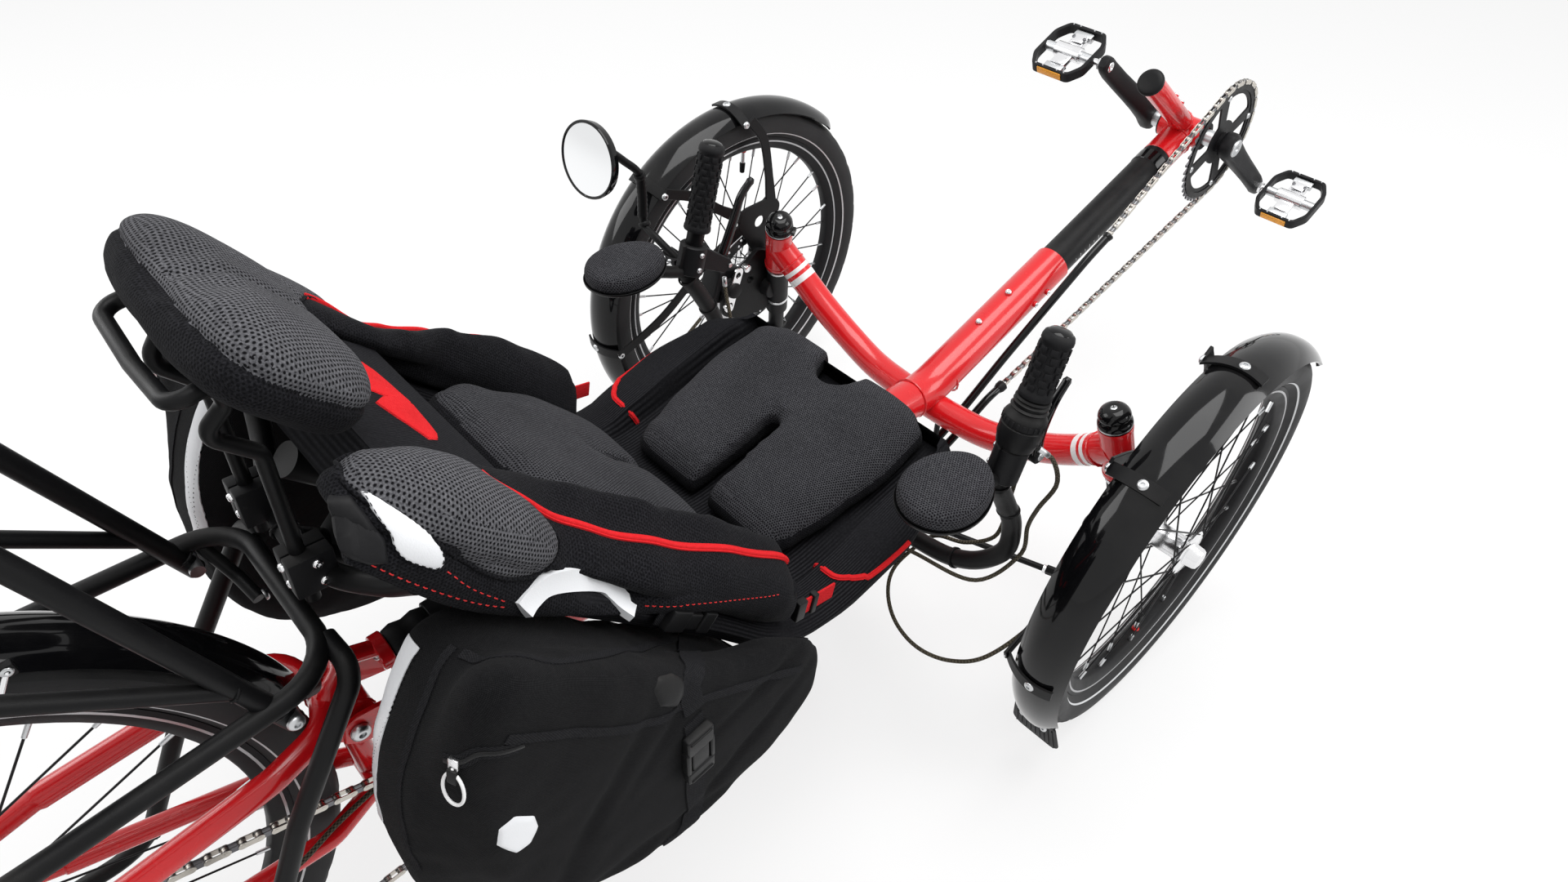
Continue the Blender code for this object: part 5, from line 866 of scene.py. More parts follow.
def wheel(name, body, side, centre, radius, bead_r, depth, hub, flanges, steps):
    place = Matrix.Translation(centre) @ turned_y(90 * side)
    tyre = [(shape.moved(place), look) for shape, look in tyre_shapes(radius, bead_r, steps)]
    make("dressed_" + name + "tyre", body, tyre, 50.0, (name + "tyre",))
    parts = rim_shapes(bead_r, depth, 120)
    parts += spoke_shapes(32, bead_r + 0.001 - depth, flanges, 3)
    add(parts, ALLOY if name != "rear_" else MATT, hub)
    inner = bead_r + 0.001 - depth
    at = Vector((inner * math.cos(0.1), inner * math.sin(0.1), 0.0))
    out = -at.normalized()
    add(parts, BRUSHED, bar(at - out * 0.001, at + out * 0.02, 0.0028, 12, 0.0004, 0.0028))
    add(parts, PLASTIC, bar(at + out * 0.019, at + out * 0.034, 0.0042, 12, 0.0008, 0.0036))
    add(parts, RED_DETAIL, bar(at - out * 0.0002, at + out * 0.003, 0.0048, 12, 0.0005, 0.0044))
    make("laced_" + name + "wheel", body, [(shape.moved(place), look) for shape, look in parts], 40.0,
        (name + "wheel",))


def rotor(name, body, side, centre):
    """Brake disc: a holed track on six swept arms, with its ring of bolts."""
    windows, holes = [], []
    span = math.tau / 6
    for i in range(6):
        a = i * span
        inner = [(0.031, a + t) for t in (0.22, 0.43, 0.64, 0.83)]
        outer = [(0.063, a + t) for t in (1.0, 0.84, 0.66, 0.48, 0.32)]
        windows.append([(r * math.cos(t), r * math.sin(t)) for r, t in inner + outer])
        for k in range(3):
            for r, shift in ((0.0685, 0.0), (0.075, 0.1)):
                t = a + k * span / 3 + shift
                holes.append(circle(0.0022, 8, (r * math.cos(t), r * math.sin(t))))
    disc = slab(circle(0.08, 96), 0.0019, [circle(0.0226, 32)] + windows + holes)
    place = Matrix.Translation(centre) @ turned_y(90 * side)
    parts = [(disc.at((0.0, 0.0, -0.0335)), DISC)]
    for i in range(6):
        a = i * span + 0.05
        at = Vector((0.0262 * math.cos(a), 0.0262 * math.sin(a), -0.0345))
        add(parts, DARK_STEEL, bolt(at, (0, 0, -1), 0.0034, 0.0022))
    make("cut_" + name, body, [(shape.moved(place), look) for shape, look in parts], 35.0, (name,))


FRONT_CENTRES = {side: Vector((side * TRACK / 2, 0.0, FRONT_R)) for side, _ in SIDES}


def wheels():
    for side, label in SIDES:
        wheel("front_" + label + "_", label + "_wheel", side, FRONT_CENTRES[side], FRONT_R, FRONT_BEAD,
            0.013, front_hub_shape(), ((0.0265, 0.022), (0.0265, -0.022)), 160)
        rotor("front_" + label + "_rotor", label + "_wheel", side, FRONT_CENTRES[side])
    wheel("rear_", "driven_wheel", 1, REAR_AXLE, REAR_R, REAR_BEAD, 0.014, rear_hub_shape(),
        ((0.0275, 0.0195), (0.0275, -0.032)), 210)


# Main frame
def kingpin_at(z, side=1):
    step = (KINGPIN_TOP.z - z) / -KINGPIN_DOWN.z
    p = KINGPIN_TOP + KINGPIN_DOWN * step
    return Vector((side * p.x, p.y, p.z))


BOOM_AXIS = ray(BOOM_ANGLE)
BOOM_UP = Vector((0.0, -BOOM_AXIS.z, BOOM_AXIS.y))
BOOM_LINE = BOTTOM_BRACKET + Vector((0.0, 0.0, -0.004))


def boom_at(y):
    return BOOM_LINE + BOOM_AXIS * ((y - BOOM_LINE.y) / BOOM_AXIS.y)


CROSS_LINE = [(0.0, 0.014, 0.213), (0.05, 0.016, 0.2125), (0.1, 0.019, 0.216), (0.15, 0.021, 0.232),
    (0.2, 0.017, 0.261), (0.24, 0.012, 0.292), (0.281, 0.0, 0.334)]
MAIN_REAR = [(0.0, 0.01, 0.234), (0.0, -0.19, 0.25), (0.0, -0.56, 0.285), (0.0, -0.735, 0.3288)]
MAIN_FRONT_Y = 0.277
CROSS_RUN = smooth([(-x, y, z) for x, y, z in CROSS_LINE[:0:-1]] + CROSS_LINE, 90)


def main_frame():
    """Main tube and cross-member with their welds, bands, heads and bosses."""
    mouth = boom_at(MAIN_FRONT_Y)
    spine = bend([mouth, *MAIN_REAR], 0.12, 12)
    parts = [(sweep(spine, MAIN_R, 40, False), RED), (sweep(CROSS_RUN, CROSS_R, 32), RED)]
    lip = [(MAIN_R, -0.001), (MAIN_R, 0.0), (MAIN_R - 0.0008, 0.0008), (BOOM_R + 0.001, 0.0008),
        (BOOM_R + 0.0006, 0.0), (BOOM_R + 0.0006, -0.03)]
    add(parts, RED, turned(lip[::-1], 40, matrix=placed(mouth, BOOM_AXIS)))
    tail = Vector(MAIN_REAR[-1])
    back = (tail - Vector(MAIN_REAR[-2])).normalized()
    add(parts, RED,
        turned([(0.0, 0.0008), (MAIN_R - 0.002, 0.0008), (MAIN_R, -0.001)], 40, matrix=placed(tail, back)))
    for side, _ in SIDES:
        low, high = kingpin_at(HEAD_LOW_Z, side), kingpin_at(HEAD_TOP_Z, side)
        add(parts, RED, bar(low, high, HEAD_R, 36, 0.0008))
        for share in (0.0, 1.0):
            at = low.lerp(high, share)
            way = (high - low).normalized()
            add(parts, RED, turned([(HEAD_R + 0.0008, 0.0022), (HEAD_R + 0.0008, -0.0022),
                (HEAD_R - 0.001, -0.0028), (HEAD_R - 0.001, 0.0028)], 36, True,
                placed(at + way * (0.0022 if share < 0.5 else -0.0022), way)))
        joint = Vector((side * 0.261, 0.0065, 0.312))
        toward = Vector((side * 0.7, -0.2, 0.68))
        add(parts, RED, ring_weld(joint, toward, CROSS_R + 0.0004, 0.0015))
        for start, end in ((0.905, 0.92), (0.93, 0.938)):
            first, last = (start, end) if side > 0 else (1 - end, 1 - start)
            add(parts, WHITE, sweep(stretch_of(CROSS_RUN, first, last, 4), CROSS_R + PROUD, 32))
    for spot, way, radius in ((Vector((0.0, 0.0465, 0.24)), Vector((0, 1, 0.25)), MAIN_R + 0.0002),
            (Vector((0.0, -0.02, 0.237)), Vector((0, 1, -0.05)), MAIN_R + 0.0002)):
        add(parts, RED, ring_weld(spot, way, radius, 0.0016))
    post_foot = Vector((0.0, STEER_PIVOT.y, 0.1903))
    add(parts, RED, bar(post_foot, (0.0, STEER_PIVOT.y, 0.24), 0.015, 28, 0.0006),
        ring_weld((0.0, STEER_PIVOT.y, 0.217), (0, 0, 1), 0.0152))
    add(parts, BRUSHED, bar((0.0, STEER_PIVOT.y, 0.16), (0.0, STEER_PIVOT.y, 0.235), 0.006, 16, 0.0005),
        bolt((0.0, STEER_PIVOT.y, 0.1665), (0, 0, -1), 0.01, 0.005))
    for side, _ in SIDES:
        x = side * (0.03 + 0.0003 + 0.0025)
        outline = ribbon([(-0.7, 0.318), (-0.725, 0.3265), (-0.75, 0.334), (-0.775, 0.3415), (-0.79, 0.345),
            (-0.802, 0.348)], [0.034, 0.039, 0.04, 0.039, 0.036, 0.02])
        add(parts, RED, slab(outline, 0.005, (), across(x), 0.0008))
        add(parts, BRUSHED, bolt((side * 0.0375, *SWING_PIVOT.yz), (side, 0, 0), 0.009, 0.0045))
    add(parts, RED, block((0.068, 0.02, 0.032), (0.0, -0.716, 0.323), turned_x(-14), 0.0015))
    pivot = Vector((0.0, *SWING_PIVOT.yz))
    add(parts, BRUSHED, bar(pivot - Vector((0.038, 0, 0)), pivot + Vector((0.038, 0, 0)), 0.008, 20))
    post = bend([(0.0, -0.655, 0.3), (0.0, -0.66, 0.35), (0.0, -0.682, ELASTOMER_Z)], 0.02, 5)
    add(parts, RED, sweep(post, 0.013, 24))
    add(parts, MATT, bar((0.0, -0.678, ELASTOMER_Z), (0.0, -0.696, ELASTOMER_Z), 0.018, 28, 0.0008))
    for y in (0.184, 0.123):
        top = boom_at(y)
        add(parts, RED,
            bar(top + BOOM_UP * 0.02, top + BOOM_UP * (MAIN_R + 0.0036), 0.0065, 20, 0.0005, 0.005))
        add(parts, ALLOY, bolt(top + BOOM_UP * (MAIN_R + 0.0034), BOOM_UP, 0.0045, 0.0026))
    for y in (0.232, 0.206):
        low = boom_at(y)
        add(parts, RED, bar(low + Vector((0.02, 0, 0)), low + Vector((MAIN_R + 0.0028, 0, 0)), 0.0044, 16))
        add(parts, ALLOY, bolt(low + Vector((MAIN_R + 0.0026, 0, 0)), (1, 0, 0), 0.0038, 0.0016))
    add(parts, RED, block((0.024, 0.034, 0.024), (0.026, IDLER.y, 0.267), None, 0.0015))
    outline = rounded([(IDLER.y - 0.017, 0.276), (IDLER.y + 0.017, 0.276),
        (IDLER.y + 0.011, IDLER.z - 0.01), (IDLER.y - 0.011, IDLER.z - 0.01)], 0.006)
    add(parts, MATT, slab(outline, 0.004, (), across(0.036), 0.0006))
    add(parts, BRUSHED, bar((0.0345, *IDLER.yz), (0.058, *IDLER.yz), 0.006, 20, 0.0006),
        bolt((0.0575, *IDLER.yz), (1, 0, 0), 0.0055, 0.001))
    add(parts, MATT, bar((0.022, 0.022, 0.205), (0.022, 0.022, 0.159), 0.004, 14, 0.0004))
    make("painted_main_frame", "frame", parts, 40.0, ("main_frame",))


# Boom, cranks and pedals
CRANK_DIR = ray(CRANK_ANGLE)


def boom():
    """Black boom with a scale of plain marks, and the red head with its capped post."""
    line = [boom_at(0.105), boom_at(0.3), boom_at(0.5167)]
    parts = [(sweep(line, BOOM_R, 40), BLACK)]
    for i in range(6):
        at = boom_at(0.3 + 0.01 * i) + Vector((BOOM_R, 0, 0))
        add(parts, BRUSHED,
            block((0.0004, 0.0008, 0.006 if i % 2 else 0.0034), at, turned_x(18), 0.0001, 1))
    collar = placed(boom_at(0.4985), BOOM_AXIS)
    add(parts, GLOSS, turned([(BOOM_R, 0.011), (BOOM_R + 0.001, 0.01), (BOOM_R + 0.001, -0.01),
        (BOOM_R, -0.011)], 40, False, collar))
    make("boom_sleeve", "boom", parts, 35.0, ("boom_tube",))
    post_low, post_top = BOTTOM_BRACKET + Vector((0, 0.0, 0.004)), Vector((0.0, 0.429, 0.54))
    way = (post_top - post_low).normalized()
    ahead = Vector((0.0, way.z, -way.y))
    reach = Vector((0.034, 0.0, 0.0))
    parts = [(bar(boom_at(0.517), boom_at(0.586), BOOM_R + 0.0004, 40, 0.0008), RED),
        (bar(BOTTOM_BRACKET - reach, BOTTOM_BRACKET + reach, 0.0205, 36, 0.0008), RED),
        (bar(post_low, post_top, 0.0158, 32), RED), (ring_weld(boom_at(0.563), BOOM_AXIS, BOOM_R + 0.0006),
        RED), (ring_weld(post_low + way * 0.024, way, 0.016), RED)]
    for side, _ in SIDES:
        face = BOTTOM_BRACKET + Vector((side * 0.034, 0, 0))
        add(parts, MATT, turned([(0.0205, 0.0014), (0.0205, -0.0004), (0.014, -0.0004),
            (0.014, 0.0014)][::-1], 36, True, placed(face, (side, 0, 0))))
    cap = [(0.0, 0.0056), (0.01, 0.0054), (0.015, 0.0048), (0.0176, 0.0034), (0.0184, 0.0018),
        (0.0184, -0.0002), (0.0176, -0.001), (0.015, -0.0012)]
    add(parts, PLASTIC, turned(cap, 36, matrix=placed(post_top - way * 0.001, way)))
    for t in (0.06, 0.092):
        base = post_low + way * t
        add(parts, RED, bar(base, base + ahead * 0.0185, 0.0042, 16, 0.0004))
        add(parts, ALLOY, bolt(base + ahead * 0.0182, ahead, 0.004, 0.0024))
    make("painted_boom_head", "boom", parts, 40.0, ("boom_head",))


def gear_outline(teeth, root_drop=0.0042, tip_rise=0.0032):
    pitch_r = CHAIN_PITCH / (2 * math.sin(math.pi / teeth))
    points = []
    for i in range(teeth):
        for share, r in ((0.0, pitch_r - root_drop), (0.14, pitch_r - root_drop * 0.6),
                (0.38, pitch_r + tip_rise), (0.62, pitch_r + tip_rise), (0.86, pitch_r - root_drop * 0.6)):
            a = (i + share) * math.tau / teeth
            points.append((r * math.cos(a), r * math.sin(a)))
    return points


def chainring():
    """Toothed ring on a four-armed spider, with its bolts and a rim of trim."""
    windows = []
    for i in range(4):
        a = i * math.tau / 4 + 0.35
        inner = [(0.033, a + t) for t in (0.26, 0.52, 0.78, 1.04, 1.3)]
        outer = [(0.0725, a + 1.42 - 1.28 * k / 8) for k in range(9)]
        windows.append(rounded([(r * math.cos(t), r * math.sin(t)) for r, t in inner + outer], 0.003, 2))
    flat = across(CHAIN_X)
    parts = [(slab(gear_outline(RING_TEETH), 0.0024, [circle(0.079, 64)], flat, 0.0003), DARK_STEEL)]
    add(parts, MATT, slab(circle(0.08, 72), 0.003, [circle(0.0153, 32)] + windows, flat, 0.0004))
    guard = [(0.0868, 0.0026), (0.0868, 0.0018), (0.078, 0.0016), (0.078, 0.0026)]
    add(parts, PLASTIC, turned(guard, 96, True, Matrix.Translation((CHAIN_X, 0, 0)) @ turned_y(90)))
    for i in range(4):
        a = i * math.tau / 4 + 0.245
        at = Vector((CHAIN_X + 0.0016, 0.0755 * math.cos(a), 0.0755 * math.sin(a)))
        add(parts, BRUSHED, bolt(at, (1, 0, 0), 0.0048, 0.002))
    for shape, _ in parts:
        shape.at((0.0, *BOTTOM_BRACKET.yz))
    make("toothed_chainring", "crankset", parts, 35.0, ("chainring",))


def crank_arm(side, inner_x, outer_x):
    """Forged arm that tapers and steps outward to the pedal eye."""
    direction = CRANK_DIR * side
    stations = [(-0.018, 0.006, 0.006), (-0.0165, 0.012, 0.009), (-0.012, 0.0165, 0.0104),
        (-0.004, 0.0195, 0.011), (0.008, 0.0192, 0.0109), (0.024, 0.0176, 0.0106), (0.05, 0.016, 0.0098),
        (0.08, 0.0149, 0.0088), (0.115, 0.0142, 0.008), (0.15, 0.014, 0.0075), (0.166, 0.0134, 0.0073),
        (0.174, 0.0116, 0.007), (0.179, 0.008, 0.0062), (0.18, 0.003, 0.004)]
    sideways = Vector((1.0, 0.0, 0.0)).cross(direction)
    rings = []
    for t, wide, thick in stations:
        blend = min(max((t - 0.03) / 0.11, 0.0), 1.0)
        x = side * (inner_x + (outer_x - inner_x) * blend)
        centre = BOTTOM_BRACKET + direction * t
        ring = []
        for k in range(24):
            a = math.tau * k / 24
            u = power(math.cos(a), 0.55)
            v = power(math.sin(a), 0.55)
            ring.append(centre + sideways * wide * u + Vector((x + thick * v, 0.0, 0.0)))
        rings.append(ring)
    return skin(rings)


def cranks():
    for side, label in SIDES:
        arm_x, eye_x = (0.0745, 0.09) if side > 0 else (0.06, 0.085)
        parts = [(crank_arm(side, arm_x, eye_x), MATT)]
        eye = BOTTOM_BRACKET + CRANK_DIR * CRANK_LENGTH * side
        out = Vector((side, 0, 0))
        add(parts, ALLOY, bar(eye + out * eye_x, eye + out * (PEDAL_X + 0.03), 0.0055, 20, 0.0006),
            bar(eye + out * (eye_x + 0.007), eye + out * (eye_x + 0.0125), 0.0088, 6, 0.0006),
            bolt(eye + out * (eye_x - 0.0072), -out, 0.0072, 0.0012))
        outer = BOTTOM_BRACKET + out * (arm_x + 0.0106)
        add(parts, BRUSHED, turned([(0.0, 0.0006), (0.0045, 0.0006), (0.005, 0.0022), (0.0118, 0.0026),
            (0.013, 0.0014), (0.013, -0.002)], 36, matrix=placed(outer, out)))
        if side < 0:
            add(parts, BRUSHED, bar(BOTTOM_BRACKET + Vector((-0.055, 0, 0)),
                BOTTOM_BRACKET + Vector((0.064, 0, 0)), 0.012, 28))
        else:
            add(parts, MATT, bar(BOTTOM_BRACKET + Vector((CHAIN_X - 0.0035, 0, 0)),
                BOTTOM_BRACKET + Vector((0.07, 0, 0)), 0.0148, 32, 0.0005))
        make("forged_crank_" + label, "crankset", parts, 40.0, ("crank_" + label,))


def pedals():
    """Cage with toothed rims, a clip mechanism with its spring, and amber reflectors."""
    for side, label in SIDES:
        eye = BOTTOM_BRACKET + CRANK_DIR * CRANK_LENGTH * side + Vector((side * PEDAL_X, 0, 0))
        outline = [(-0.043, 0.026), (-0.03, 0.048), (0.03, 0.048), (0.043, 0.026), (0.043, -0.026),
            (0.03, -0.048), (-0.03, -0.048), (-0.043, -0.026)]
        hole = [(-0.0375, 0.0235), (-0.027, 0.0425), (0.027, 0.0425), (0.0375, 0.0235), (0.0375, -0.0235),
            (0.027, -0.0425), (-0.027, -0.0425), (-0.0375, -0.0235)]
        parts = [(slab(rounded(outline, 0.006), 0.015, [rounded(hole, 0.005)], None, 0.0008), MATT)]
        for x in (-0.024, -0.012, 0.012, 0.024):
            for y in (-0.0452, 0.0452):
                for z in (-1, 1):
                    add(parts, BRUSHED, bar((x, y, z * 0.007), (x, y, z * 0.009), 0.0016, 8, 0.0, 0.001))
        add(parts, BRUSHED, bar((-0.0395, 0, 0), (0.0395, 0, 0), 0.0072, 24))
        add(parts, ALLOY, bar((-0.021, 0, 0), (0.021, 0, 0), 0.0112, 28, 0.0008),
            block((0.024, 0.06, 0.008), (0, 0, 0), None, 0.0015))
        for sign in (1, -1):
            add(parts, BRUSHED, block((0.03, 0.01, 0.01), (0, sign * 0.036, 0), None, 0.0015))
            add(parts, ALLOY, block((0.018, 0.015, 0.0022), (0, sign * 0.024, sign * 0.0062), None, 0.0008),
                block((0.018, 0.015, 0.0022), (0, -sign * 0.024, sign * 0.0062), None, 0.0008))
            coil = [Vector((0.001 * k - 0.0105, sign * 0.03 + 0.0042 * math.cos(k * 1.05),
                0.0042 * math.sin(k * 1.05))) for k in range(22)]
            add(parts, BRUSHED, sweep(coil, 0.0011, 6))
            for x in (-0.009, 0.009):
                add(parts, DARK_STEEL, bolt((x, sign * 0.024, sign * 0.0074), (0, 0, sign), 0.0026, 0.0012))
            add(parts, AMBER, block((0.04, 0.0026, 0.0105), (0, sign * 0.0482, 0), None, 0.0006))
        turn = turned_x(22)
        for shape, _ in parts:
            shape.moved(turn).on_side(side).at(eye)
        make("caged_pedal_" + label, label + "_pedal", parts, 40.0, ("pedal_" + label,))


# Steering
BAR_PATH = [(0.0, -0.165, 0.18), (0.15, -0.163, 0.185), (0.215, -0.16, 0.206), (0.253, -0.151, 0.248),
    (0.252, -0.146, 0.29), (0.249, -0.172, 0.348), GRIP_FOOT]


def grip_at(t, side=1):
    """A point of the grip's axis, measured down from its top."""
    return sided(side, GRIP_TOP - GRIP_DIR * t)


def bar_run():
    ends = [Vector(p) for p in BAR_PATH] + [grip_at(0.012)]
    line = smooth(ends[:-1], 60) + [ends[-1]]
    return mirrored_line(line[:0:-1]) + line


def handlebar():
    """Bent bar, centre plate, split clamps, lever mounts and armrest brackets."""
    parts = [(sweep(bar_run(), BAR_R, 28), BLACK)]
    outline = rounded([(-0.03, -0.15), (-0.03, -0.182), (0.03, -0.182), (0.03, -0.15), (0.02, -0.06),
        (-0.02, -0.06)], 0.008, 4)
    add(parts, MATT,
        slab(outline, 0.008, [circle(0.007, 28, (0.0, STEER_PIVOT.y))], None, 0.0008).at((0, 0, 0.178)))
    boss = [(0.0068, 0.1899), (0.0162, 0.1899), (0.017, 0.189), (0.017, 0.1708), (0.0162, 0.17),
        (0.0068, 0.17)]
    add(parts, MATT, turned(boss, 32, True, Matrix.Translation((0, STEER_PIVOT.y, 0))))
    for side, _ in SIDES:
        eye = sided(side, STEER_PIVOT + STEER_ARM)
        add(parts, BRUSHED, bar((eye.x, eye.y, 0.151), (eye.x, eye.y, 0.186), 0.003, 12),
            bar((eye.x, eye.y, ROD_OUTER.z + 0.0043), (eye.x, eye.y, 0.178), 0.0068, 20, 0.0004),
            bar((eye.x, eye.y, 0.149), (eye.x, eye.y, 0.1537), 0.0055, 6, 0.0003),
            bar((eye.x, eye.y, 0.182), (eye.x, eye.y, 0.187), 0.0055, 6, 0.0003))
        for x in (0.008, 0.022):
            add(parts, BRUSHED, bolt((side * x, -0.176, 0.182), (0, 0, 1), 0.004, 0.0022))
        low, high = grip_at(0.17, side), grip_at(0.131, side)
        add(parts, MATT, bar(low, high, 0.0178, 32, 0.0016))
        middle = grip_at(0.15, side)
        add(parts, PLASTIC, block((0.0022, 0.038, 0.04), middle + Vector((side * -0.004, -0.003, 0)),
            aligned(GRIP_DIR), 0.0004))
        for t in (0.14, 0.16):
            at = grip_at(t, side) + Vector((side * -0.0178, 0.0, 0.0))
            add(parts, BRUSHED, bolt(at, (-side, 0, 0), 0.0036, 0.0024))
        pivot = LEVER_PIVOTS[side]
        mount = [(grip_at(0.15).y + 0.006, grip_at(0.15).z), (pivot.y - 0.004, pivot.z),
            (pivot.y + 0.004, pivot.z + 0.003)]
        lug = slab(ribbon(mount, [0.03, 0.02, 0.012]), 0.012, (), across(pivot.x - 0.0118), 0.0012)
        add(parts, MATT, lug.on_side(side))
        pin = bar((pivot.x - 0.02, *pivot.yz), (pivot.x + 0.0078, *pivot.yz), 0.0031, 14, 0.0004)
        add(parts, BRUSHED, pin.on_side(side))
        arm = smooth([sided(side, p) for p in ((0.248, -0.186, 0.392), (0.248, -0.215, 0.405),
            (0.2475, -0.25, 0.419), (0.2475, -0.315, 0.424))], 16)
        add(parts, BLACK, sweep(arm, 0.008, 20))
        add(parts, MATT, block((0.03, 0.044, 0.004), (side * 0.2475, -0.283, 0.4308), None, 0.0012))
        for y in (-0.272, -0.296):
            add(parts, BRUSHED, bolt((side * 0.2475, y, 0.416), (0, 0, -1), 0.004, 0.002))
    for share in (0.145, 0.205, 0.795, 0.855, 0.33, 0.67):
        run = bar_run()
        at = along(run, share)
        ahead = (along(run, share + 0.01) - at).normalized()
        tie = turned([(0.0122, 0.002), (0.013, 0.0014), (0.013, -0.0014), (0.0122, -0.002),
            (0.0108, -0.0016), (0.0108, 0.0016)], 28, True, placed(at, ahead))
        add(parts, PLASTIC, tie)
    make("dressed_handlebar", "steering_bar", parts, 40.0, ("handlebar",))


def grips():
    """Moulded grips with rows of raised pads and a domed cap, and the twist shifter."""
    for side, label in SIDES:
        length = 0.072 if side > 0 else 0.112
        profile = [(0.0, 0.0), (0.006, -0.0004), (0.011, -0.002), (0.0148, -0.005), (0.016, -0.009),
            (0.016, -0.012), (0.015, -0.0135), (0.0148, -0.016), (0.0148, -length + 0.012),
            (0.0156, -length + 0.009), (0.017, -length + 0.005), (0.0172, -length + 0.001),
            (0.0166, -length), (BAR_R + 0.0006, -length)]
        place = placed(grip_at(0.0, side), GRIP_DIR)
        parts = [(turned(profile, 40, matrix=place), SOFT_RUBBER)]
        add(parts, GLOSS, turned([(0.0, 0.0006), (0.0058, 0.0002), (0.0106, -0.0012), (0.012, -0.0026)], 32,
            matrix=place))
        rows = 6 if side > 0 else 11
        for row in range(rows):
            z = -0.019 - row * 0.0082
            for column in range(9):
                a = math.tau * column / 9 + (0.18 if row % 2 else 0.0)
                turn = Matrix.Rotation(a, 4, "Z") @ Matrix.Translation((0.015, 0, z))
                pad = block((0.0024, 0.0072, 0.0062), (0, 0, 0), None, 0.0009)
                add(parts, SOFT_RUBBER, pad.moved(place @ turn))
        make("padded_grip_" + label, "steering_bar", parts, 45.0, ("grip_" + label,))
    place = placed(grip_at(0.0), GRIP_DIR)
    bell = []
    for k in range(9):
        z = -0.0735 - 0.002 * k
        bell.append((0.0172 + 0.0012 * math.sin(k * math.pi * 0.75) + 0.00018 * k, z))
    profile = [(0.0125, -0.0732)] + bell + [(0.02, -0.0915), (0.0218, -0.0945), (0.0222, -0.096),
        (0.0222, -0.103), (0.021, -0.1042), (0.0222, -0.1054), (0.0222, -0.118), (0.021, -0.1215),
        (0.0195, -0.129), (0.0185, -0.1298), (0.0125, -0.1298)]
    parts = [(turned(profile, 48, matrix=place), PLASTIC)]
    for k in range(24):
        a = math.tau * k / 24
        turn = Matrix.Rotation(a, 4, "Z") @ Matrix.Translation((0.0222, 0, -0.0998))
        add(parts, SOFT_RUBBER,
            block((0.0014, 0.0026, 0.0062), (0, 0, 0), None, 0.0005).moved(place @ turn))
    for k in range(7):
        a = math.radians(-140 + 22 * k)
        turn = Matrix.Rotation(a, 4, "Z") @ Matrix.Translation((0.0221, 0, -0.111))
        size = (0.0004, 0.0008, 0.0044 if k % 3 == 0 else 0.0026)
        add(parts, WHITE, block(size, (0, 0, 0), None, 0.0001, 1).moved(place @ turn))
    make("twist_shifter_body", "shifter", parts, 40.0, ("twist_shifter",))


def brake_levers():
    """Gloss blades with a hooked tip, pinned ahead of each grip."""
    for side, label in SIDES:
        pivot = LEVER_PIVOTS[side]
        line = smooth([(0.0, pivot.y + y, pivot.z + z) for y, z in LEVER_LINES[side]], 28)
        rings = []
        for i, p in enumerate(line):
            ahead = (line[min(i + 1, 27)] - line[max(i - 1, 0)]).normalized()
            off = Vector((0.0, -ahead.z, ahead.y))
            share = i / 27
            deep = 0.0078 - 0.0036 * share + (0.0012 if share > 0.94 else 0.0)
            wide = 0.0047 - 0.0006 * share
            if share > 0.97:
                deep, wide = deep * 0.6, wide * 0.6
            ring = []
            for k in range(16):
                a = math.tau * k / 16
                u = power(math.cos(a), 0.6)
                v = power(math.sin(a), 0.6)
                ring.append(p + Vector((pivot.x + wide * u, 0, 0)) + off * deep * v)
            rings.append(ring)
        parts = [(skin(rings), GLOSS)]
        add(parts, MATT, bar((pivot.x - 0.005, *pivot.yz), (pivot.x + 0.005, *pivot.yz), 0.0095, 28, 0.001))
        add(parts, BRUSHED, bolt((pivot.x + 0.005, *pivot.yz), (1, 0, 0), 0.0046, 0.002))
        make("brake_blade_" + label, label + "_brake_lever", [(shape.on_side(side), look) for shape,
            look in parts], 45.0, ("brake_lever_" + label,))


def track_rods():
    """Steering rods: black shafts, silver eyes, a silver ring and a lock nut."""
    for side, label in SIDES:
        inner = sided(side, STEER_PIVOT + STEER_ARM)
        inner.z = ROD_OUTER.z
        outer = sided(side, ROD_OUTER)
        ahead = (outer - inner).normalized()
        parts = [(bar(inner + ahead * 0.007, outer - ahead * 0.012, 0.004, 20), BLACK)]
        for at, radius, hole in ((inner, 0.0085, 0.004), (outer, 0.011, 0.0052)):
            eye = [(hole, 0.004), (radius - 0.0015, 0.004), (radius, 0.0028), (radius, -0.0028),
                (radius - 0.0015, -0.004), (hole, -0.004)]
            add(parts, DARK_STEEL, turned(eye, 28, True, Matrix.Translation(at)))
        add(parts, BLACK, bar(outer - ahead * 0.046, outer - ahead * 0.01, 0.0061, 6, 0.0008))
        add(parts, ALLOY, bar(outer - ahead * 0.05, outer - ahead * 0.0462, 0.0058, 20, 0.0004))
        add(parts, BLACK, bar(inner + ahead * 0.008, inner + ahead * 0.03, 0.0055, 6, 0.0008))
        add(parts, ALLOY, bar(inner + ahead * 0.0302, inner + ahead * 0.034, 0.0058, 20, 0.0004))
        make("dressed_track_rod_" + label, label + "_track_rod", parts, 40.0, ("track_rod_" + label,))


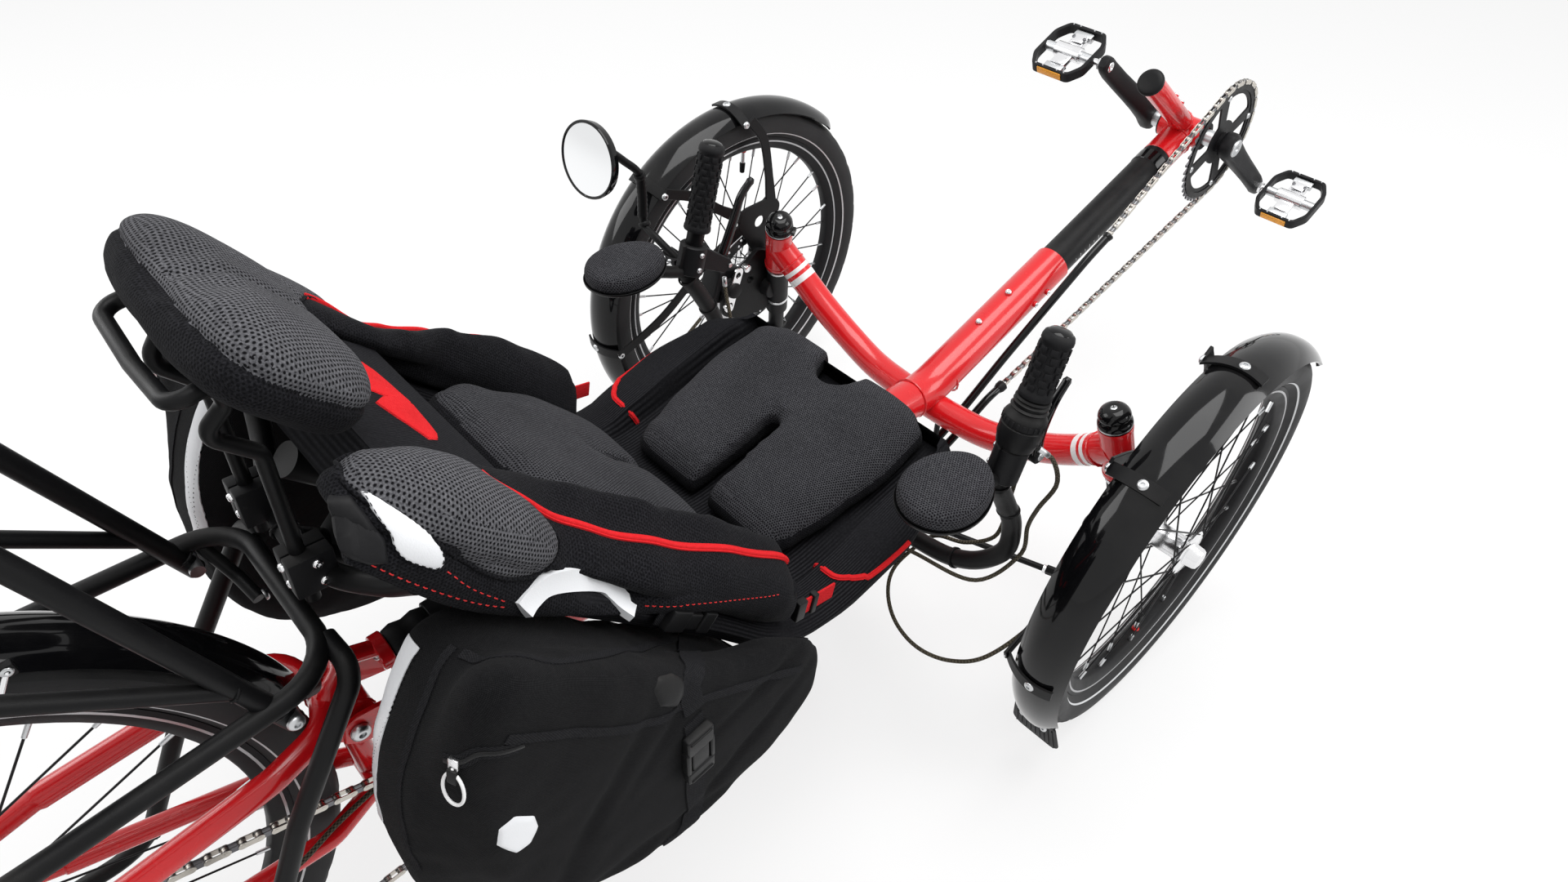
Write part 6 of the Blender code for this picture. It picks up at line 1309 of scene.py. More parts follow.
def uprights():
    """Kingpin post, arm, caliper with its drilled plate, bolts and bellows."""
    for side, label in SIDES:
        parts = [(bar(kingpin_at(HEAD_LOW_Z - 0.001), kingpin_at(0.195), 0.0165, 32, 0.0016), MATT),
            (bar(kingpin_at(0.2), kingpin_at(0.15), 0.012, 28, 0.0014), MATT),
            (bar(kingpin_at(0.374), kingpin_at(0.285), 0.01, 24), BRUSHED)]
        for z in (0.288, 0.222):
            ring = [(0.0174, 0.0016), (0.0174, -0.0016), (0.016, -0.0022), (0.016, 0.0022)]
            add(parts, BRUSHED, turned(ring, 32, True, placed(kingpin_at(z), KINGPIN_DOWN)))
        add(parts, MATT, bar((0.296, 0.004, FRONT_R), (0.334, 0.0, FRONT_R), 0.015, 28, 0.001))
        add(parts, BRUSHED, bar((0.3, 0.0, FRONT_R), (0.4065, 0.0, FRONT_R), 0.0086, 24, 0.0006))
        arm = smooth([(0.3262, 0.052, 0), (0.3245, 0.03, 0), (0.32, -0.01, 0), (0.315, -0.049, 0),
            (0.3145, -0.058, 0)], 16)
        widths = [0.018 + 0.008 * math.sin(math.pi * min(1.0, i / 9)) for i in range(10)] + [0.0175, 0.017,
            0.0165, 0.016, 0.0145, 0.01]
        plate_z = ROD_OUTER.z - 0.004 - 0.0013 - 0.00375
        add(parts, BLACK, slab(ribbon([(p.x, p.y) for p in arm], widths), 0.0075, (),
            Matrix.Translation((0, 0, plate_z)), 0.0008))
        for y in (0.036, 0.014):
            add(parts, ALLOY, bolt((0.3235, y, plate_z + 0.0036), (0, 0, 1), 0.0046, 0.0026))
        add(parts, BRUSHED,
            bar(ROD_OUTER - Vector((0, 0, 0.012)), ROD_OUTER + Vector((0, 0, 0.0078)), 0.003, 14))
        add(parts, ALLOY,
            bar(ROD_OUTER + Vector((0, 0, 0.0042)), ROD_OUTER + Vector((0, 0, 0.0078)), 0.0052, 6))
        outline = rounded([(0.022, 0.3), (-0.012, 0.322), (-0.048, 0.3), (-0.084, 0.27), (-0.086, 0.236),
            (-0.05, 0.214), (0.0, 0.208), (0.03, 0.222)], 0.01, 4)
        holes = [circle(0.006, 20, (-0.03, 0.277)), circle(0.004, 16, (0.012, 0.286))]
        add(parts, BLACK, slab(outline, 0.008, holes, across(0.313), 0.001))
        radial = math.atan2(0.025, -0.065)
        turn = Matrix.Rotation(radial, 4, "X")
        at = Vector((0.33, -0.0655, 0.275))
        add(parts, MATT, block((0.017, 0.04, 0.056), at + Vector((-0.0015, 0, 0)), turn, 0.005, 3),
            block((0.008, 0.04, 0.056), at + Vector((0.0185, 0, 0)), turn, 0.0036, 3),
            block((0.034, 0.012, 0.05), at + turn.to_3x3() @ Vector((0.004, 0.019, 0)), turn, 0.003, 3))
        strap = rounded([(-0.035, -0.008), (0.035, -0.008), (0.035, 0.008), (-0.035, 0.008)], 0.0078, 5)
        holes = [circle(0.0046, 20, (x, 0.0)) for x in (-0.024, 0.0, 0.024)]
        drilled = slab(strap, 0.003, holes, None, 0.0005)
        stand = Matrix.Translation((0.306, -0.0655, 0.275)) @ turn @ turned_y(90)
        add(parts, ALLOY, drilled.moved(stand))
        add(parts, SOFT_RUBBER, turned([(0.0, 0.019), (0.008, 0.0186), (0.011, 0.017), (0.0118, 0.014),
            (0.013, 0.012), (0.0122, 0.0098), (0.0138, 0.0078), (0.0128, 0.0056), (0.0146, 0.0034),
            (0.0146, 0.0)], 28, matrix=placed((0.318, -0.0655, 0.275), (-1, 0, 0))))
        for y, z in ((-0.04, 0.302), (-0.078, 0.252)):
            add(parts, ALLOY, bar((0.3025, y, z), (0.312, y, z), 0.0062, 20, 0.0008),
                bolt((0.303, y, z), (-1, 0, 0), 0.0052, 0.001))
        add(parts, MATT, bar(kingpin_at(0.279), (0.329, 0.018, 0.302), 0.0085, 24, 0.0008))
        make("dressed_upright_" + label, label + "_knuckle", [(s.on_side(side), look) for s, look in parts],
            40.0, ("upright_" + label,))
        way = sided(side, -KINGPIN_DOWN)
        place = placed(kingpin_at(HEAD_TOP_Z + 0.0003, side), way)
        dome = [(0.0045, 0.0272), (0.0075, 0.0274), (0.0115, 0.0262), (0.0155, 0.0232), (0.0178, 0.019),
            (0.0184, 0.016), (0.0172, 0.0132), (0.016, 0.012), (0.018, 0.01), (0.0195, 0.008),
            (0.0195, 0.001), (0.0188, 0.0), (0.011, 0.0)]
        parts = [(turned([(0.0, 0.0258)] + dome, 44, matrix=place), GLOSS)]
        washer = turned([(0.0199, 0.0006), (0.0199, -0.0006), (0.0185, -0.0006), (0.0185, 0.0006)], 40,
            True, place @ Matrix.Translation((0, 0, 0.0034)))
        add(parts, BRUSHED, washer)
        screw = turned([(0.0, 0.0276), (0.0026, 0.0276), (0.004, 0.0268), (0.0044, 0.0258)], 20,
            matrix=place)
        add(parts, BRUSHED, screw)
        for quarter in (0, 1):
            slot_cut = block((0.0052, 0.0009, 0.0008), (0, 0, 0.0275),
                Matrix.Rotation(math.radians(90 * quarter), 4, "Z"), 0.0001, 1)
            add(parts, PLASTIC, slot_cut.moved(place))
        clamp = block((0.009, 0.012, 0.007), (0.019, 0, 0.0042), None, 0.0012)
        add(parts, GLOSS,
            clamp.moved(place @ Matrix.Rotation(math.radians(200 if side > 0 else -20), 4, "Z")))
        make("kingpin_dome_" + label, label + "_knuckle", parts, 45.0,
            ("kingpin_cap_" + label,))


def shell_arc(radius, half, drop, thickness, start, end, steps, rows=12, lip=0.0):
    """Mudguard: a bowed strip with rolled edges swept round the wheel."""
    outside, inside = [], []
    for k in range(rows + 1):
        u = -1.0 + 2.0 * k / rows
        fall = drop * abs(u) ** 2.3
        outside.append((half * u, radius - fall))
        inside.append((half * u * (1 - thickness / half), radius - fall - thickness))
    outline = outside + inside[::-1]
    rings = []
    for i in range(steps + 1):
        a = start + (end - start) * i / steps
        taper = 1.0
        edge = min(i, steps - i) / 3
        if edge < 1.0 and lip:
            taper = 1.0 - lip * (1.0 - edge) ** 2
        rings.append([Vector((x * taper, r * math.cos(a), r * math.sin(a))) for x, r in outline])
    return skin(rings)


def front_fenders():
    """Front mudguards with ribbed flaps, and their three-armed brackets with screws."""
    for side, label in SIDES:
        centre = sided(side, FRONT_CENTRES[1])
        arc = shell_arc(FENDER_R, FENDER_HALF, 0.014, 0.002, math.radians(46), math.radians(212), 84, 16,
            0.22).at(centre)
        parts = [(arc, GLOSS)]
        a = math.radians(211)
        base = centre + ray(a) * (FENDER_R - 0.004) + Vector((0, 0.0052, 0))
        outline = rounded([(-0.027, 0.012), (0.027, 0.012), (0.032, -0.05), (0.024, -0.063),
            (-0.024, -0.063), (-0.032, -0.05)], 0.006, 3)
        hang = Matrix.Translation(base) @ turned_x(18) @ Matrix.Rotation(math.radians(90), 4, "X")
        add(parts, SOFT_RUBBER, slab(outline, 0.0024, (), hang, 0.0005))
        for k in range(9):
            x = -0.024 + 0.006 * k
            lean = math.radians(-x * 320)
            turn = Matrix.Rotation(-lean * 0.35, 4, "Z")
            for z in (-0.0016, 0.0016):
                rib = block((0.0016, 0.058, 0.0014), (x * 1.02, -0.028, z), turn, 0.0005)
                add(parts, SOFT_RUBBER, rib.moved(hang))
        for x in (-0.014, 0.014):
            add(parts, BRUSHED, bolt(base + Vector((x, -0.004, -0.001)), (0, -1, 0.3), 0.0042, 0.002))
        make("moulded_front_" + label + "_fender", label + "_knuckle", parts, 40.0,
            ("front_" + label + "_fender",))
        outline = rounded([(0.004, 0.288), (0.03, 0.288), (0.054, 0.36), (0.04, 0.376), (-0.02, 0.376),
            (-0.03, 0.352)], 0.008, 4)
        parts = [(slab(outline, 0.004, [circle(0.009, 20, (0.012, 0.345))], across(0.336), 0.0006), BLACK)]
        arms = (([(0.036, 0.362), (0.031, 0.42), (0.022, 0.47), (-0.001, 0.5055)], 0.0038),
            ([(-0.016, 0.36), (-0.06, 0.392), (-0.105, 0.43), (-0.1515, 0.4525)], 0.0036),
            ([(-0.012, 0.35), (-0.095, 0.315), (-0.175, 0.265), (-0.2545, 0.237)], 0.0034))
        for line, thick in arms:
            line = [(p.x, p.y) for p in smooth([(y, z, 0.0) for y, z in line], 20)]
            widths = [0.014 + 0.006 * max(0.0, 1.0 - i / 6) for i in range(20)]
            add(parts, BLACK, slab(ribbon(line, widths), thick, (), across(0.336), 0.0007))
        for y, z in ((0.014, 0.3), (0.02, 0.314)):
            add(parts, BRUSHED, bolt((0.3384, y, z), (1, 0, 0), 0.0046, 0.0024))
        for angle in (92.0, 127.5, 183.0):
            a = math.radians(angle)
            place = Vector((TRACK / 2, 0.0, FRONT_R))
            strap = []
            for i in range(3):
                t = a - 0.028 + 0.028 * i
                ring = []
                for order, stand in ((range(15), 0.004), (range(14, -1, -1), 0.001)):
                    for k in order:
                        u = -1.0 + 1.6 * k / 14
                        r = FENDER_R + stand - 0.015 * abs(u) ** 2.0
                        ring.append(Vector((u * (FENDER_HALF + 0.0085), r * math.cos(t), r * math.sin(t))))
                strap.append(ring)
            add(parts, BLACK, skin(strap).at(place))
            out = ray(a)
            add(parts, BRUSHED, bolt(place + out * (FENDER_R + 0.0034), out, 0.0056, 0.0026))
            foot = place + out * (FENDER_R - 0.012) + Vector((-0.0395, 0, 0))
            add(parts, BRUSHED, bolt(foot, (-1, 0, 0), 0.0048, 0.0024))
        make("dressed_front_" + label + "_bracket", label + "_knuckle", [(s.on_side(side), look) for s,
            look in parts], 40.0, ("front_" + label + "_fender_bracket",))


def mirror():
    """Bent stalk with its clamp, ball joint and a round glass in a black shell."""
    root = grip_at(0.164, -1)
    stalk = smooth([root + Vector((-0.0215, 0, 0)), (-0.3, -0.196, 0.42), (-0.327, -0.196, 0.432),
        (-0.331, -0.192, 0.47), (-0.331, -0.194, 0.5), (-0.331, -0.214, 0.524),
        MIRROR_BALL + Vector((0, 0.009, 0))], 60)
    radii = [0.005] * 60
    for i in range(24, 42):
        radii[i] = 0.0062 + 0.0006 * (i % 2)
    parts = [(sweep(stalk, radii, 20), BLACK), (ball(MIRROR_BALL, 0.0085), GLOSS),
        (block((0.03, 0.02, 0.01), root + Vector((-0.0335, 0, 0)), None, 0.002, 3), MATT)]
    for x in (-0.028, -0.04):
        add(parts, BRUSHED, bolt(root + Vector((x, -0.01, 0)), (0, -1, 0), 0.0038, 0.002))
    for share in (0.36, 0.72):
        i = int(share * 59)
        way = (stalk[i + 1] - stalk[i]).normalized()
        add(parts, PLASTIC, turned([(0.0072, 0.003), (0.0078, 0.002), (0.0078, -0.002), (0.0072, -0.003),
            (0.0048, -0.003), (0.0048, 0.003)], 24, True, placed(stalk[i], way)))
    make("mirror_stalk", "steering_bar", parts, 40.0, ("mirror_arm",))
    place = placed(MIRROR_BALL + MIRROR_FACE * 0.023, MIRROR_FACE)
    shell = [(0.042, 0.0086), (0.0432, 0.0098), (0.045, 0.0096), (0.0458, 0.008), (0.0455, 0.005),
        (0.044, -0.001), (0.039, -0.0052), (0.03, -0.0092), (0.02, -0.0126), (0.0145, -0.015),
        (0.0134, -0.019), (0.013, -0.025), (0.012, -0.0258), (0.0102, -0.0258)]
    parts = [(turned(shell, 72, matrix=place), GLOSS)]
    glass = [(0.0, 0.0094), (0.014, 0.0093), (0.028, 0.009), (0.042, 0.0085), (0.0424, 0.007)]
    add(parts, GLASS, turned(glass, 72, matrix=place))
    make("round_mirror_head", "mirror", parts, 30.0, ("mirror_head",))


# Seat, drawn along its side line: s runs back and up it, t stands off it
SEAT_RUN = smooth([(0.0, y, z) for y, z in SEAT_LINE], 61)
SEAT_LENGTH = [0.0]
for here, there in zip(SEAT_RUN, SEAT_RUN[1:]):
    SEAT_LENGTH.append(SEAT_LENGTH[-1] + (there - here).length)
SOFT = []


def on_seat(x, s, t):
    """World point for a place across, along and off the seat's side line."""
    k = 0
    while k < len(SEAT_RUN) - 2 and SEAT_LENGTH[k + 1] < s:
        k += 1
    a, b = SEAT_RUN[k], SEAT_RUN[k + 1]
    here = a + (b - a) * ((s - SEAT_LENGTH[k]) / (SEAT_LENGTH[k + 1] - SEAT_LENGTH[k]))
    before, after = SEAT_RUN[max(k - 3, 0)], SEAT_RUN[min(k + 4, len(SEAT_RUN) - 1)]
    way = (after - before).normalized()
    return Vector((x, here.y + way.z * t, here.z - way.y * t))


def seat_frame_at(s):
    """Along and off directions of the seat at s."""
    way = (on_seat(0, s + 0.01, 0) - on_seat(0, s - 0.01, 0)).normalized()
    return way, Vector((0.0, way.z, -way.y))


def seat_places(points):
    """The (x, s, t) of many world points near the seat, from the closest stretch of its line."""
    best = np.full(len(points), 1e9)
    out = np.zeros((len(points), 3))
    for k in range(len(SEAT_RUN) - 1):
        a, b = SEAT_RUN[k], SEAT_RUN[k + 1]
        way = (b - a).normalized()
        y, z = points[:, 1] - a.y, points[:, 2] - a.z
        run, off = y * way.y + z * way.z, y * way.z - z * way.y
        step = np.clip(run, 0.0, (b - a).length)
        gap = np.hypot(run - step, off)
        near = gap < best
        best[near] = gap[near]
        out[near] = np.stack((points[:, 0], SEAT_LENGTH[k] + step, off), 1)[near]
    return out


def spots(mesh, kind="vertices"):
    """Points and normals of a mesh in the drawing's frame."""
    things = mesh.vertices if kind == "vertices" else mesh.polygons
    found = []
    for label in ("co" if kind == "vertices" else "center", "normal"):
        values = np.empty(3 * len(things))
        things.foreach_get(label, values)
        found.append(values.reshape(-1, 3))
    return found[0] - np.array(DATUM), found[1]


def stations(rows, count):
    """Rows of numbers eased into more rows, the first number rising evenly."""
    start, end = rows[0][0], rows[-1][0]
    out = []
    for i in range(count):
        s = start + (end - start) * i / (count - 1)
        k = 0
        while k < len(rows) - 2 and rows[k + 1][0] < s:
            k += 1
        share = (s - rows[k][0]) / (rows[k + 1][0] - rows[k][0])
        ease = share * share * (3 - 2 * share)
        out.append((s, *(a + (b - a) * ease for a, b in zip(rows[k][1:], rows[k + 1][1:]))))
    return out


def round_ring(ring, steps=2):
    """A closed ring with its corners cut round and round again."""
    for _ in range(steps):
        out = []
        for i, p in enumerate(ring):
            q = ring[(i + 1) % len(ring)]
            out += [p.lerp(q, 0.25), p.lerp(q, 0.75)]
        ring = out
    return ring


def flat_pattern(obj, seat=False):
    """Pattern coordinates in metres, laid on from the side that each face looks to."""
    mesh = obj.data
    flat = mesh.uv_layers.get("pattern") or mesh.uv_layers.new(name="pattern")
    places, _ = spots(mesh)
    if seat:
        places = seat_places(places)
    corner = np.empty(len(mesh.loops), dtype=np.int32)
    mesh.loops.foreach_get("vertex_index", corner)
    start = np.empty(len(mesh.polygons), dtype=np.int32)
    mesh.polygons.foreach_get("loop_start", start)
    total = np.empty(len(mesh.polygons), dtype=np.int32)
    mesh.polygons.foreach_get("loop_total", total)
    a, b, c = (places[corner[start + k]] for k in (0, 1, 2))
    normal = np.abs(np.cross(b - a, c - a)) * np.array((1.0, 1.0, 1.25) if seat else (1.25, 1.0, 1.0))
    axis = np.repeat(normal.argmax(axis=1), total)
    pairs = np.array(((1, 2), (0, 2), (0, 1)))[axis]
    where = places[corner]
    rows = np.arange(len(corner))
    values = np.stack((where[rows, pairs[:, 0]], where[rows, pairs[:, 1]]), 1)
    flat.data.foreach_set("uv", values.ravel())


def soft_piece(name, body, shape, looks, replaces, voxel, cap, fill, pick=None, seat=True,
        dents=None):
    """A padded piece, remeshed evenly, to be swelled by the cloth pass below."""
    obj = make(name, body, [(shape, looks[0])], 60.0, replaces)
    for look in looks[1:]:
        obj.data.materials.append(look)
    mod = obj.modifiers.new("even_mesh", "REMESH")
    mod.mode = "VOXEL"
    mod.voxel_size = voxel
    mod.use_smooth_shade = True
    mesh = bpy.data.meshes.new_from_object(obj.evaluated_get(bpy.context.evaluated_depsgraph_get()))
    obj.modifiers.clear()
    obj.data = mesh
    mesh.materials.clear()
    for look in looks:
        mesh.materials.append(look)
    SOFT.append((obj, cap, fill, pick, seat, dents))
    return obj


def swell():
    """One cloth pass for every padded piece at once, its motion capped, then smoothed."""
    rest = {}
    scene = bpy.context.scene
    for obj, cap, *_ in SOFT:
        rest[obj.name] = [v.co.copy() for v in obj.data.vertices]
        cloth = obj.modifiers.new("swell", "CLOTH")
        cloth.settings.quality = 5
        cloth.settings.mass = 0.2
        cloth.settings.tension_stiffness = 12
        cloth.settings.compression_stiffness = 12
        cloth.settings.shear_stiffness = 4
        cloth.settings.bending_stiffness = 0.4
        cloth.settings.use_pressure = True
        cloth.settings.uniform_pressure_force = 4.0
        cloth.settings.effector_weights.gravity = 0.0
        cloth.collision_settings.use_collision = False
        cloth.point_cache.frame_start = 1
        cloth.point_cache.frame_end = 20
    for step in range(1, 21):
        scene.frame_set(step)
    graph = bpy.context.evaluated_depsgraph_get()
    for obj, cap, *_ in SOFT:
        moved = [v.co.copy() for v in obj.evaluated_get(graph).data.vertices]
        obj.modifiers.clear()
        for vertex, before, after in zip(obj.data.vertices, rest[obj.name], moved):
            reach = after - before
            if reach.length > cap:
                reach = reach * (cap / reach.length)
            vertex.co = before + reach
    scene.frame_set(1)
    for obj, cap, fill, pick, seat, dents in SOFT:
        ease = obj.modifiers.new("ease", "SMOOTH")
        ease.iterations = 6
        ease.factor = 0.5
        finer = obj.modifiers.new("finer", "SUBSURF")
        finer.levels = finer.render_levels = 1
        mesh = bpy.data.meshes.new_from_object(obj.evaluated_get(bpy.context.evaluated_depsgraph_get()))
        obj.modifiers.clear()
        obj.data = mesh
        if dents:
            mesh.vertices.foreach_set("co", (dents(*spots(mesh)) + np.array(DATUM)).ravel())
            mesh.update()
        if pick:
            mesh.polygons.foreach_set("material_index", pick(*spots(mesh, "polygons")).astype(np.int32))
        flat_pattern(obj, seat)
        mesh.shade_smooth()


def cut_out(shape, cutters):
    """A shape less other closed shapes, as one mesh."""
    work = []
    for part in (shape, *cutters):
        mesh = bpy.data.meshes.new("cutting")
        mesh.from_pydata(part.points, [], part.faces)
        obj = bpy.data.objects.new("cutting", mesh)
        bpy.context.scene.collection.objects.link(obj)
        work.append(obj)
    for cutter in work[1:]:
        mod = work[0].modifiers.new("cut", "BOOLEAN")
        mod.operation = "DIFFERENCE"
        mod.solver = "EXACT"
        mod.object = cutter
    mesh = bpy.data.meshes.new_from_object(work[0].evaluated_get(bpy.context.evaluated_depsgraph_get()))
    left = Shape([v.co.copy() for v in mesh.vertices], [list(f.vertices) for f in mesh.polygons])
    for obj in work:
        bpy.data.objects.remove(obj)
    return left


def pad_shape(rows, low, count=34):
    crown = [(-1.0, 0.2), (-0.985, 0.45), (-0.95, 0.68), (-0.88, 0.84), (-0.76, 0.94), (-0.55, 0.985),
        (-0.25, 1.0), (0.0, 1.0), (0.25, 1.0), (0.55, 0.985), (0.76, 0.94), (0.88, 0.84), (0.95, 0.68),
        (0.985, 0.45), (1.0, 0.2), (0.97, 0.02), (0.5, 0.0), (0.0, 0.0), (-0.5, 0.0), (-0.97, 0.02)]
    rings = [[on_seat(u * half, s, low + (high - low) * v) for u, v in crown] for s, half,
        high in stations(rows, count)]
    return skin(rings)


def groove_shape(points, width, depth, count=18):
    rings = []
    for s, w in stations(points, count):
        rings.append([on_seat(x * w * width / 2, s, t) for x,
            t in ((-1, -depth), (1, -depth), (1, depth), (-1, depth))])
    return skin(rings)


def seat_pads():
    """Cushion, back pad and side bolsters, each from its own crowned form."""
    cushion = pad_shape([(0.004, 0.082, -0.02), (0.012, 0.118, -0.009), (0.032, 0.142, -0.003),
        (0.1, 0.146, -0.002), (0.17, 0.138, -0.003), (0.222, 0.128, -0.005), (0.238, 0.119, -0.012),
        (0.245, 0.109, -0.024)], -0.04)
    cushion = cut_out(cushion, [groove_shape([(0.128, 0.3), (0.134, 0.9), (0.15, 1.0), (0.23, 1.3),
        (0.29, 1.6)], 0.0235, 0.06), groove_shape([(-0.02, 1.7), (0.012, 1.12), (0.03, 0.95), (0.042, 0.62),
        (0.048, 0.2)], 0.062, 0.06)])
    soft_piece("grey_seat_cushion", "frame", cushion, (GREY_MESH, BLACK_MESH),
        ("seat_cushion",), 0.0045, 0.005, 0.8, lambda p, n: seat_places(p)[:, 2] < -0.02)
    back = pad_shape([(0.302, 0.092, -0.024), (0.314, 0.109, 0.001), (0.345, 0.119, 0.011),
        (0.42, 0.123, 0.007), (0.5, 0.115, -0.003), (0.543, 0.089, -0.011), (0.556, 0.067, -0.026)], -0.04)
    back = cut_out(back,
        [groove_shape([(0.25, 1.3), (0.33, 1.0), (0.395, 0.8), (0.412, 0.3)], 0.0195, 0.06)])
    soft_piece("grey_back_pad", "frame", back, (GREY_MESH, BLACK_MESH), ("back_pad",), 0.0045,
        0.005, 0.8, lambda p, n: seat_places(p)[:, 2] < -0.02)
    for side, label in SIDES:
        rings = []
        for s, inner, over, crest, high, pipe, pipe_t, outer, low in stations(((0.287, 0.153, 0.153, 0.165,
                -0.012, 0.18, -0.018, 0.194, -0.024), (0.3, 0.147, 0.147, 0.161, 0.023, 0.185, 0.017, 0.211,
                -0.004), (0.335, 0.136, 0.136, 0.161, 0.039, 0.184, 0.029, 0.218, 0.005),
                (0.42, 0.134, 0.133, 0.153, 0.038, 0.181, 0.021, 0.219, -0.002), (0.5, 0.134, 0.126, 0.138,
                0.029, 0.169, 0.005, 0.212, -0.015), (0.562, 0.14, 0.104, 0.111, 0.013, 0.15, -0.004, 0.198,
                -0.023), (0.59, 0.125, 0.098, 0.101, 0.004, 0.143, -0.008, 0.192, -0.03),
                (0.64, 0.111, 0.094, 0.098, -0.002, 0.15, -0.004, 0.194, -0.028), (0.698, 0.098, 0.094, 0.1,
                -0.008, 0.156, -0.004, 0.194, -0.026), (0.74, 0.111, 0.11, 0.116, -0.012, 0.15, -0.008,
                0.182, -0.024), (0.766, 0.127, 0.126, 0.132, -0.019, 0.145, -0.016, 0.16, -0.026)), 44):
            under = min(-0.009, high - 0.005)
            ring = [(inner, -0.0325), (inner, under), (over, under + 0.0005), (crest, high),
                ((crest + pipe) / 2, (high + pipe_t) / 2 + 0.004), (pipe, pipe_t),
                ((pipe + outer) / 2, (pipe_t + low) / 2 + 0.003), (outer, low), (outer - 0.004, -0.0325)]
            rings.append(round_ring([on_seat(side * x, s, t) for x, t in ring], 1))
        soft_piece("mesh_bolster_" + label, "frame", skin(rings), (BLACK_MESH, GREY_MESH),
            ("bolster_" + label,), 0.005, 0.004, 0.7)
    neck_pad()


NECK_BENDS = [LEG_LOW - LEG_DIR * 0.012, LEG_LOW + LEG_DIR * 0.128, (0.047, -0.786, 0.699),
    (0.052, -0.766, 0.718), (0.06, -0.769, 0.74), (0.062, -0.794, 0.737), (0.0, -0.796, 0.732)]


def neck_pad():
    """Pillow with a seam all round, a valley up its middle and a lighter top."""
    rings = []
    for i in range(23):
        share = -0.985 + 1.97 * i / 22
        draw = (1.0 - abs(share) ** 3.8) ** (1.0 / 3.2)
        half = (0.093 + 0.011 * (share + 1.0)) * draw
        ring = []
        for k in range(32):
            a = math.tau * (k + 0.5) / 32
            wide = power(math.cos(a), 0.66)
            off = power(math.sin(a), 0.75) * 0.0315 * draw
            if off > 0:
                off *= 0.76 + 0.24 * min(1.0, (wide / 0.6) ** 2)
            ring.append(on_seat(half * wide, NECK_S + 0.062 * share - 0.087 * off,
                NECK_T + 0.0056 * share + off))
        rings.append(ring)

    def above_seam(p):
        x, s, t = seat_places(p).T
        return x, t - (NECK_T + 0.0042 + 0.05 * (s - NECK_S))

    def seamed(p, n):
        x, over = above_seam(p)
        dip = 0.0022 * np.exp(-(over / 0.003) ** 2)
        dip += np.where(over > 0.006, 0.003 * np.exp(-(x / 0.006) ** 2), 0.0)
        return p - n * dip[:, None]
    soft_piece("neck_rest_pad", "neck_rest", skin(rings), (LIGHT_MESH, BLACK_MESH),
        ("neck_pad",), 0.0045, 0.005, 0.85, lambda p, n: above_seam(p)[1] < 0.0, True, seamed)


def armrest_ring(side, wide, deep, z, count):
    """Outline of an armrest, a little narrower at its front."""
    return [Vector((side * (ARMREST_X + wide * math.cos(a) * (1.0 - 0.1 * math.sin(a))),
        ARMREST_Y + deep * math.sin(a), z)) for a in (math.tau * i / count for i in range(count))]


def armrests():
    """Grey mesh pads over thin black shells that sit on the bar's brackets."""
    for side, label in SIDES:
        rings = []
        for z, grow in ((0.4335, 0.93), (0.435, 0.985), (0.44, 1.0), (0.447, 1.0), (0.453, 0.955),
                (0.457, 0.86), (0.4585, 0.7), (0.459, 0.45), (0.4592, 0.15)):
            rings.append(armrest_ring(side, 0.041 * grow, 0.0515 * grow, z, 48))

        def dished(p, n):
            far = ((np.abs(p[:, 0]) - ARMREST_X) / 0.042) ** 2 + ((p[:, 1] - ARMREST_Y) / 0.0525) ** 2
            low = p.copy()
            low[:, 2] -= np.where(n[:, 2] > 0.3, 0.0042 * np.clip(1.0 - far, 0.0, 1.0), 0.0)
            return low
        soft_piece("armrest_pad_" + label, "steering_bar", skin(rings), (GREY_MESH, BLACK_MESH),
            ("armrest_" + label,), 0.0028, 0.0022, 0.85, lambda p, n: p[:, 2] < 0.4395, False,
            dished)
        shell = []
        for z, grow in ((0.4336, 1.0), (0.435, 1.024), (0.4372, 1.03), (0.4378, 1.02), (0.436, 1.0),
                (0.4345, 0.93)):
            shell.append(armrest_ring(side, 0.0415 * grow, 0.052 * grow, z, 64))
        make("armrest_shell_" + label, "steering_bar", [(skin(shell), PLASTIC)], 40.0)


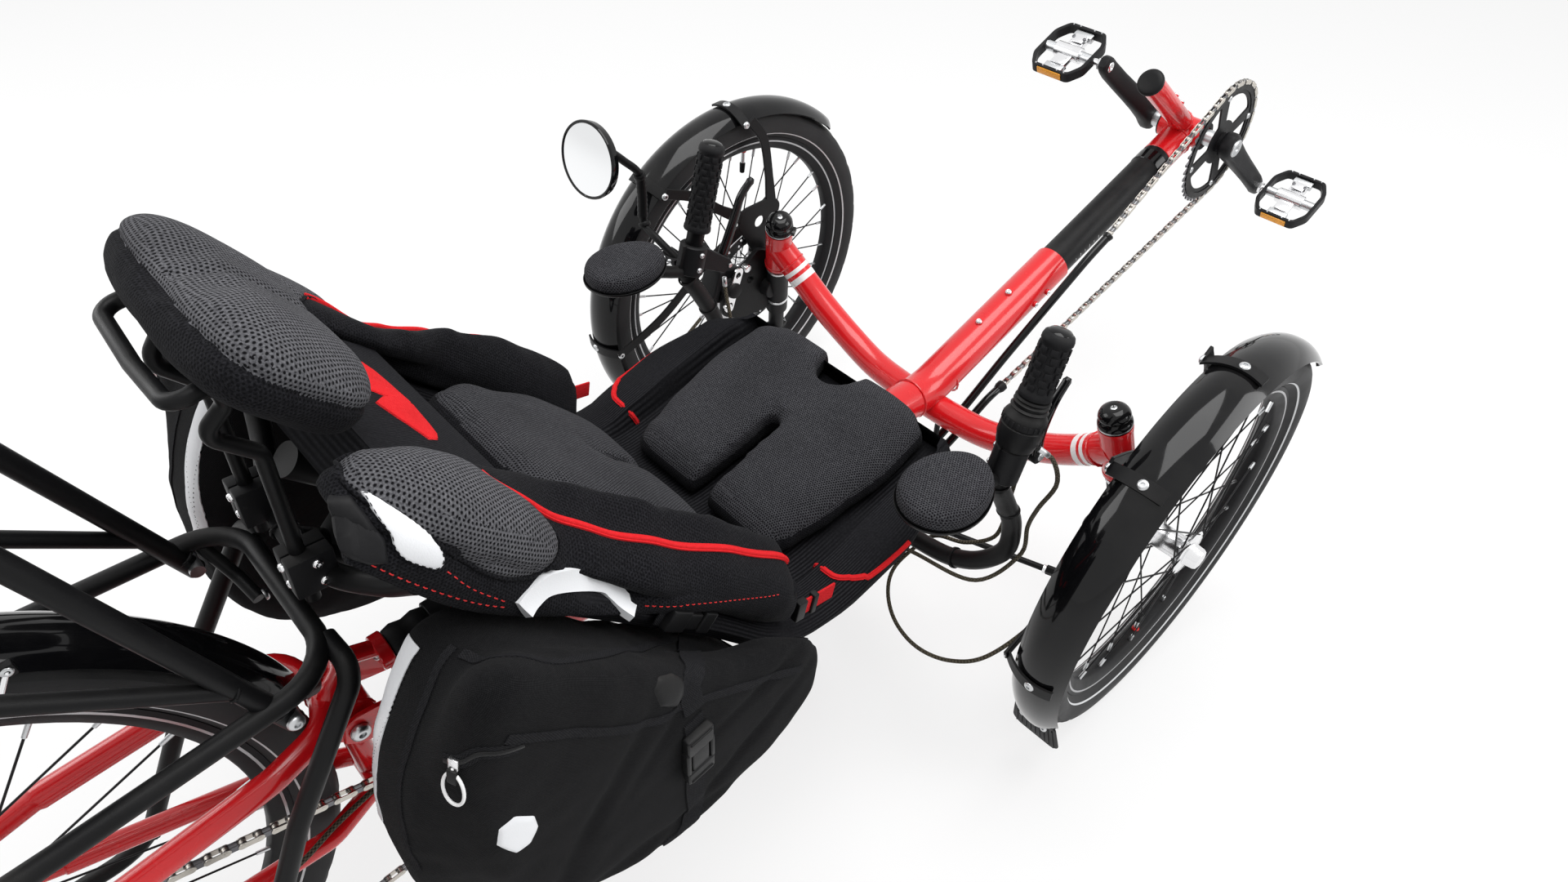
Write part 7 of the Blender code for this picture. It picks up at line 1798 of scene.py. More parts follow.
def seat_shell():
    """Fabric-covered seat pan with its side lips, and the saddle that carries it."""
    rings = []
    for s, half, wing, ledge, trough in stations(((0.02, 0.165, -0.02, 0.15, -0.046),
            (0.07, 0.198, -0.016, 0.152, -0.046), (0.15, 0.212, -0.018, 0.152, -0.046),
            (0.215, 0.212, -0.022, 0.152, -0.046), (0.25, 0.209, -0.03, 0.15, -0.046),
            (0.285, 0.205, -0.038, 0.142, -0.046), (0.36, 0.2, -0.038, 0.13, -0.046), (0.562, 0.196, -0.038,
            0.13, -0.046), (0.59, 0.19, -0.036, 0.11, -0.01), (0.64, 0.17, -0.036, 0.1, -0.01),
            (0.698, 0.128, -0.036, 0.08, -0.022)), 60):
        ring = [(half, wing - 0.012), (half - 0.004, wing - 0.003), (half - 0.014, wing),
            ((half + ledge) / 2, wing + 0.001), (ledge + 0.01, wing - 0.001),
            (ledge + 0.005, (wing + trough) / 2), (ledge + 0.001, trough)]
        ring += [(ledge * 0.5, trough)]
        ring += [(-x, t) for x, t in ring[::-1]]
        ring += [(-half + 0.008, -0.061), (half - 0.008, -0.061)]
        rings.append([on_seat(x, s, t) for x, t in ring])
    make("seat_pan", "frame", [(skin(rings), RIBBED)], 50.0, ("seat_shell",))
    centre = on_seat(0.0, 0.19, -0.072)
    way = on_seat(0.0, 0.2, -0.072) - centre
    parts = [(block((0.078, 0.026, 0.058), centre, aligned(way), 0.003, 3), MATT)]
    make("seat_saddle", "frame", parts, 40.0)


def neck_stand():
    line = bend(NECK_BENDS, 0.012, 8)
    line = line + mirrored_line(line[-2::-1])
    parts = [(sweep(line, LEG_R, 20), BLACK)]
    make("neck_wire", "neck_rest", parts, 40.0, ("neck_tube",))


def seat_stand():
    """Mast, spine rail, cross bar, clamps with bolts, and their welds."""
    mast = bend([(0.0, -0.5, 0.302), (0.0, -0.585, 0.36), (0.0, -0.765, 0.54)], 0.05, 10)
    parts = [(sweep(mast, 0.015, 32), BLACK)]
    add(parts, BLACK, turned([(0.0, 0.0016), (0.014, 0.0014), (0.015, -0.0004)], 32,
        matrix=placed(mast[-1], mast[-1] - mast[-2])))
    rail = [on_seat(0.0, s, -0.078) for s in (0.33, 0.445, 0.56, 0.69)]
    add(parts, BLACK, sweep(rail, 0.0135, 28))
    for s, deep in ((0.43, 0.088), (0.61, 0.09)):
        centre = on_seat(0.0, s, -0.07 - deep / 2)
        way = on_seat(0.0, s + 0.01, -0.07 - deep / 2) - centre
        add(parts, BLACK, block((0.022, deep, 0.03), centre, aligned(way), 0.002))
        for off in (-0.02, 0.02):
            add(parts, BRUSHED,
                bolt(centre + Vector((0.011, 0, 0)) + seat_frame_at(s)[1] * off, (1, 0, 0), 0.0042, 0.0024))
    bar_line = smooth([(-0.138, -0.724, 0.59), (-0.1, -0.738, 0.564), (-0.05, -0.757, 0.546),
        (0.0, -0.763, 0.542), (0.05, -0.757, 0.546), (0.1, -0.738, 0.564), (0.138, -0.724, 0.59)], 60)
    add(parts, BLACK, sweep(bar_line, 0.009, 24))
    for side, _ in SIDES:
        leg = sided(side, LEG_LOW + LEG_DIR * 0.02) + Vector((0.0, 0.004, 0.0))
        for x, wide in ((-0.0068, 0.0124), (0.0068, 0.0124)):
            add(parts, MATT, block((wide, 0.032, 0.034), leg + Vector((x, 0, 0)), aligned(LEG_DIR), 0.0016))
        for z in (-0.009, 0.009):
            add(parts, ALLOY, bolt(leg + Vector((side * 0.013, 0.004, z)), (side, 0, 0), 0.004, 0.0024),
                bolt(leg + Vector((0.0, -0.016, z)), (0, -1, 0), 0.0036, 0.002))
        end = bar_line[-1] if side > 0 else bar_line[0]
        before = bar_line[-2] if side > 0 else bar_line[1]
        add(parts, BLACK, turned([(0.0, 0.0012), (0.008, 0.001), (0.009, -0.0004)], 24,
            matrix=placed(end, end - before)),
            ring_weld(Vector((side * 0.016, -0.7635, 0.5425)), (side, 0.15, 0.1), 0.0094, 0.0013))
    add(parts, MATT, block((0.046, 0.06, 0.034), (0.0, -0.51, 0.3), turned_x(-5), 0.003))
    for y in (-0.495, -0.525):
        add(parts, BRUSHED, bolt((0.023, y, 0.302), (1, 0, 0), 0.0048, 0.0026),
            bolt((-0.023, y, 0.302), (-1, 0, 0), 0.0048, 0.0026))
    make("dressed_seat_stand", "frame", parts, 40.0, ("seat_frame",))


BAG_INNER = [(-0.492, 0.318), (-0.556, 0.402), (-0.604, 0.46), (-0.664, 0.528), (-0.736, 0.6),
    (-0.78, 0.556), (-0.815, 0.48), (-0.83, 0.39), (-0.812, 0.3), (-0.73, 0.244), (-0.6, 0.236),
    (-0.505, 0.248), (-0.466, 0.28)]
BAG_OUTER = [(-0.452, 0.4), (-0.556, 0.446), (-0.622, 0.52), (-0.69, 0.588), (-0.746, 0.634),
    (-0.772, 0.58), (-0.788, 0.5), (-0.785, 0.41), (-0.748, 0.318), (-0.655, 0.262), (-0.56, 0.258),
    (-0.49, 0.27), (-0.446, 0.318)]


def bag_ring(x, share, grow, side):
    """One outline of the bag across x, between its inner and outer faces."""
    ring = []
    for (y0, z0), (y1, z1) in zip(BAG_INNER, BAG_OUTER):
        y, z = y0 + (y1 - y0) * share, z0 + (z1 - z0) * share
        scale = grow if z < 0.42 - (y + 0.62) else min(grow, 1.0)
        ring.append(Vector((x * side, -0.64 + (y + 0.64) * scale, 0.42 + (z - 0.42) * scale)))
    return ring


def side_bags():
    """Canvas bags behind the seat, sagging a little under their own weight."""
    for side, label in SIDES:
        rows = stations(((0.154, 0.0, 0.95), (0.16, 0.0, 0.985), (0.2155, 0.0, 0.99), (0.232, 0.7, 1.005),
            (0.25, 1.0, 0.985), (0.261, 1.0, 0.92)), 26)
        rings = [round_ring(bag_ring(x, share, grow, side), 2) for x, share, grow in rows]

        def creased(p, n, side=side):
            drop = np.zeros(len(p))
            for y, z, turn, deep, wide, reach in ((-0.56, 0.33, 0.5, 0.004, 0.008, 0.1),
                    (-0.64, 0.3, -0.2, 0.0035, 0.009, 0.12), (-0.69, 0.42, 0.9, 0.0045, 0.01, 0.1),
                    (-0.52, 0.4, 0.1, 0.004, 0.007, 0.08), (-0.6, 0.47, 0.75, 0.004, 0.008, 0.09)):
                u = (p[:, 1] - y) * math.cos(turn) + (p[:, 2] - z) * math.sin(turn)
                v = -(p[:, 1] - y) * math.sin(turn) + (p[:, 2] - z) * math.cos(turn)
                drop += deep * np.exp(-(v / wide) ** 2 - (u / reach) ** 2)
            ripple = np.array([0.0012 * noise.noise(Vector(q) * 38.0) + 0.0018
                * noise.noise(Vector(q) * 14.0) for q in p])
            return p + n * (ripple - drop * np.clip(side * n[:, 0], 0.0, 1.0))[:, None]
        soft_piece("canvas_side_bag_" + label, "frame", skin(rings), (CANVAS,),
            ("pannier_" + label,), 0.006, 0.006, 0.45, None, False, creased)


# Carrier, rear end and drive
def rack():
    """Carrier of bent tube with its welds, bolts and clamp feet."""
    hoop = bend([(0.122, -1.365, 0.505), (0.104, -0.96, 0.505), (0.093, -0.788, 0.505),
        (0.0, -0.78, 0.505)], 0.045, 8)[:-1]
    parts = [(sweep(hoop + mirrored_line(hoop[::-1]), RACK_R, 20), BLACK)]
    for side, _ in SIDES:
        corners = ((0.062, -0.781, 0.503), (0.098, -0.778, 0.496), (0.104, -0.862, 0.38),
            (0.116, -0.985, 0.17), (0.122, -1.32, 0.17), (0.122, -1.372, 0.505), (0.074, -1.3, DECK_Z))
        add(parts, BLACK, sweep(bend([sided(side, p) for p in corners], 0.06, 8), RACK_R, 20))
        rail = [sided(side, p)
            for p in ((0.093, -0.826, 0.478), (0.074, -0.912, DECK_Z), (0.074, -1.3, DECK_Z))]
        add(parts, BLACK, sweep(bend(rail, 0.045, 8), RACK_R, 20),
            bar(sided(side, (0.089, -0.842, 0.53)), sided(side, (0.074, -1.08, DECK_Z)), 0.0065, 18))
        add(parts, BRUSHED, bar(sided(side, (0.08, -0.826, 0.486)), sided(side, (0.102, -0.826, 0.486)),
            0.0058, 18), bolt(sided(side, (0.102, -0.826, 0.486)), (side, 0, 0), 0.0064, 0.003))
        foot = bend([sided(side, p)
            for p in ((0.093, -0.815, 0.5), (0.07, -0.804, 0.47), (0.047, -0.8, 0.46))], 0.02, 5)
        add(parts, BLACK, sweep(foot, 0.0055, 16))
        add(parts, BRUSHED, bolt(sided(side, (0.048, -0.795, 0.46)), (0, 1, 0), 0.005, 0.0026))
        for spot, way, radius in (((0.09, -0.846, 0.536), (-0.05, -0.73, 0.65), 0.0072),
                ((0.0745, -1.074, DECK_Z - 0.004), (-0.05, -0.73, 0.65), 0.0074), ((0.0925, -0.83, 0.498),
                (-0.08, -0.33, 0.94), 0.0086), ((0.0745, -1.293, DECK_Z), (0, 1, 0), 0.0086),
                ((0.115, -0.976, 0.186), (0.06, -0.5, -0.85), 0.0084),
                ((0.1215, -1.356, 0.503), (0.0, 0.1, 1.0), 0.0084)):
            add(parts, BLACK, ring_weld(sided(side, spot), sided(side, way), radius, 0.0012))
    for y in (-0.96, -1.13, -1.296):
        add(parts, BLACK, bar((-0.074, y, DECK_Z), (0.074, y, DECK_Z), 0.006, 18))
        for side, _ in SIDES:
            add(parts, BLACK, ring_weld((side * 0.0668, y, DECK_Z), (1, 0, 0), 0.0064, 0.0011))
    make("welded_rack", "frame", parts, 45.0, ("rack",))


def swingarm():
    """Red rear triangle with its beads of weld and drilled dropouts."""
    pivot = Vector((0.0, *SWING_PIVOT.yz))
    parts = [(turned([(0.0095, 0.0255), (PIVOT_SHELL_R - 0.001, 0.0255), (PIVOT_SHELL_R, 0.0245),
        (PIVOT_SHELL_R, -0.0245), (PIVOT_SHELL_R - 0.001, -0.0255), (0.0095, -0.0255)], 36, True,
        placed(pivot, (1, 0, 0))), RED), (bar((0.0, -0.792, 0.335), (0.0, -0.794, 0.238), 0.011, 24), RED),
        (bar((-0.026, -0.794, 0.238), (0.026, -0.794, 0.238), 0.012, 28, 0.001), RED)]
    arch = [(0.015, -0.802, 0.35), (0.018, -0.8, 0.384), (0.0, -0.766, 0.398), (-0.018, -0.8, 0.384),
        (-0.015, -0.802, 0.35)]
    add(parts, RED, sweep(bend(arch, 0.012, 6), 0.009, 20), bar((0.0, -0.7362, ELASTOMER_Z),
        (0.0, -0.748, ELASTOMER_Z), 0.017, 28, 0.001),
        bar((0.0, -0.742, ELASTOMER_Z + 0.006), (0.0, -0.768, 0.396), 0.008, 18))
    add(parts, BRUSHED, bolt((0.0, -0.748, ELASTOMER_Z), (0, -1, 0), 0.006, 0.003))
    for side, _ in SIDES:
        upper = [(0.012, -0.802, 0.376), (0.044, -0.812, 0.385), (0.058, -0.86, 0.384),
            (0.062, -1.0, 0.372), (0.0632, -1.104, 0.345)]
        lower = [(0.018, -0.794, 0.238), (0.044, -0.85, 0.244), (0.06, -1.02, 0.285),
            (0.0665, -1.112, 0.315)]
        upper = bend([sided(side, p) for p in upper], 0.05, 5)
        lower = bend([sided(side, p) for p in lower], 0.05, 5)
        for line, radius in ((upper, 0.0108), (lower, 0.0094)):
            count = len(line)
            radii = [radius * (1.0 - 0.22 * max(0.0, (i / (count - 1) - 0.8) / 0.2)) for i in range(count)]
            add(parts, RED, sweep(line, radii, 24))
        outline = rounded([(-1.1, 0.352), (-1.15, 0.352), (-1.166, 0.3275), (-1.15, 0.3), (-1.1, 0.306)],
            0.008)
        hole = circle(0.0079, 24, (REAR_AXLE.y, REAR_AXLE.z))
        eye = circle(0.0026, 12, (-1.122, 0.344))
        add(parts, RED, slab(outline, 0.0068, [hole, eye], across(side * 0.071), 0.001),
            ring_weld(sided(side, (0.0632, -1.098, 0.3465)), (0.0, -1.0, -0.25), 0.0094, 0.0013),
            ring_weld(sided(side, (0.0655, -1.096, 0.3105)), (0.0, -1.0, 0.3), 0.0082, 0.0013),
            ring_weld(sided(side, (0.023, -0.796, 0.2385)), sided(side, (0.5, -0.85, 0.1)), 0.01, 0.0013))
    for x in (-0.02, 0.02):
        add(parts, RED, ring_weld((x, pivot.y, pivot.z), (1, 0, 0), PIVOT_SHELL_R + 0.0002, 0.001))
    make("painted_swingarm", "rear_arm", parts, 40.0, ("swingarm",))


def elastomer():
    profile = [(0.0, 0.039), (0.0145, 0.039), (0.015, 0.0384), (0.016, 0.0345), (0.0171, 0.03),
        (0.016, 0.025), (0.0149, 0.0197), (0.016, 0.0145), (0.0171, 0.0094), (0.016, 0.0045),
        (0.015, 0.0006), (0.0145, 0.0), (0.0, 0.0)]
    place = Matrix.Translation((0.0, -0.6962, ELASTOMER_Z)) @ Matrix.Rotation(math.radians(90), 4, "X")
    make("ribbed_spring_block", "frame", [(turned(profile, 40, matrix=place), SOFT_RUBBER)], 35.0,
        ("elastomer",))


def rear_fender():
    """Long glossy mudguard on four bright wire stays."""
    guard = shell_arc(REAR_FENDER_R, 0.03, 0.015, 0.002, math.radians(14), math.radians(182), 96, 14,
        0.15).at(REAR_AXLE)
    parts = [(guard, GLOSS)]
    for side, _ in SIDES:
        for angle in (52.0, 150.0):
            a = math.radians(angle)
            out = ray(a)
            run = [REAR_AXLE + Vector((side * x, 0.0, 0.0)) + out * r for x,
                r in ((0.0292, REAR_FENDER_R - 0.013), (0.0777, 0.056), (0.0777, 0.014))]
            add(parts, ALLOY, sweep(bend(run, 0.03, 5), 0.0022, 12))
            add(parts, BRUSHED, bolt(run[0] + Vector((side * 0.0005, 0, 0)), (side, 0, 0), 0.0044, 0.0022))
            add(parts, PLASTIC,
                block((0.006, 0.01, 0.01), run[0] - Vector((side * 0.001, 0, 0)), None, 0.0015))
        foot = REAR_AXLE + Vector((side * 0.0775, 0.0, 0.0))
        eye = slab(circle(0.0158, 32), 0.0028, [circle(0.0083, 24)], Matrix.Translation(foot) @ across(0.0),
            0.0004)
        add(parts, ALLOY, eye)
    tail = math.radians(181)
    end = REAR_AXLE + ray(tail) * (REAR_FENDER_R + 0.001)
    add(parts, BRUSHED, bolt(end + Vector((0, 0, 0.02)), (0, -1, 0), 0.005, 0.0024))
    make("long_rear_fender", "rear_arm", parts, 40.0, ("rear_fender",))


def cassette():
    """Nine toothed sprockets on a splined carrier, with a lock ring."""
    parts = []
    for k in range(9):
        radius = 0.0835 - 0.0054 * k
        teeth = max(11, round(math.tau * radius / CHAIN_PITCH))
        scale = radius / (CHAIN_PITCH / (2 * math.sin(math.pi / teeth)))
        outline = [(x * scale, y * scale) for x, y in gear_outline(teeth, 0.0036, 0.0026)]
        holes = [circle(0.0235, 40)]
        if k < 4:
            reach = (0.029 + radius - 0.009) / 2
            wide = (radius - 0.009 - 0.029) / 2 - 0.0015
            for i in range(7):
                a = math.tau * i / 7 + 0.2 * k
                holes.append(circle(max(0.003, wide * 0.62), 18,
                    (reach * math.cos(a), reach * math.sin(a))))
        add(parts, STEEL if k % 2 else DISC,
            slab(outline, 0.0017, holes, across(0.0394 + 0.00165 * k), 0.0002))
    core = [(0.0208, 0.0562), (0.0245, 0.0562), (0.0252, 0.0555), (0.0252, 0.0378), (0.0208, 0.0378)]
    add(parts, DARK_STEEL, turned(core, 36, True, turned_y(90)))
    ring = [(0.0212, 0.0568), (0.0236, 0.0568), (0.024, 0.056), (0.0212, 0.0556)]
    add(parts, ALLOY, turned(ring, 36, True, turned_y(90)))
    for k in range(12):
        a = math.tau * k / 12
        add(parts, DARK_STEEL, block((0.0008, 0.002, 0.0032), (0.0567, 0.0224 * math.cos(a),
            0.0224 * math.sin(a)), Matrix.Rotation(a - math.pi / 2, 4, "X"), 0.0002, 1))
    for shape, _ in parts:
        shape.at(REAR_AXLE)
    make("nine_speed_cassette", "sprockets", parts, 35.0, ("cassette",))


def idler():
    """Grooved idler wheel with lightening holes and a sealed bearing."""
    turn = turned_y(90)
    half = [(0.01, 0.0062), (0.012, 0.0078), (0.018, 0.005), (0.025, 0.005), (0.029, 0.0078), (0.0352,
        0.0078), (0.0359, 0.007), (0.0357, 0.0062), (IDLER_R - 0.0006, 0.0036), (IDLER_R - 0.0009, 0.003)]
    profile = half + [(r, -z) for r, z in half[::-1]]
    parts = [(turned(profile, 56, True, turn), PLASTIC)]
    bearing = [(0.0067, 0.006), (0.0095, 0.0062), (0.0101, 0.0058), (0.0101, -0.0058), (0.0095, -0.0062),
        (0.0067, -0.006)]
    add(parts, BRUSHED, turned(bearing, 32, True, turn))
    for k in range(6):
        a = math.tau * k / 6
        for x in (-0.0049, 0.0049):
            add(parts, PLASTIC, block((0.0016, 0.0024, 0.011), (x, 0.0215 * math.cos(a),
                0.0215 * math.sin(a)), Matrix.Rotation(a - math.pi / 2, 4, "X"), 0.0005, 1))
    for shape, _ in parts:
        shape.at(IDLER)
    make("grooved_idler", "chain_idler", parts, 35.0, ("idler_wheel",))


def derailleur():
    """Body, two cage plates, toothed jockey wheels and the bolts."""
    outline = rounded([(-1.152, 0.296), (-1.124, 0.3), (-1.118, 0.262), (-1.14, 0.222), (-1.16, 0.24)],
        0.008)
    parts = [(slab(outline, 0.006, [circle(0.0036, 16, (-1.139, 0.27))], across(0.078), 0.001), MATT)]
    upper, lower = PULLEYS
    add(parts, MATT, bar(upper + Vector((0.012, 0, 0)), upper + Vector((0.034, 0, 0)), 0.0165, 32, 0.002))
    add(parts, ALLOY, turned([(0.0, 0.0012), (0.011, 0.001), (0.012, 0.0)], 28,
        matrix=placed(upper + Vector((0.034, 0, 0)), (1, 0, 0))))
    add(parts, BRUSHED, bolt((0.081, -1.14, 0.286), (1, 0, 0), 0.007, 0.003))
    ahead = (lower - upper).normalized()
    for x in (-0.0085, 0.0085):
        line = [upper - ahead * 0.01, upper.lerp(lower, 0.33), upper.lerp(lower, 0.67),
            lower + ahead * 0.01]
        strip = rounded(ribbon([p.yz for p in line], [0.0205, 0.015, 0.015, 0.0205]), 0.006, 4)
        holes = [circle(0.0042, 18, upper.lerp(lower, share).yz) for share in (0.42, 0.58)]
        add(parts, DARK_STEEL if x < 0 else MATT, slab(strip, 0.002, holes, across(upper.x + x), 0.0003))
    for centre in (upper, lower):
        grow = [1.075 if i % 6 in (1, 2, 3) else 1.0 for i in range(66)]
        outline = [(x * g, y * g) for (x, y), g in zip(circle(0.017, 66), grow)]
        holes = [circle(0.0024, 12, (0.0105 * math.cos(a), 0.0105 * math.sin(a)))
            for a in (math.tau * k / 6 for k in range(6))]
        matrix = Matrix.Translation((0.0, centre.y, centre.z)) @ across(centre.x)
        add(parts, PLASTIC, slab(outline, 0.0034, holes, matrix, 0.0004))
        add(parts, BRUSHED, bar(centre - Vector((0.0088, 0, 0)), centre + Vector((0.0088, 0, 0)), 0.0056,
            20), bolt(centre + Vector((0.0096, 0, 0)), (1, 0, 0), 0.005, 0.0024),
            bolt(centre - Vector((0.0096, 0, 0)), (-1, 0, 0), 0.005, 0.0016))
    make("caged_derailleur", "rear_arm", parts, 38.0, ("derailleur",))


CHAIN_UPPER = smooth([(0.056, 0.313, 0.375), (0.0535, 0.287, 0.36), (0.037, 0.15, 0.25),
    (0.024, 0.03, 0.152), (0.024, -0.06, 0.137), (0.03, -0.22, 0.14), (0.044, -0.32, 0.1545),
    (0.0465, -0.345, 0.156)], 18)
CHAIN_LOWER = smooth([(0.044, 0.137, 0.197), (0.0428, 0.107, 0.1886), (0.035, 0.05, 0.145),
    (0.032, 0.0, 0.122), (0.032, -0.06, 0.112), (0.032, -0.22, 0.112), (0.0412, -0.365, 0.1197),
    (0.042, -0.395, 0.12)], 18)


def tangent_path(stops):
    """Path in the (y, z) plane past circles: positive radii lie on its left."""
    ways = []
    for (a, ra, _), (b, rb, _) in zip(stops, stops[1:]):
        reach = b - a
        heading = math.atan2(reach.y, reach.x) - math.asin((rb - ra) / reach.length)
        normal = Vector((-math.sin(heading), math.cos(heading)))
        ways.append((a - normal * ra, b - normal * rb))
    path = [(ways[0][0], stops[0][2])]
    for (_, arrive), (leave, _), (centre, radius, x) in zip(ways, ways[1:], stops[1:-1]):
        start = math.atan2(*(arrive - centre).yx)
        turn = (math.atan2(*(leave - centre).yx) - start) % math.tau
        if radius < 0:
            turn -= math.tau
        count = max(4, math.ceil(abs(turn) / math.radians(4)))
        for i in range(count + 1):
            a = start + turn * i / count
            path.append((centre + Vector((math.cos(a), math.sin(a))) * abs(radius), x))
    path.append((ways[-1][1], stops[-1][2]))
    return [Vector((x, p.x, p.y)) for p, x in path]


def links(path):
    """Roller chain: paired figure-eight plates, pins and rollers, laid along a path."""
    length = sum((b - a).length for a, b in zip(path, path[1:]))
    count = max(2, int(length / CHAIN_PITCH))
    knots = evenly(path, count * 8 + 1)[::8]
    plate = []
    for k in range(28):
        a = math.tau * k / 28
        x = math.cos(a)
        waist = 0.0041 - 0.0011 * math.exp(-(x / 0.42) ** 2)
        plate.append((CHAIN_PITCH / 2 + math.copysign(min(1.0, abs(x)) ** 0.55, x)
            * (CHAIN_PITCH / 2 + 0.0038), power(math.sin(a), 0.8) * waist))
    parts = {STEEL: [], DARK_STEEL: []}
    for i, (a, b) in enumerate(zip(knots, knots[1:])):
        ahead = (b - a).normalized()
        side = Vector((1.0, 0.0, 0.0))
        side = (side - ahead * side.dot(ahead)).normalized()
        up = side.cross(ahead)
        place = Matrix((ahead, up, side)).transposed().to_4x4()
        place.translation = a
        out = 0.0031 if i % 2 else 0.0022
        for z in (-out, out):
            rings = [[Vector((x, y, z + dz)) for x, y in plate] for dz in (-0.0004, 0.0004)]
            parts[STEEL if i % 2 else DARK_STEEL].append(skin(rings).moved(place))
        pin = sweep([(0, 0, -0.0037), (0, 0, 0.0037)], 0.0018, 8)
        parts[STEEL].append(pin.moved(place))
        roller = sweep([(0, 0, -0.0017), (0, 0, 0.0017)], 0.0033, 12)
        parts[STEEL].append(roller.moved(place))
    out = []
    for look, shapes in parts.items():
        points, faces, corners = [], [], []
        for shape in shapes:
            base = len(points)
            points += shape.points
            faces += [[i + base for i in f] for f in shape.faces]
            corners += shape.corners
        out.append((Shape(points, faces, corners), look))
    return out


def chain():
    """Front and rear runs of real links, and the two tubes that carry the chain under the seat."""
    for label, line in (("upper", CHAIN_UPPER), ("lower", CHAIN_LOWER)):
        line = smooth(line, 90)
        rings = []
        for radius, points in ((TUBE_R - 0.0002, line), (TUBE_R - 0.0012, line[::-1])):
            side = Vector((1.0, 0.0, 0.0))
            for i, p in enumerate(points):
                ahead = (points[min(i + 1, 89)] - points[max(i - 1, 0)]).normalized()
                if radius < TUBE_R - 0.001:
                    ahead = -ahead
                x = (side - ahead * side.dot(ahead)).normalized()
                up = ahead.cross(x)
                rings.append([p + x * (math.cos(a) * radius) + up * (math.sin(a) * radius)
                    for a in (math.tau * k / 20 for k in range(20))])
        parts = [(skin(rings + [[p.copy() for p in rings[0]]], True, False), GLOSS)]
        for end, inside in ((line[0], line[2]), (line[-1], line[-3])):
            place = placed(end, end - inside)
            flare = [(TUBE_R - 0.001, 0.0004), (TUBE_R + 0.001, 0.0002), (TUBE_R + 0.0014, -0.0008),
                (TUBE_R + 0.0002, -0.006), (TUBE_R - 0.001, -0.006)]
            add(parts, GLOSS, turned(flare, 28, True, place))
        if label == "lower":
            mouth = turned([(0.007, 0.0), (0.008, -0.0006), (0.008, -0.007), (0.0064, -0.012),
                (0.0052, -0.012)], 28, False, placed(line[0], line[0] - line[2]))
            add(parts, PLASTIC, mouth)
        make("chain_guide_" + label, "frame", parts, 40.0, ("chain_tube_" + label,))
    ring = CHAIN_PITCH / (2 * math.sin(math.pi / RING_TEETH)) + 0.0002
    start, end = CHAIN_LOWER[0].lerp(CHAIN_LOWER[1], 0.5), CHAIN_UPPER[0].lerp(CHAIN_UPPER[1], 0.5)
    path = tangent_path([(start.yz, 0.0, start.x), (BOTTOM_BRACKET.yz, ring, CHAIN_X),
        (end.yz, 0.0, end.x)])
    make("front_chain_links", "boom", links(path), 35.0, ("chain_front",))
    start, end = CHAIN_UPPER[-1].lerp(CHAIN_UPPER[-2], 0.6), CHAIN_LOWER[-1].lerp(CHAIN_LOWER[-2], 0.6)
    offset = CHAIN_H / 2 + 0.0006
    stops = [(start.yz, 0.0, start.x), (IDLER.yz, -(IDLER_R - 0.001 + offset), IDLER.x),
        (REAR_AXLE.yz, COG_R + offset, COG_X), (PULLEYS[0].yz, -(0.019 + offset), PULLEYS[0].x),
        (PULLEYS[1].yz, 0.019 + offset, PULLEYS[1].x), (end.yz, 0.0, end.x)]
    make("rear_chain_links", "rear_arm", links(tangent_path(stops)), 35.0, ("chain_rear",))


CABLE_TOPS = {1: [(0.2382, -0.137, 0.363), (0.24, -0.14, 0.342)],
    -1: [(0.25, -0.129, 0.356), (0.246, -0.131, 0.336)]}
CABLE_RUN = [(0.236, -0.134, 0.308), (0.234, -0.131, 0.268), (0.228, -0.136, 0.238), (0.198, -0.144, 0.21),
    (0.162, -0.146, 0.193), (0.144, -0.151, 0.17), (0.136, -0.19, 0.148), (0.148, -0.215, 0.13),
    (0.18, -0.236, 0.12), (0.223, -0.245, 0.12), (0.266, -0.238, 0.132), (0.301, -0.218, 0.16),
    (0.323, -0.165, 0.205), (0.323, -0.105, 0.248)]
SHIFT_RUN = [(0.2712, -0.169, 0.437), (0.285, -0.16, 0.424), (0.292, -0.153, 0.39), (0.28, -0.153, 0.345),
    (0.27, -0.144, 0.3), (0.27, -0.144, 0.25), (0.238, -0.175, 0.202), (0.15, -0.18, 0.18),
    (0.06, -0.185, 0.158), (0.0, -0.21, 0.168), (-0.026, -0.27, 0.22), (-0.035, -0.36, 0.26),
    (-0.035, -0.56, 0.278), (-0.028, -0.66, 0.272), (0.0, -0.72, 0.262), (0.028, -0.765, 0.26),
    (0.046, -0.84, 0.262), (0.064, -0.9, 0.268), (0.076, -1.02, 0.296), (0.09, -1.11, 0.31),
    (0.092, -1.165, 0.295), (0.084, -1.186, 0.26), (0.072, -1.164, 0.236)]


def housing(line, radius=CABLE_R):
    """A braided cable cover with a metal cap at each end."""
    shape = sweep(line, radius, 12)
    parts = [(shape, BRAID)]
    for end, inside in ((line[0], line[2]), (line[-1], line[-3])):
        way = (end - inside).normalized()
        add(parts, BRUSHED, bar(end - way * 0.013, end + way * 0.0004, radius + 0.0006, 16, 0.0004))
    return parts


def cables():
    """Brake and shift covers along the routes they are held on."""
    for side, label in SIDES:
        line = smooth([sided(side, p) for p in CABLE_TOPS[side] + CABLE_RUN], 110)
        make("braided_brake_cable_" + label, "frame", housing(line), 60.0,
            ("brake_cable_" + label,))
    make("braided_shift_cable", "frame", housing(smooth(SHIFT_RUN, 190)), 60.0,
        ("shift_cable",))


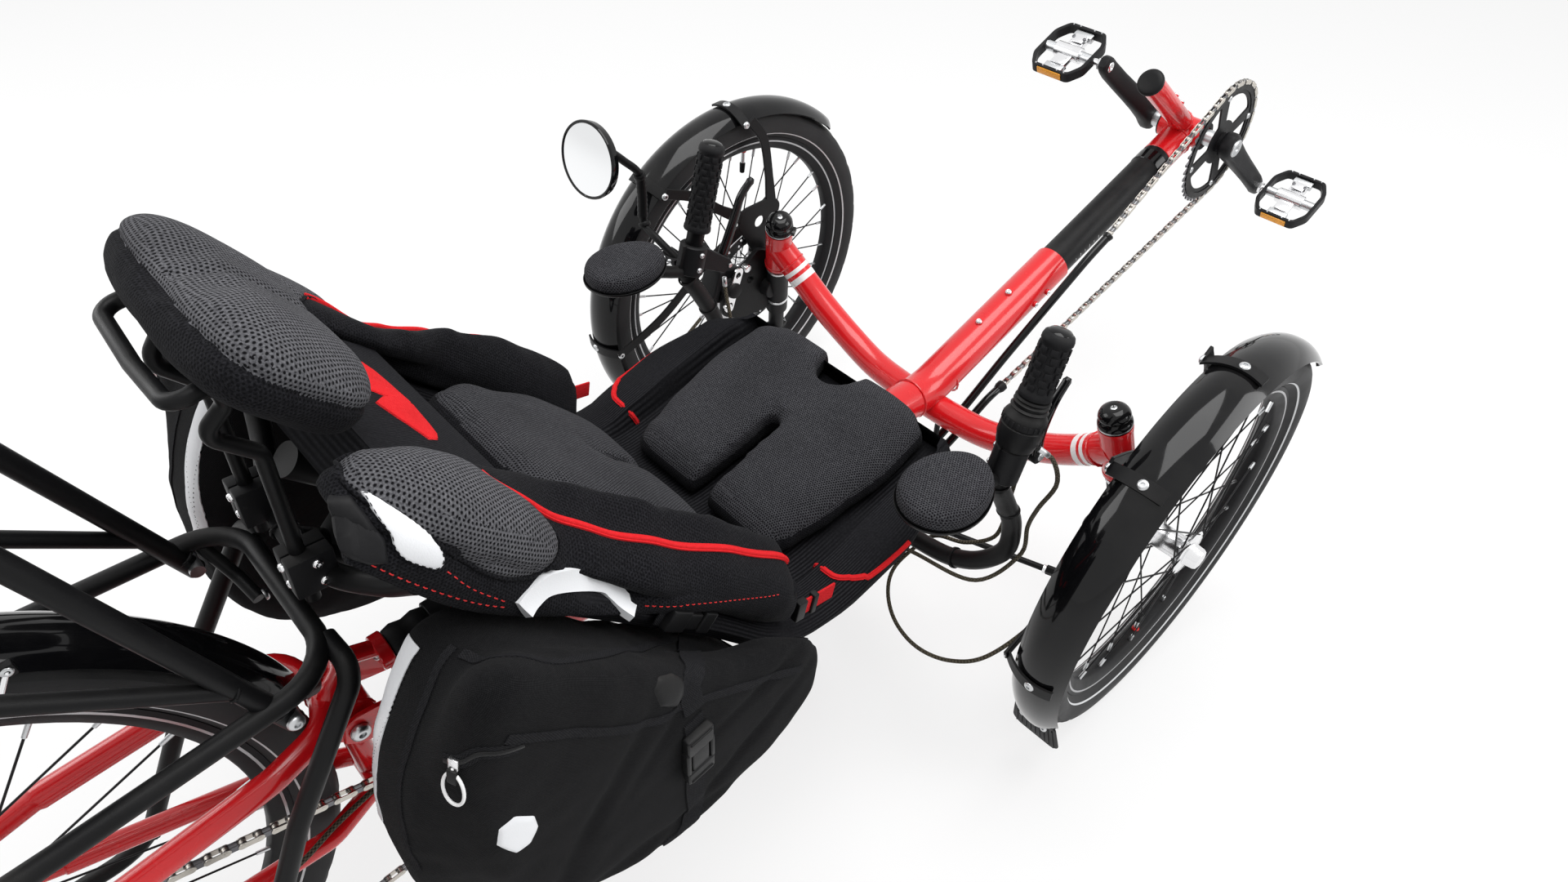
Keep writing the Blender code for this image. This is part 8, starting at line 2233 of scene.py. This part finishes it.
# Trim laid on the soft pieces, placed from the photograph and carried to the far side
def skin_of(*names):
    """A search tree over the finished surface of some pieces, in the drawing's frame."""
    points, faces = [], []
    for name in names:
        mesh = bpy.data.objects[name].data
        base = len(points)
        points += [v.co - DATUM for v in mesh.vertices]
        faces += [[i + base for i in f.vertices] for f in mesh.polygons]
    return BVHTree.FromPolygons(points, faces)


def sight(px, py):
    """Start and direction of the sight line through a place in the photograph."""
    reach = SENSOR / PHOTO_WIDE / CAMERA_LENS
    way = CAMERA_TURN.to_3x3() @ Vector(((px - PHOTO_WIDE / 2) * reach, (PHOTO_HIGH / 2 - py) * reach,
        -1.0))
    return CAMERA_AT - DATUM, way


def seen_at(px, py, tree):
    """Where the sight line through a place in the photograph meets a surface."""
    start, way = sight(px, py)
    way = way.normalized()
    spot = tree.ray_cast(start, way)[0]
    if spot is None:
        near = min((tree.find_nearest(start + way * (0.4 + 0.01 * k)) for k in range(170)),
            key=lambda hit: hit[3])
        spot = near[0] if near[3] < 0.035 else None
    return spot


def seen_on_plane(px, py, x):
    """Where the sight line through a place in the photograph meets the upright plane at x."""
    start, way = sight(px, py)
    return start + way * ((x - start.x) / way.x)


def seen_line(places, tree):
    return [spot for spot in (seen_at(px, py, tree) for px, py in places) if spot is not None]


def settled(points, tree, lift):
    """Points brought down to a surface, with the surface's own direction at each."""
    out = []
    for p in points:
        spot, normal, _, _ = tree.find_nearest(p)
        if (p - spot).dot(normal) < -0.02:
            normal = -normal
        out.append((spot + normal * lift, normal))
    return out


def tape(points, tree, width, thick, count=60, lift=0.0002):
    """A flat strip that lies on a surface along a line."""
    rows = settled(smooth(points, count), tree, lift)
    rings = []
    for i, (p, normal) in enumerate(rows):
        ahead = (rows[min(i + 1, count - 1)][0] - rows[max(i - 1, 0)][0]).normalized()
        side = ahead.cross(normal).normalized()
        edges = settled([p + side * (width / 2), p - side * (width / 2)], tree, lift)
        a, b = edges[0][0], edges[1][0]
        mids = settled([a.lerp(b, t) for t in (0.2, 0.5, 0.8)], tree, lift)
        top = [a] + [q for q, _ in mids] + [b]
        ring = [top[0]] + [q + normal * thick for q in top] + [top[-1]] + [q - normal * 0.0008
            for q in top[::-1]]
        rings.append(ring)
    return skin(rings)


def welt(points, tree, radius, count=120, lift=None):
    """A round piping cord half sunk into a surface."""
    rows = settled(smooth(points, count), tree, radius * 0.35 if lift is None else lift)
    return sweep([p for p, _ in rows], radius, 10)


def stitches(points, tree, length=0.0036, gap=0.0024, radius=0.00042):
    """A run of separate stitches along a line."""
    run = [Vector(p) for p in points]
    total = sum((b - a).length for a, b in zip(run, run[1:]))
    count = max(3, int(total / (length + gap)))
    fine = settled(smooth(run, count * 4 + 1), tree, 0.0003)
    shapes = []
    for i in range(count):
        part = fine[i * 4:i * 4 + 3]
        shapes.append(sweep([part[0][0] - part[0][1] * 0.0005, part[1][0] + part[1][1] * 0.0002,
            part[2][0] - part[2][1] * 0.0005], radius, 6))
    return shapes


def topmost(p, tree, out):
    """The outermost place of a surface under p, looked for against the direction out."""
    spot, normal, _, _ = tree.ray_cast(p + out * 0.045, -out, 0.09)
    if spot is None:
        spot, normal = settled([p], tree, 0.0)[0]
    return spot, normal if normal.dot(out) > 0.2 else out


def fair_sheet(tree, outline):
    """The place and direction of a fair sheet drawn over an uneven surface."""
    middle = sum((Vector(p) for p in outline), Vector()) / len(outline)
    out = sum((normal for _, normal in settled(outline, tree, 0.0)), Vector()).normalized()
    across_it = out.orthogonal().normalized()
    along_it = out.cross(across_it)
    rows, heights = [], []
    for p in outline:
        for share in (1.0, 0.8, 0.6, 0.4, 0.2):
            reach = topmost(middle.lerp(p, share), tree, out)[0] - middle
            x, y = reach.dot(across_it), reach.dot(along_it)
            rows.append((1.0, x, y, x * x, x * y, y * y))
            heights.append(reach.dot(out))
    rows, heights = np.array(rows), np.array(heights)
    fit = np.linalg.lstsq(rows, heights, rcond=None)[0]
    over = float(np.percentile(heights - rows @ fit, 80))

    def place(p):
        x, y = (p - middle).dot(across_it), (p - middle).dot(along_it)
        high = float(fit @ np.array((1.0, x, y, x * x, x * y, y * y))) + over
        normal = out - across_it * (fit[1] + 2 * fit[3] * x + fit[4] * y) - along_it * (fit[2] + fit[4] * x
            + 2 * fit[5] * y)
        return middle + across_it * x + along_it * y + out * high, normal.normalized()
    return place


def band(points, place, width, thick, count=60):
    """A flat strip with straight ends, carried by a fair sheet."""
    line = smooth(points, count)
    rings = []
    for i, p in enumerate(line):
        _, normal = place(p)
        side = (line[min(i + 1, count - 1)] - line[max(i - 1, 0)]).cross(normal).normalized()
        top = [place(p + side * (width * share)) for share in (0.5, 0.25, 0.0, -0.25, -0.5)]
        ring = [top[0][0] - top[0][1] * 0.005] + [q + n * thick for q,
            n in top] + [top[-1][0] - top[-1][1] * 0.005]
        rings.append(ring)
    return skin(rings)


def panel(outline, tree, thick, crown=0.0, cells=26, lift=0.0003, place=None):
    """A sheet with a smooth outline laid on a surface, and crowned towards its middle."""
    middle = sum((Vector(p) for p in outline), Vector()) / len(outline)
    out = sum((normal for _, normal in settled(outline, tree, 0.0)), Vector()).normalized()
    rings = []
    for k in range(cells + 1):
        share = 1.0 - k / cells
        ring = []
        for p in outline:
            p = middle.lerp(p, max(share, 0.001))
            spot, normal = place(p) if place else topmost(p, tree, out)
            rise = thick + crown * (1.0 - share ** 3)
            if k == 0:
                rise = -0.005 if place else -0.0008
            elif k == 1:
                rise = thick * 0.75
            ring.append(spot + normal * (lift + rise))
        rings.append(ring)
    return skin(rings, True, False)


def side_skirts():
    """Fabric sides of the seat cover, from the bolsters' outer edge down to their hem."""
    tree = skin_of("mesh_bolster_right")
    top = smooth(seen_line([(412, 588), (450, 612), (490, 632), (530, 656), (562, 682), (600, 702),
        (660, 712), (740, 722), (830, 728), (910, 728), (972, 708)], tree), 60)
    hem_places = [(424, 690), (462, 708), (505, 726), (545, 741), (585, 750), (640, 755), (710, 754),
        (790, 752), (870, 748), (935, 740), (980, 722)]
    hem = [seen_on_plane(px, py, 0.176 + 0.034 * k / 10) for k, (px, py) in enumerate(hem_places)]
    hem = smooth(hem, 60)
    for side, label in SIDES:
        rings = []
        for a, b in zip(top, hem):
            ring = []
            for share, out in ((0.0, -0.002), (0.15, 0.0012), (0.4, 0.004), (0.65, 0.0042), (0.88, 0.0026),
                    (1.0, 0.0), (1.02, -0.003), (0.98, -0.006), (0.6, -0.006), (0.2, -0.009),
                    (0.0, -0.011)):
                p = a.lerp(b, share)
                ring.append(sided(side, (p.x + out, p.y, p.z)))
            rings.append(ring)
        obj = make("seat_side_cover_" + label, "frame", [(skin(rings), BLACK_MESH)], 60.0)
        obj.data.materials.append(RIBBED)
        flat_pattern(obj, False)


def seat_trim():
    """Red piping, the shoulder panels, pale patches, corner flaps and dashed seams."""
    right = skin_of("mesh_bolster_right")
    pan = skin_of("seat_pan")
    cover = skin_of("seat_side_cover_right", "mesh_bolster_right")
    middle = skin_of("seat_pan", "mesh_bolster_right", "mesh_bolster_left", "grey_back_pad")
    trees = {1: (right, pan, cover),
        -1: (skin_of("mesh_bolster_left"), pan, skin_of("seat_side_cover_left", "mesh_bolster_left"))}
    crest = seen_line([(587, 580), (600, 590), (625, 604), (655, 622), (690, 638), (730, 650), (780, 660),
        (860, 671), (930, 679), (978, 680)], right)
    lip = seen_line([(992, 690), (1010, 695), (1035, 695), (1060, 687), (1085, 672), (1108, 652)], pan)
    lip = [p + Vector((0.014, 0.0, -0.006)) for p in lip]
    oval = seen_line([(402, 552), (420, 536), (455, 533), (500, 543), (550, 562), (600, 588), (645, 618),
        (672, 645), (684, 668), (678, 688), (655, 704), (625, 709), (595, 702), (562, 684), (530, 660),
        (490, 636), (450, 616), (420, 590)], cover)
    drop = seen_line([(436, 598), (450, 602), (480, 620), (512, 642), (534, 662), (545, 684), (540, 698),
        (518, 694), (494, 684), (480, 668), (476, 655), (458, 630)], cover)
    chevron = seen_line([(636, 748), (652, 732), (672, 716), (700, 711), (730, 713), (748, 724), (762, 735),
        (776, 747)], cover)
    flap = seen_line([(404, 606), (428, 606), (450, 632), (472, 660), (476, 690), (452, 692), (428, 684),
        (410, 650)], cover)
    rows = [seen_line(places, cover) for places in ([(455, 692), (500, 712), (545, 728), (590, 740), (622,
        744)], [(790, 742), (870, 738), (935, 731), (972, 716)], [(548, 700), (580, 722), (622, 738)])]
    triangle = seen_line([(424, 436), (440, 442), (456, 453), (474, 468), (492, 484), (508, 498),
        (490, 494), (464, 484), (438, 474), (430, 456)], middle)
    clip = [seen_on_plane(px, py, 0.206) for px, py in ((812, 758), (870, 760))]
    red_strap = [seen_on_plane(px, py, 0.204) for px, py in ((976, 748), (1020, 722))]

    def loop(line, count):
        return evenly([Vector(p) for p in line] + [line[0]], count + 1)[:-1]
    for side, label in SIDES:
        wing, base, hem = trees[side]
        turn = (lambda line: line) if side > 0 else mirrored_line
        parts = [(tape(turn(crest), wing, 0.0068, 0.0012, 120, 0.0004), PIPING),
            (welt(turn(crest), wing, 0.0022, 140, 0.0014), PIPING)]
        if len(lip) > 3:
            add(parts, PIPING, tape(turn(lip), base, 0.006, 0.0012, 60, 0.0004),
                welt(turn(lip), base, 0.002, 70, 0.0012))
        make("red_piping_" + label, "frame", parts, 50.0)
        ring = smooth(turn(oval) + [turn(oval)[0]], 73)[:-1]
        obj = make("grey_shoulder_panel_" + label, "frame", [(panel(ring, hem, 0.0022, 0.006), LIGHT_MESH)],
            60.0)
        flat_pattern(obj, True)
        make("shoulder_panel_seam_" + label, "frame",
            [(welt(ring + ring[:1], hem, 0.0014, 150, 0.0012), BLACK_MESH)], 60.0)
        ring = smooth(turn(drop) + [turn(drop)[0]], 61)[:-1]
        sheet = fair_sheet(hem, ring)
        parts = [(panel(ring, hem, 0.0014, 0.0008, 14, 0.0006, sheet), PALE_PATCH)]
        for k in range(0, 60, 2):
            a, b = (sheet(ring[i].lerp(sum(ring, Vector()) / 60, 0.1)) for i in (k, k + 1))
            add(parts, WEBBING, sweep([a[0] + a[1] * 0.002, a[0].lerp(b[0], 0.5) + a[1] * 0.0024,
                b[0] + b[1] * 0.002], 0.0003, 6))
        make("pale_shoulder_patch_" + label, "frame", parts, 50.0)
        sheet = fair_sheet(hem, turn(chevron))
        parts = [(band(turn(chevron), sheet, 0.0165, 0.0016), PALE_PATCH)]
        make("pale_side_patch_" + label, "frame", parts, 50.0)
        make("shoulder_corner_" + label, "frame",
            [(panel(loop(turn(flap), 48), hem, 0.0024, 0.0012, 12, 0.0012), SOFT_RUBBER)], 50.0)
        make("red_stitching_" + label, "frame",
            [(shape, THREAD) for row in rows for shape in stitches(turn(row), hem)], 60.0)
        ring = loop(turn(triangle), 48)
        sheet = fair_sheet(middle, ring)
        make("red_back_panel_" + label, "frame",
            [(panel(ring, middle, 0.001, 0.0006, 10, 0.0004, sheet), PIPING)], 50.0)
        a, b = turn(clip)
        parts = [(block((0.009, 0.02, 0.024), a.lerp(b, 0.26), aligned(b - a), 0.0018, 3), PLASTIC),
            (block((0.007, 0.015, 0.02), a.lerp(b, 0.55), aligned(b - a), 0.0018, 3), PLASTIC),
            (block((0.009, 0.02, 0.016), a.lerp(b, 0.86), aligned(b - a), 0.0018, 3), PLASTIC),
            (block((0.0018, 0.017, 0.07), a.lerp(b, 0.5)
            - Vector((turn([Vector((0.004, 0, 0))])[0].x, 0, 0)), aligned(b - a), 0.0004, 1), WEBBING)]
        a, b = turn(red_strap)
        parts += [(block((0.0024, 0.019, (b - a).length), a.lerp(b, 0.5), aligned(b - a), 0.0008, 2),
            RED_WEBBING), (block((0.008, 0.024, 0.012), a.lerp(b, 0.06), aligned(b - a), 0.0016, 3),
            PLASTIC), (block((0.008, 0.024, 0.007), a.lerp(b, 0.42), aligned(b - a), 0.0016, 3), PLASTIC)]
        make("seat_cover_strap_" + label, "frame", parts, 50.0)


def bag_trim():
    """Reflective strip, flap seams, zip, patches, buckle and straps of each side bag."""
    tree = skin_of("canvas_side_bag_right")
    far = skin_of("canvas_side_bag_left")
    outer = seen_line([(495, 775), (468, 828), (451, 860), (441, 906), (436, 957), (436, 1000)], tree)
    inner = seen_line([(517, 792), (485, 855), (466, 900), (457, 950), (455, 1000)], tree)
    flap = seen_line([(565, 800), (620, 803), (720, 806), (830, 782), (880, 778), (990, 757)], tree)
    second = seen_line([(620, 905), (700, 897), (790, 885), (850, 860), (920, 838), (980, 818)], tree)
    rear = seen_line([(556, 792), (524, 850), (502, 911), (490, 962), (495, 1015), (512, 1064)], tree)
    hexagon = seen_line([(607, 1035), (610, 1015), (630, 999), (655, 998), (660, 1012), (650, 1032),
        (632, 1045)], tree)
    dark = seen_line([(800, 846), (805, 828), (822, 823), (836, 831), (839, 850), (828, 866), (808, 866)],
        tree)
    zip_line = seen_line([(545, 930), (565, 932), (590, 922), (640, 912)], tree)
    strap = seen_line([(848, 880), (850, 915), (851, 960), (848, 990), (835, 1020), (818, 1048)], tree)
    top_strap = seen_line([(838, 760), (842, 790), (846, 830), (849, 870)], tree)
    for side, label in SIDES:
        surface = tree if side > 0 else far
        turn = (lambda line: line) if side > 0 else mirrored_line
        parts = []
        if len(outer) > 3 and len(inner) > 3:
            a, b = smooth(turn(outer), 40), smooth(turn(inner), 40)
            middle = [p.lerp(q, 0.5) for p, q in zip(a, b)]
            wide = sum((p - q).length for p, q in zip(a, b)) / 40
            add(parts, REFLECTOR, tape(middle, surface, max(0.018, min(0.03, wide)), 0.0006, 60))
            for line in (a, b):
                parts += [(shape, CANVAS) for shape in stitches(line, surface, 0.003, 0.0016, 0.0005)]
        for line, wide in ((flap, 0.0075), (second, 0.007), (rear, 0.0065)):
            if len(line) > 2:
                add(parts, WEBBING, tape(turn(line), surface, wide, 0.0009, 80))
                for shape in stitches([p + Vector((0, 0, -0.0048)) for p in turn(line)], surface, 0.0026,
                        0.0016, 0.00035):
                    add(parts, WEBBING, shape)
        for ring, look in ((hexagon, PALE_PATCH), (dark, PLASTIC)):
            if len(ring) > 4:
                add(parts, look, panel(evenly([Vector(p) for p in turn(ring)] + [turn(ring)[0]], 49)[:-1],
                    surface, 0.0012, 0.0004, 8))
        if len(zip_line) > 2:
            add(parts, WEBBING, tape(turn(zip_line), surface, 0.01, 0.0006, 50))
            teeth = settled(smooth(turn(zip_line), 70), surface, 0.001)
            for p, normal in teeth:
                add(parts, PLASTIC, block((0.0012, 0.0034, 0.001), p, aligned(normal), 0.0002, 1))
            head, normal = teeth[12]
            add(parts, ALLOY, block((0.007, 0.009, 0.003), head + normal * 0.0012, aligned(normal), 0.0008))
            down = (Vector((0, 0, -1)) - normal * -normal.z).normalized()
            loop = [head + normal * 0.0022 + down * 0.003]
            for k in range(25):
                a = math.pi * 2 * k / 24
                loop.append(head + normal * 0.0026 + down * (0.02 - 0.0135 * math.cos(a))
                    + down.cross(normal) * 0.0068 * math.sin(a) * (1.0 + 0.25 * math.sin(a / 2)))
            add(parts, WHITE, sweep(loop, 0.0012, 8))
            add(parts, PLASTIC,
                block((0.007, 0.011, 0.003), head + normal * 0.003 + down * 0.009, aligned(normal), 0.001))
        if len(strap) > 2:
            add(parts, WEBBING, tape(turn(top_strap), surface, 0.02, 0.0012, 50, 0.0004),
                tape(turn(strap), surface, 0.02, 0.0012, 60, 0.0004))
            spot, normal = settled([turn(strap)[1]], surface, 0.0)[0]
            down = (turn(strap)[2] - turn(strap)[0]).normalized()
            place = Matrix((down.cross(normal).normalized(), down, normal)).transposed().to_4x4()
            place.translation = spot + normal * 0.005
            for size, at in (((0.027, 0.02, 0.008), (0, -0.018, 0)), ((0.018, 0.026, 0.006),
                    (0, 0.004, 0.0004)), ((0.028, 0.014, 0.0085), (0, 0.022, 0)), ((0.0044, 0.028, 0.008),
                    (0.0125, 0.002, 0)), ((0.0044, 0.028, 0.008), (-0.0125, 0.002, 0)), ((0.024, 0.0022,
                    0.0095), (0, 0.027, 0.0004)), ((0.023, 0.0022, 0.0095), (0, -0.024, 0.0004))):
                add(parts, PLASTIC, block(size, at, None, 0.0018, 3).moved(place))
        if parts:
            make("side_bag_trim_" + label, "frame", parts, 50.0)


# Floor, light and camera
def whitened(node, strength):
    node.inputs["Color"].default_value = rgba((1.0, 1.0, 1.0))
    node.inputs["Strength"].default_value = strength
    return node


def seen_directly(tree):
    """One for rays from the camera, off a gloss or through glass, and nought for light itself."""
    rays = tree.nodes.new("ShaderNodeLightPath").outputs
    straight = maths(tree, "MAXIMUM", rays["Is Camera Ray"], rays["Is Glossy Ray"])
    return maths(tree, "MAXIMUM", straight, rays["Is Transmission Ray"])


def mixed(tree, share, first, second, output):
    """Two shaders joined by a share and given to an output."""
    mix = tree.nodes.new("ShaderNodeMixShader")
    tree.links.new(share, mix.inputs["Fac"])
    tree.links.new(first.outputs[0], mix.inputs[1])
    tree.links.new(second.outputs[0], mix.inputs[2])
    tree.links.new(mix.outputs[0], output.inputs["Surface"])


def studio():
    """A wide pale floor, soft lamps at a plain level and a white surround."""
    mesh = bpy.data.meshes.new("floor")
    half = 12.0
    mesh.from_pydata([(-half, -half, 0), (half, -half, 0), (half, half, 0), (-half, half, 0)], [],
        [(0, 1, 2, 3)])
    floor = bpy.data.objects.new("studio_floor", mesh)
    bpy.context.scene.collection.objects.link(floor)
    mat = bpy.data.materials.new("pale_floor")
    mat.use_nodes = True
    tree = mat.node_tree
    shader = tree.nodes["Principled BSDF"]
    shader.inputs["Base Color"].default_value = (0.88, 0.88, 0.88, 1.0)
    shader.inputs["Roughness"].default_value = 0.9
    shader.inputs["Specular IOR Level"].default_value = 0.0
    glow = whitened(tree.nodes.new("ShaderNodeEmission"), 1.0)
    mixed(tree, maths(tree, "MULTIPLY", seen_directly(tree), 0.72), shader, glow,
        tree.nodes["Material Output"])
    mesh.materials.append(mat)

    world = bpy.data.worlds.new("studio")
    bpy.context.scene.world = world
    world.use_nodes = True
    tree = world.node_tree
    ground = whitened(tree.nodes["Background"], 0.55)
    white = whitened(tree.nodes.new("ShaderNodeBackground"), 1.0)
    mixed(tree, seen_directly(tree), ground, white, tree.nodes["World Output"])

    for name, place, aim, size, watts in (("overhead_softbox", (0.3, 0.4, 3.2), (0.0, -0.1, 0.3), 2.2,
            75.0), ("front_softbox", (2.6, 1.9, 1.9), (0.0, -0.1, 0.3), 1.6, 38.0),
            ("rear_softbox", (-2.4, -1.6, 2.0), (0.0, -0.3, 0.4), 1.6, 32.0)):
        lamp = bpy.data.lights.new(name, "AREA")
        lamp.size = size
        lamp.energy = watts
        obj = bpy.data.objects.new(name, lamp)
        obj.location = place
        obj.rotation_euler = (Vector(aim) - Vector(place)).to_track_quat("-Z", "Y").to_euler()
        bpy.context.scene.collection.objects.link(obj)


def photo_camera():
    camera = bpy.data.cameras.new("photo_camera")
    camera.lens = CAMERA_LENS
    camera.sensor_width = SENSOR
    camera.clip_end = 60.0
    obj = bpy.data.objects.new("photo_camera", camera)
    bpy.context.scene.collection.objects.link(obj)
    obj.matrix_world = Matrix.Translation(CAMERA_AT) @ CAMERA_TURN
    bpy.context.scene.camera = obj


# The whole tricycle, from the ground up
photo_camera()
studio()
seat_pads()
armrests()
side_bags()
swell()
wheels()
main_frame()
boom()
chainring()
cranks()
pedals()
handlebar()
grips()
brake_levers()
track_rods()
uprights()
front_fenders()
mirror()
seat_shell()
neck_stand()
seat_stand()
rack()
swingarm()
elastomer()
rear_fender()
cassette()
idler()
derailleur()
chain()
cables()
side_skirts()
seat_trim()
bag_trim()

bpy.context.scene.view_settings.view_transform = "Standard"
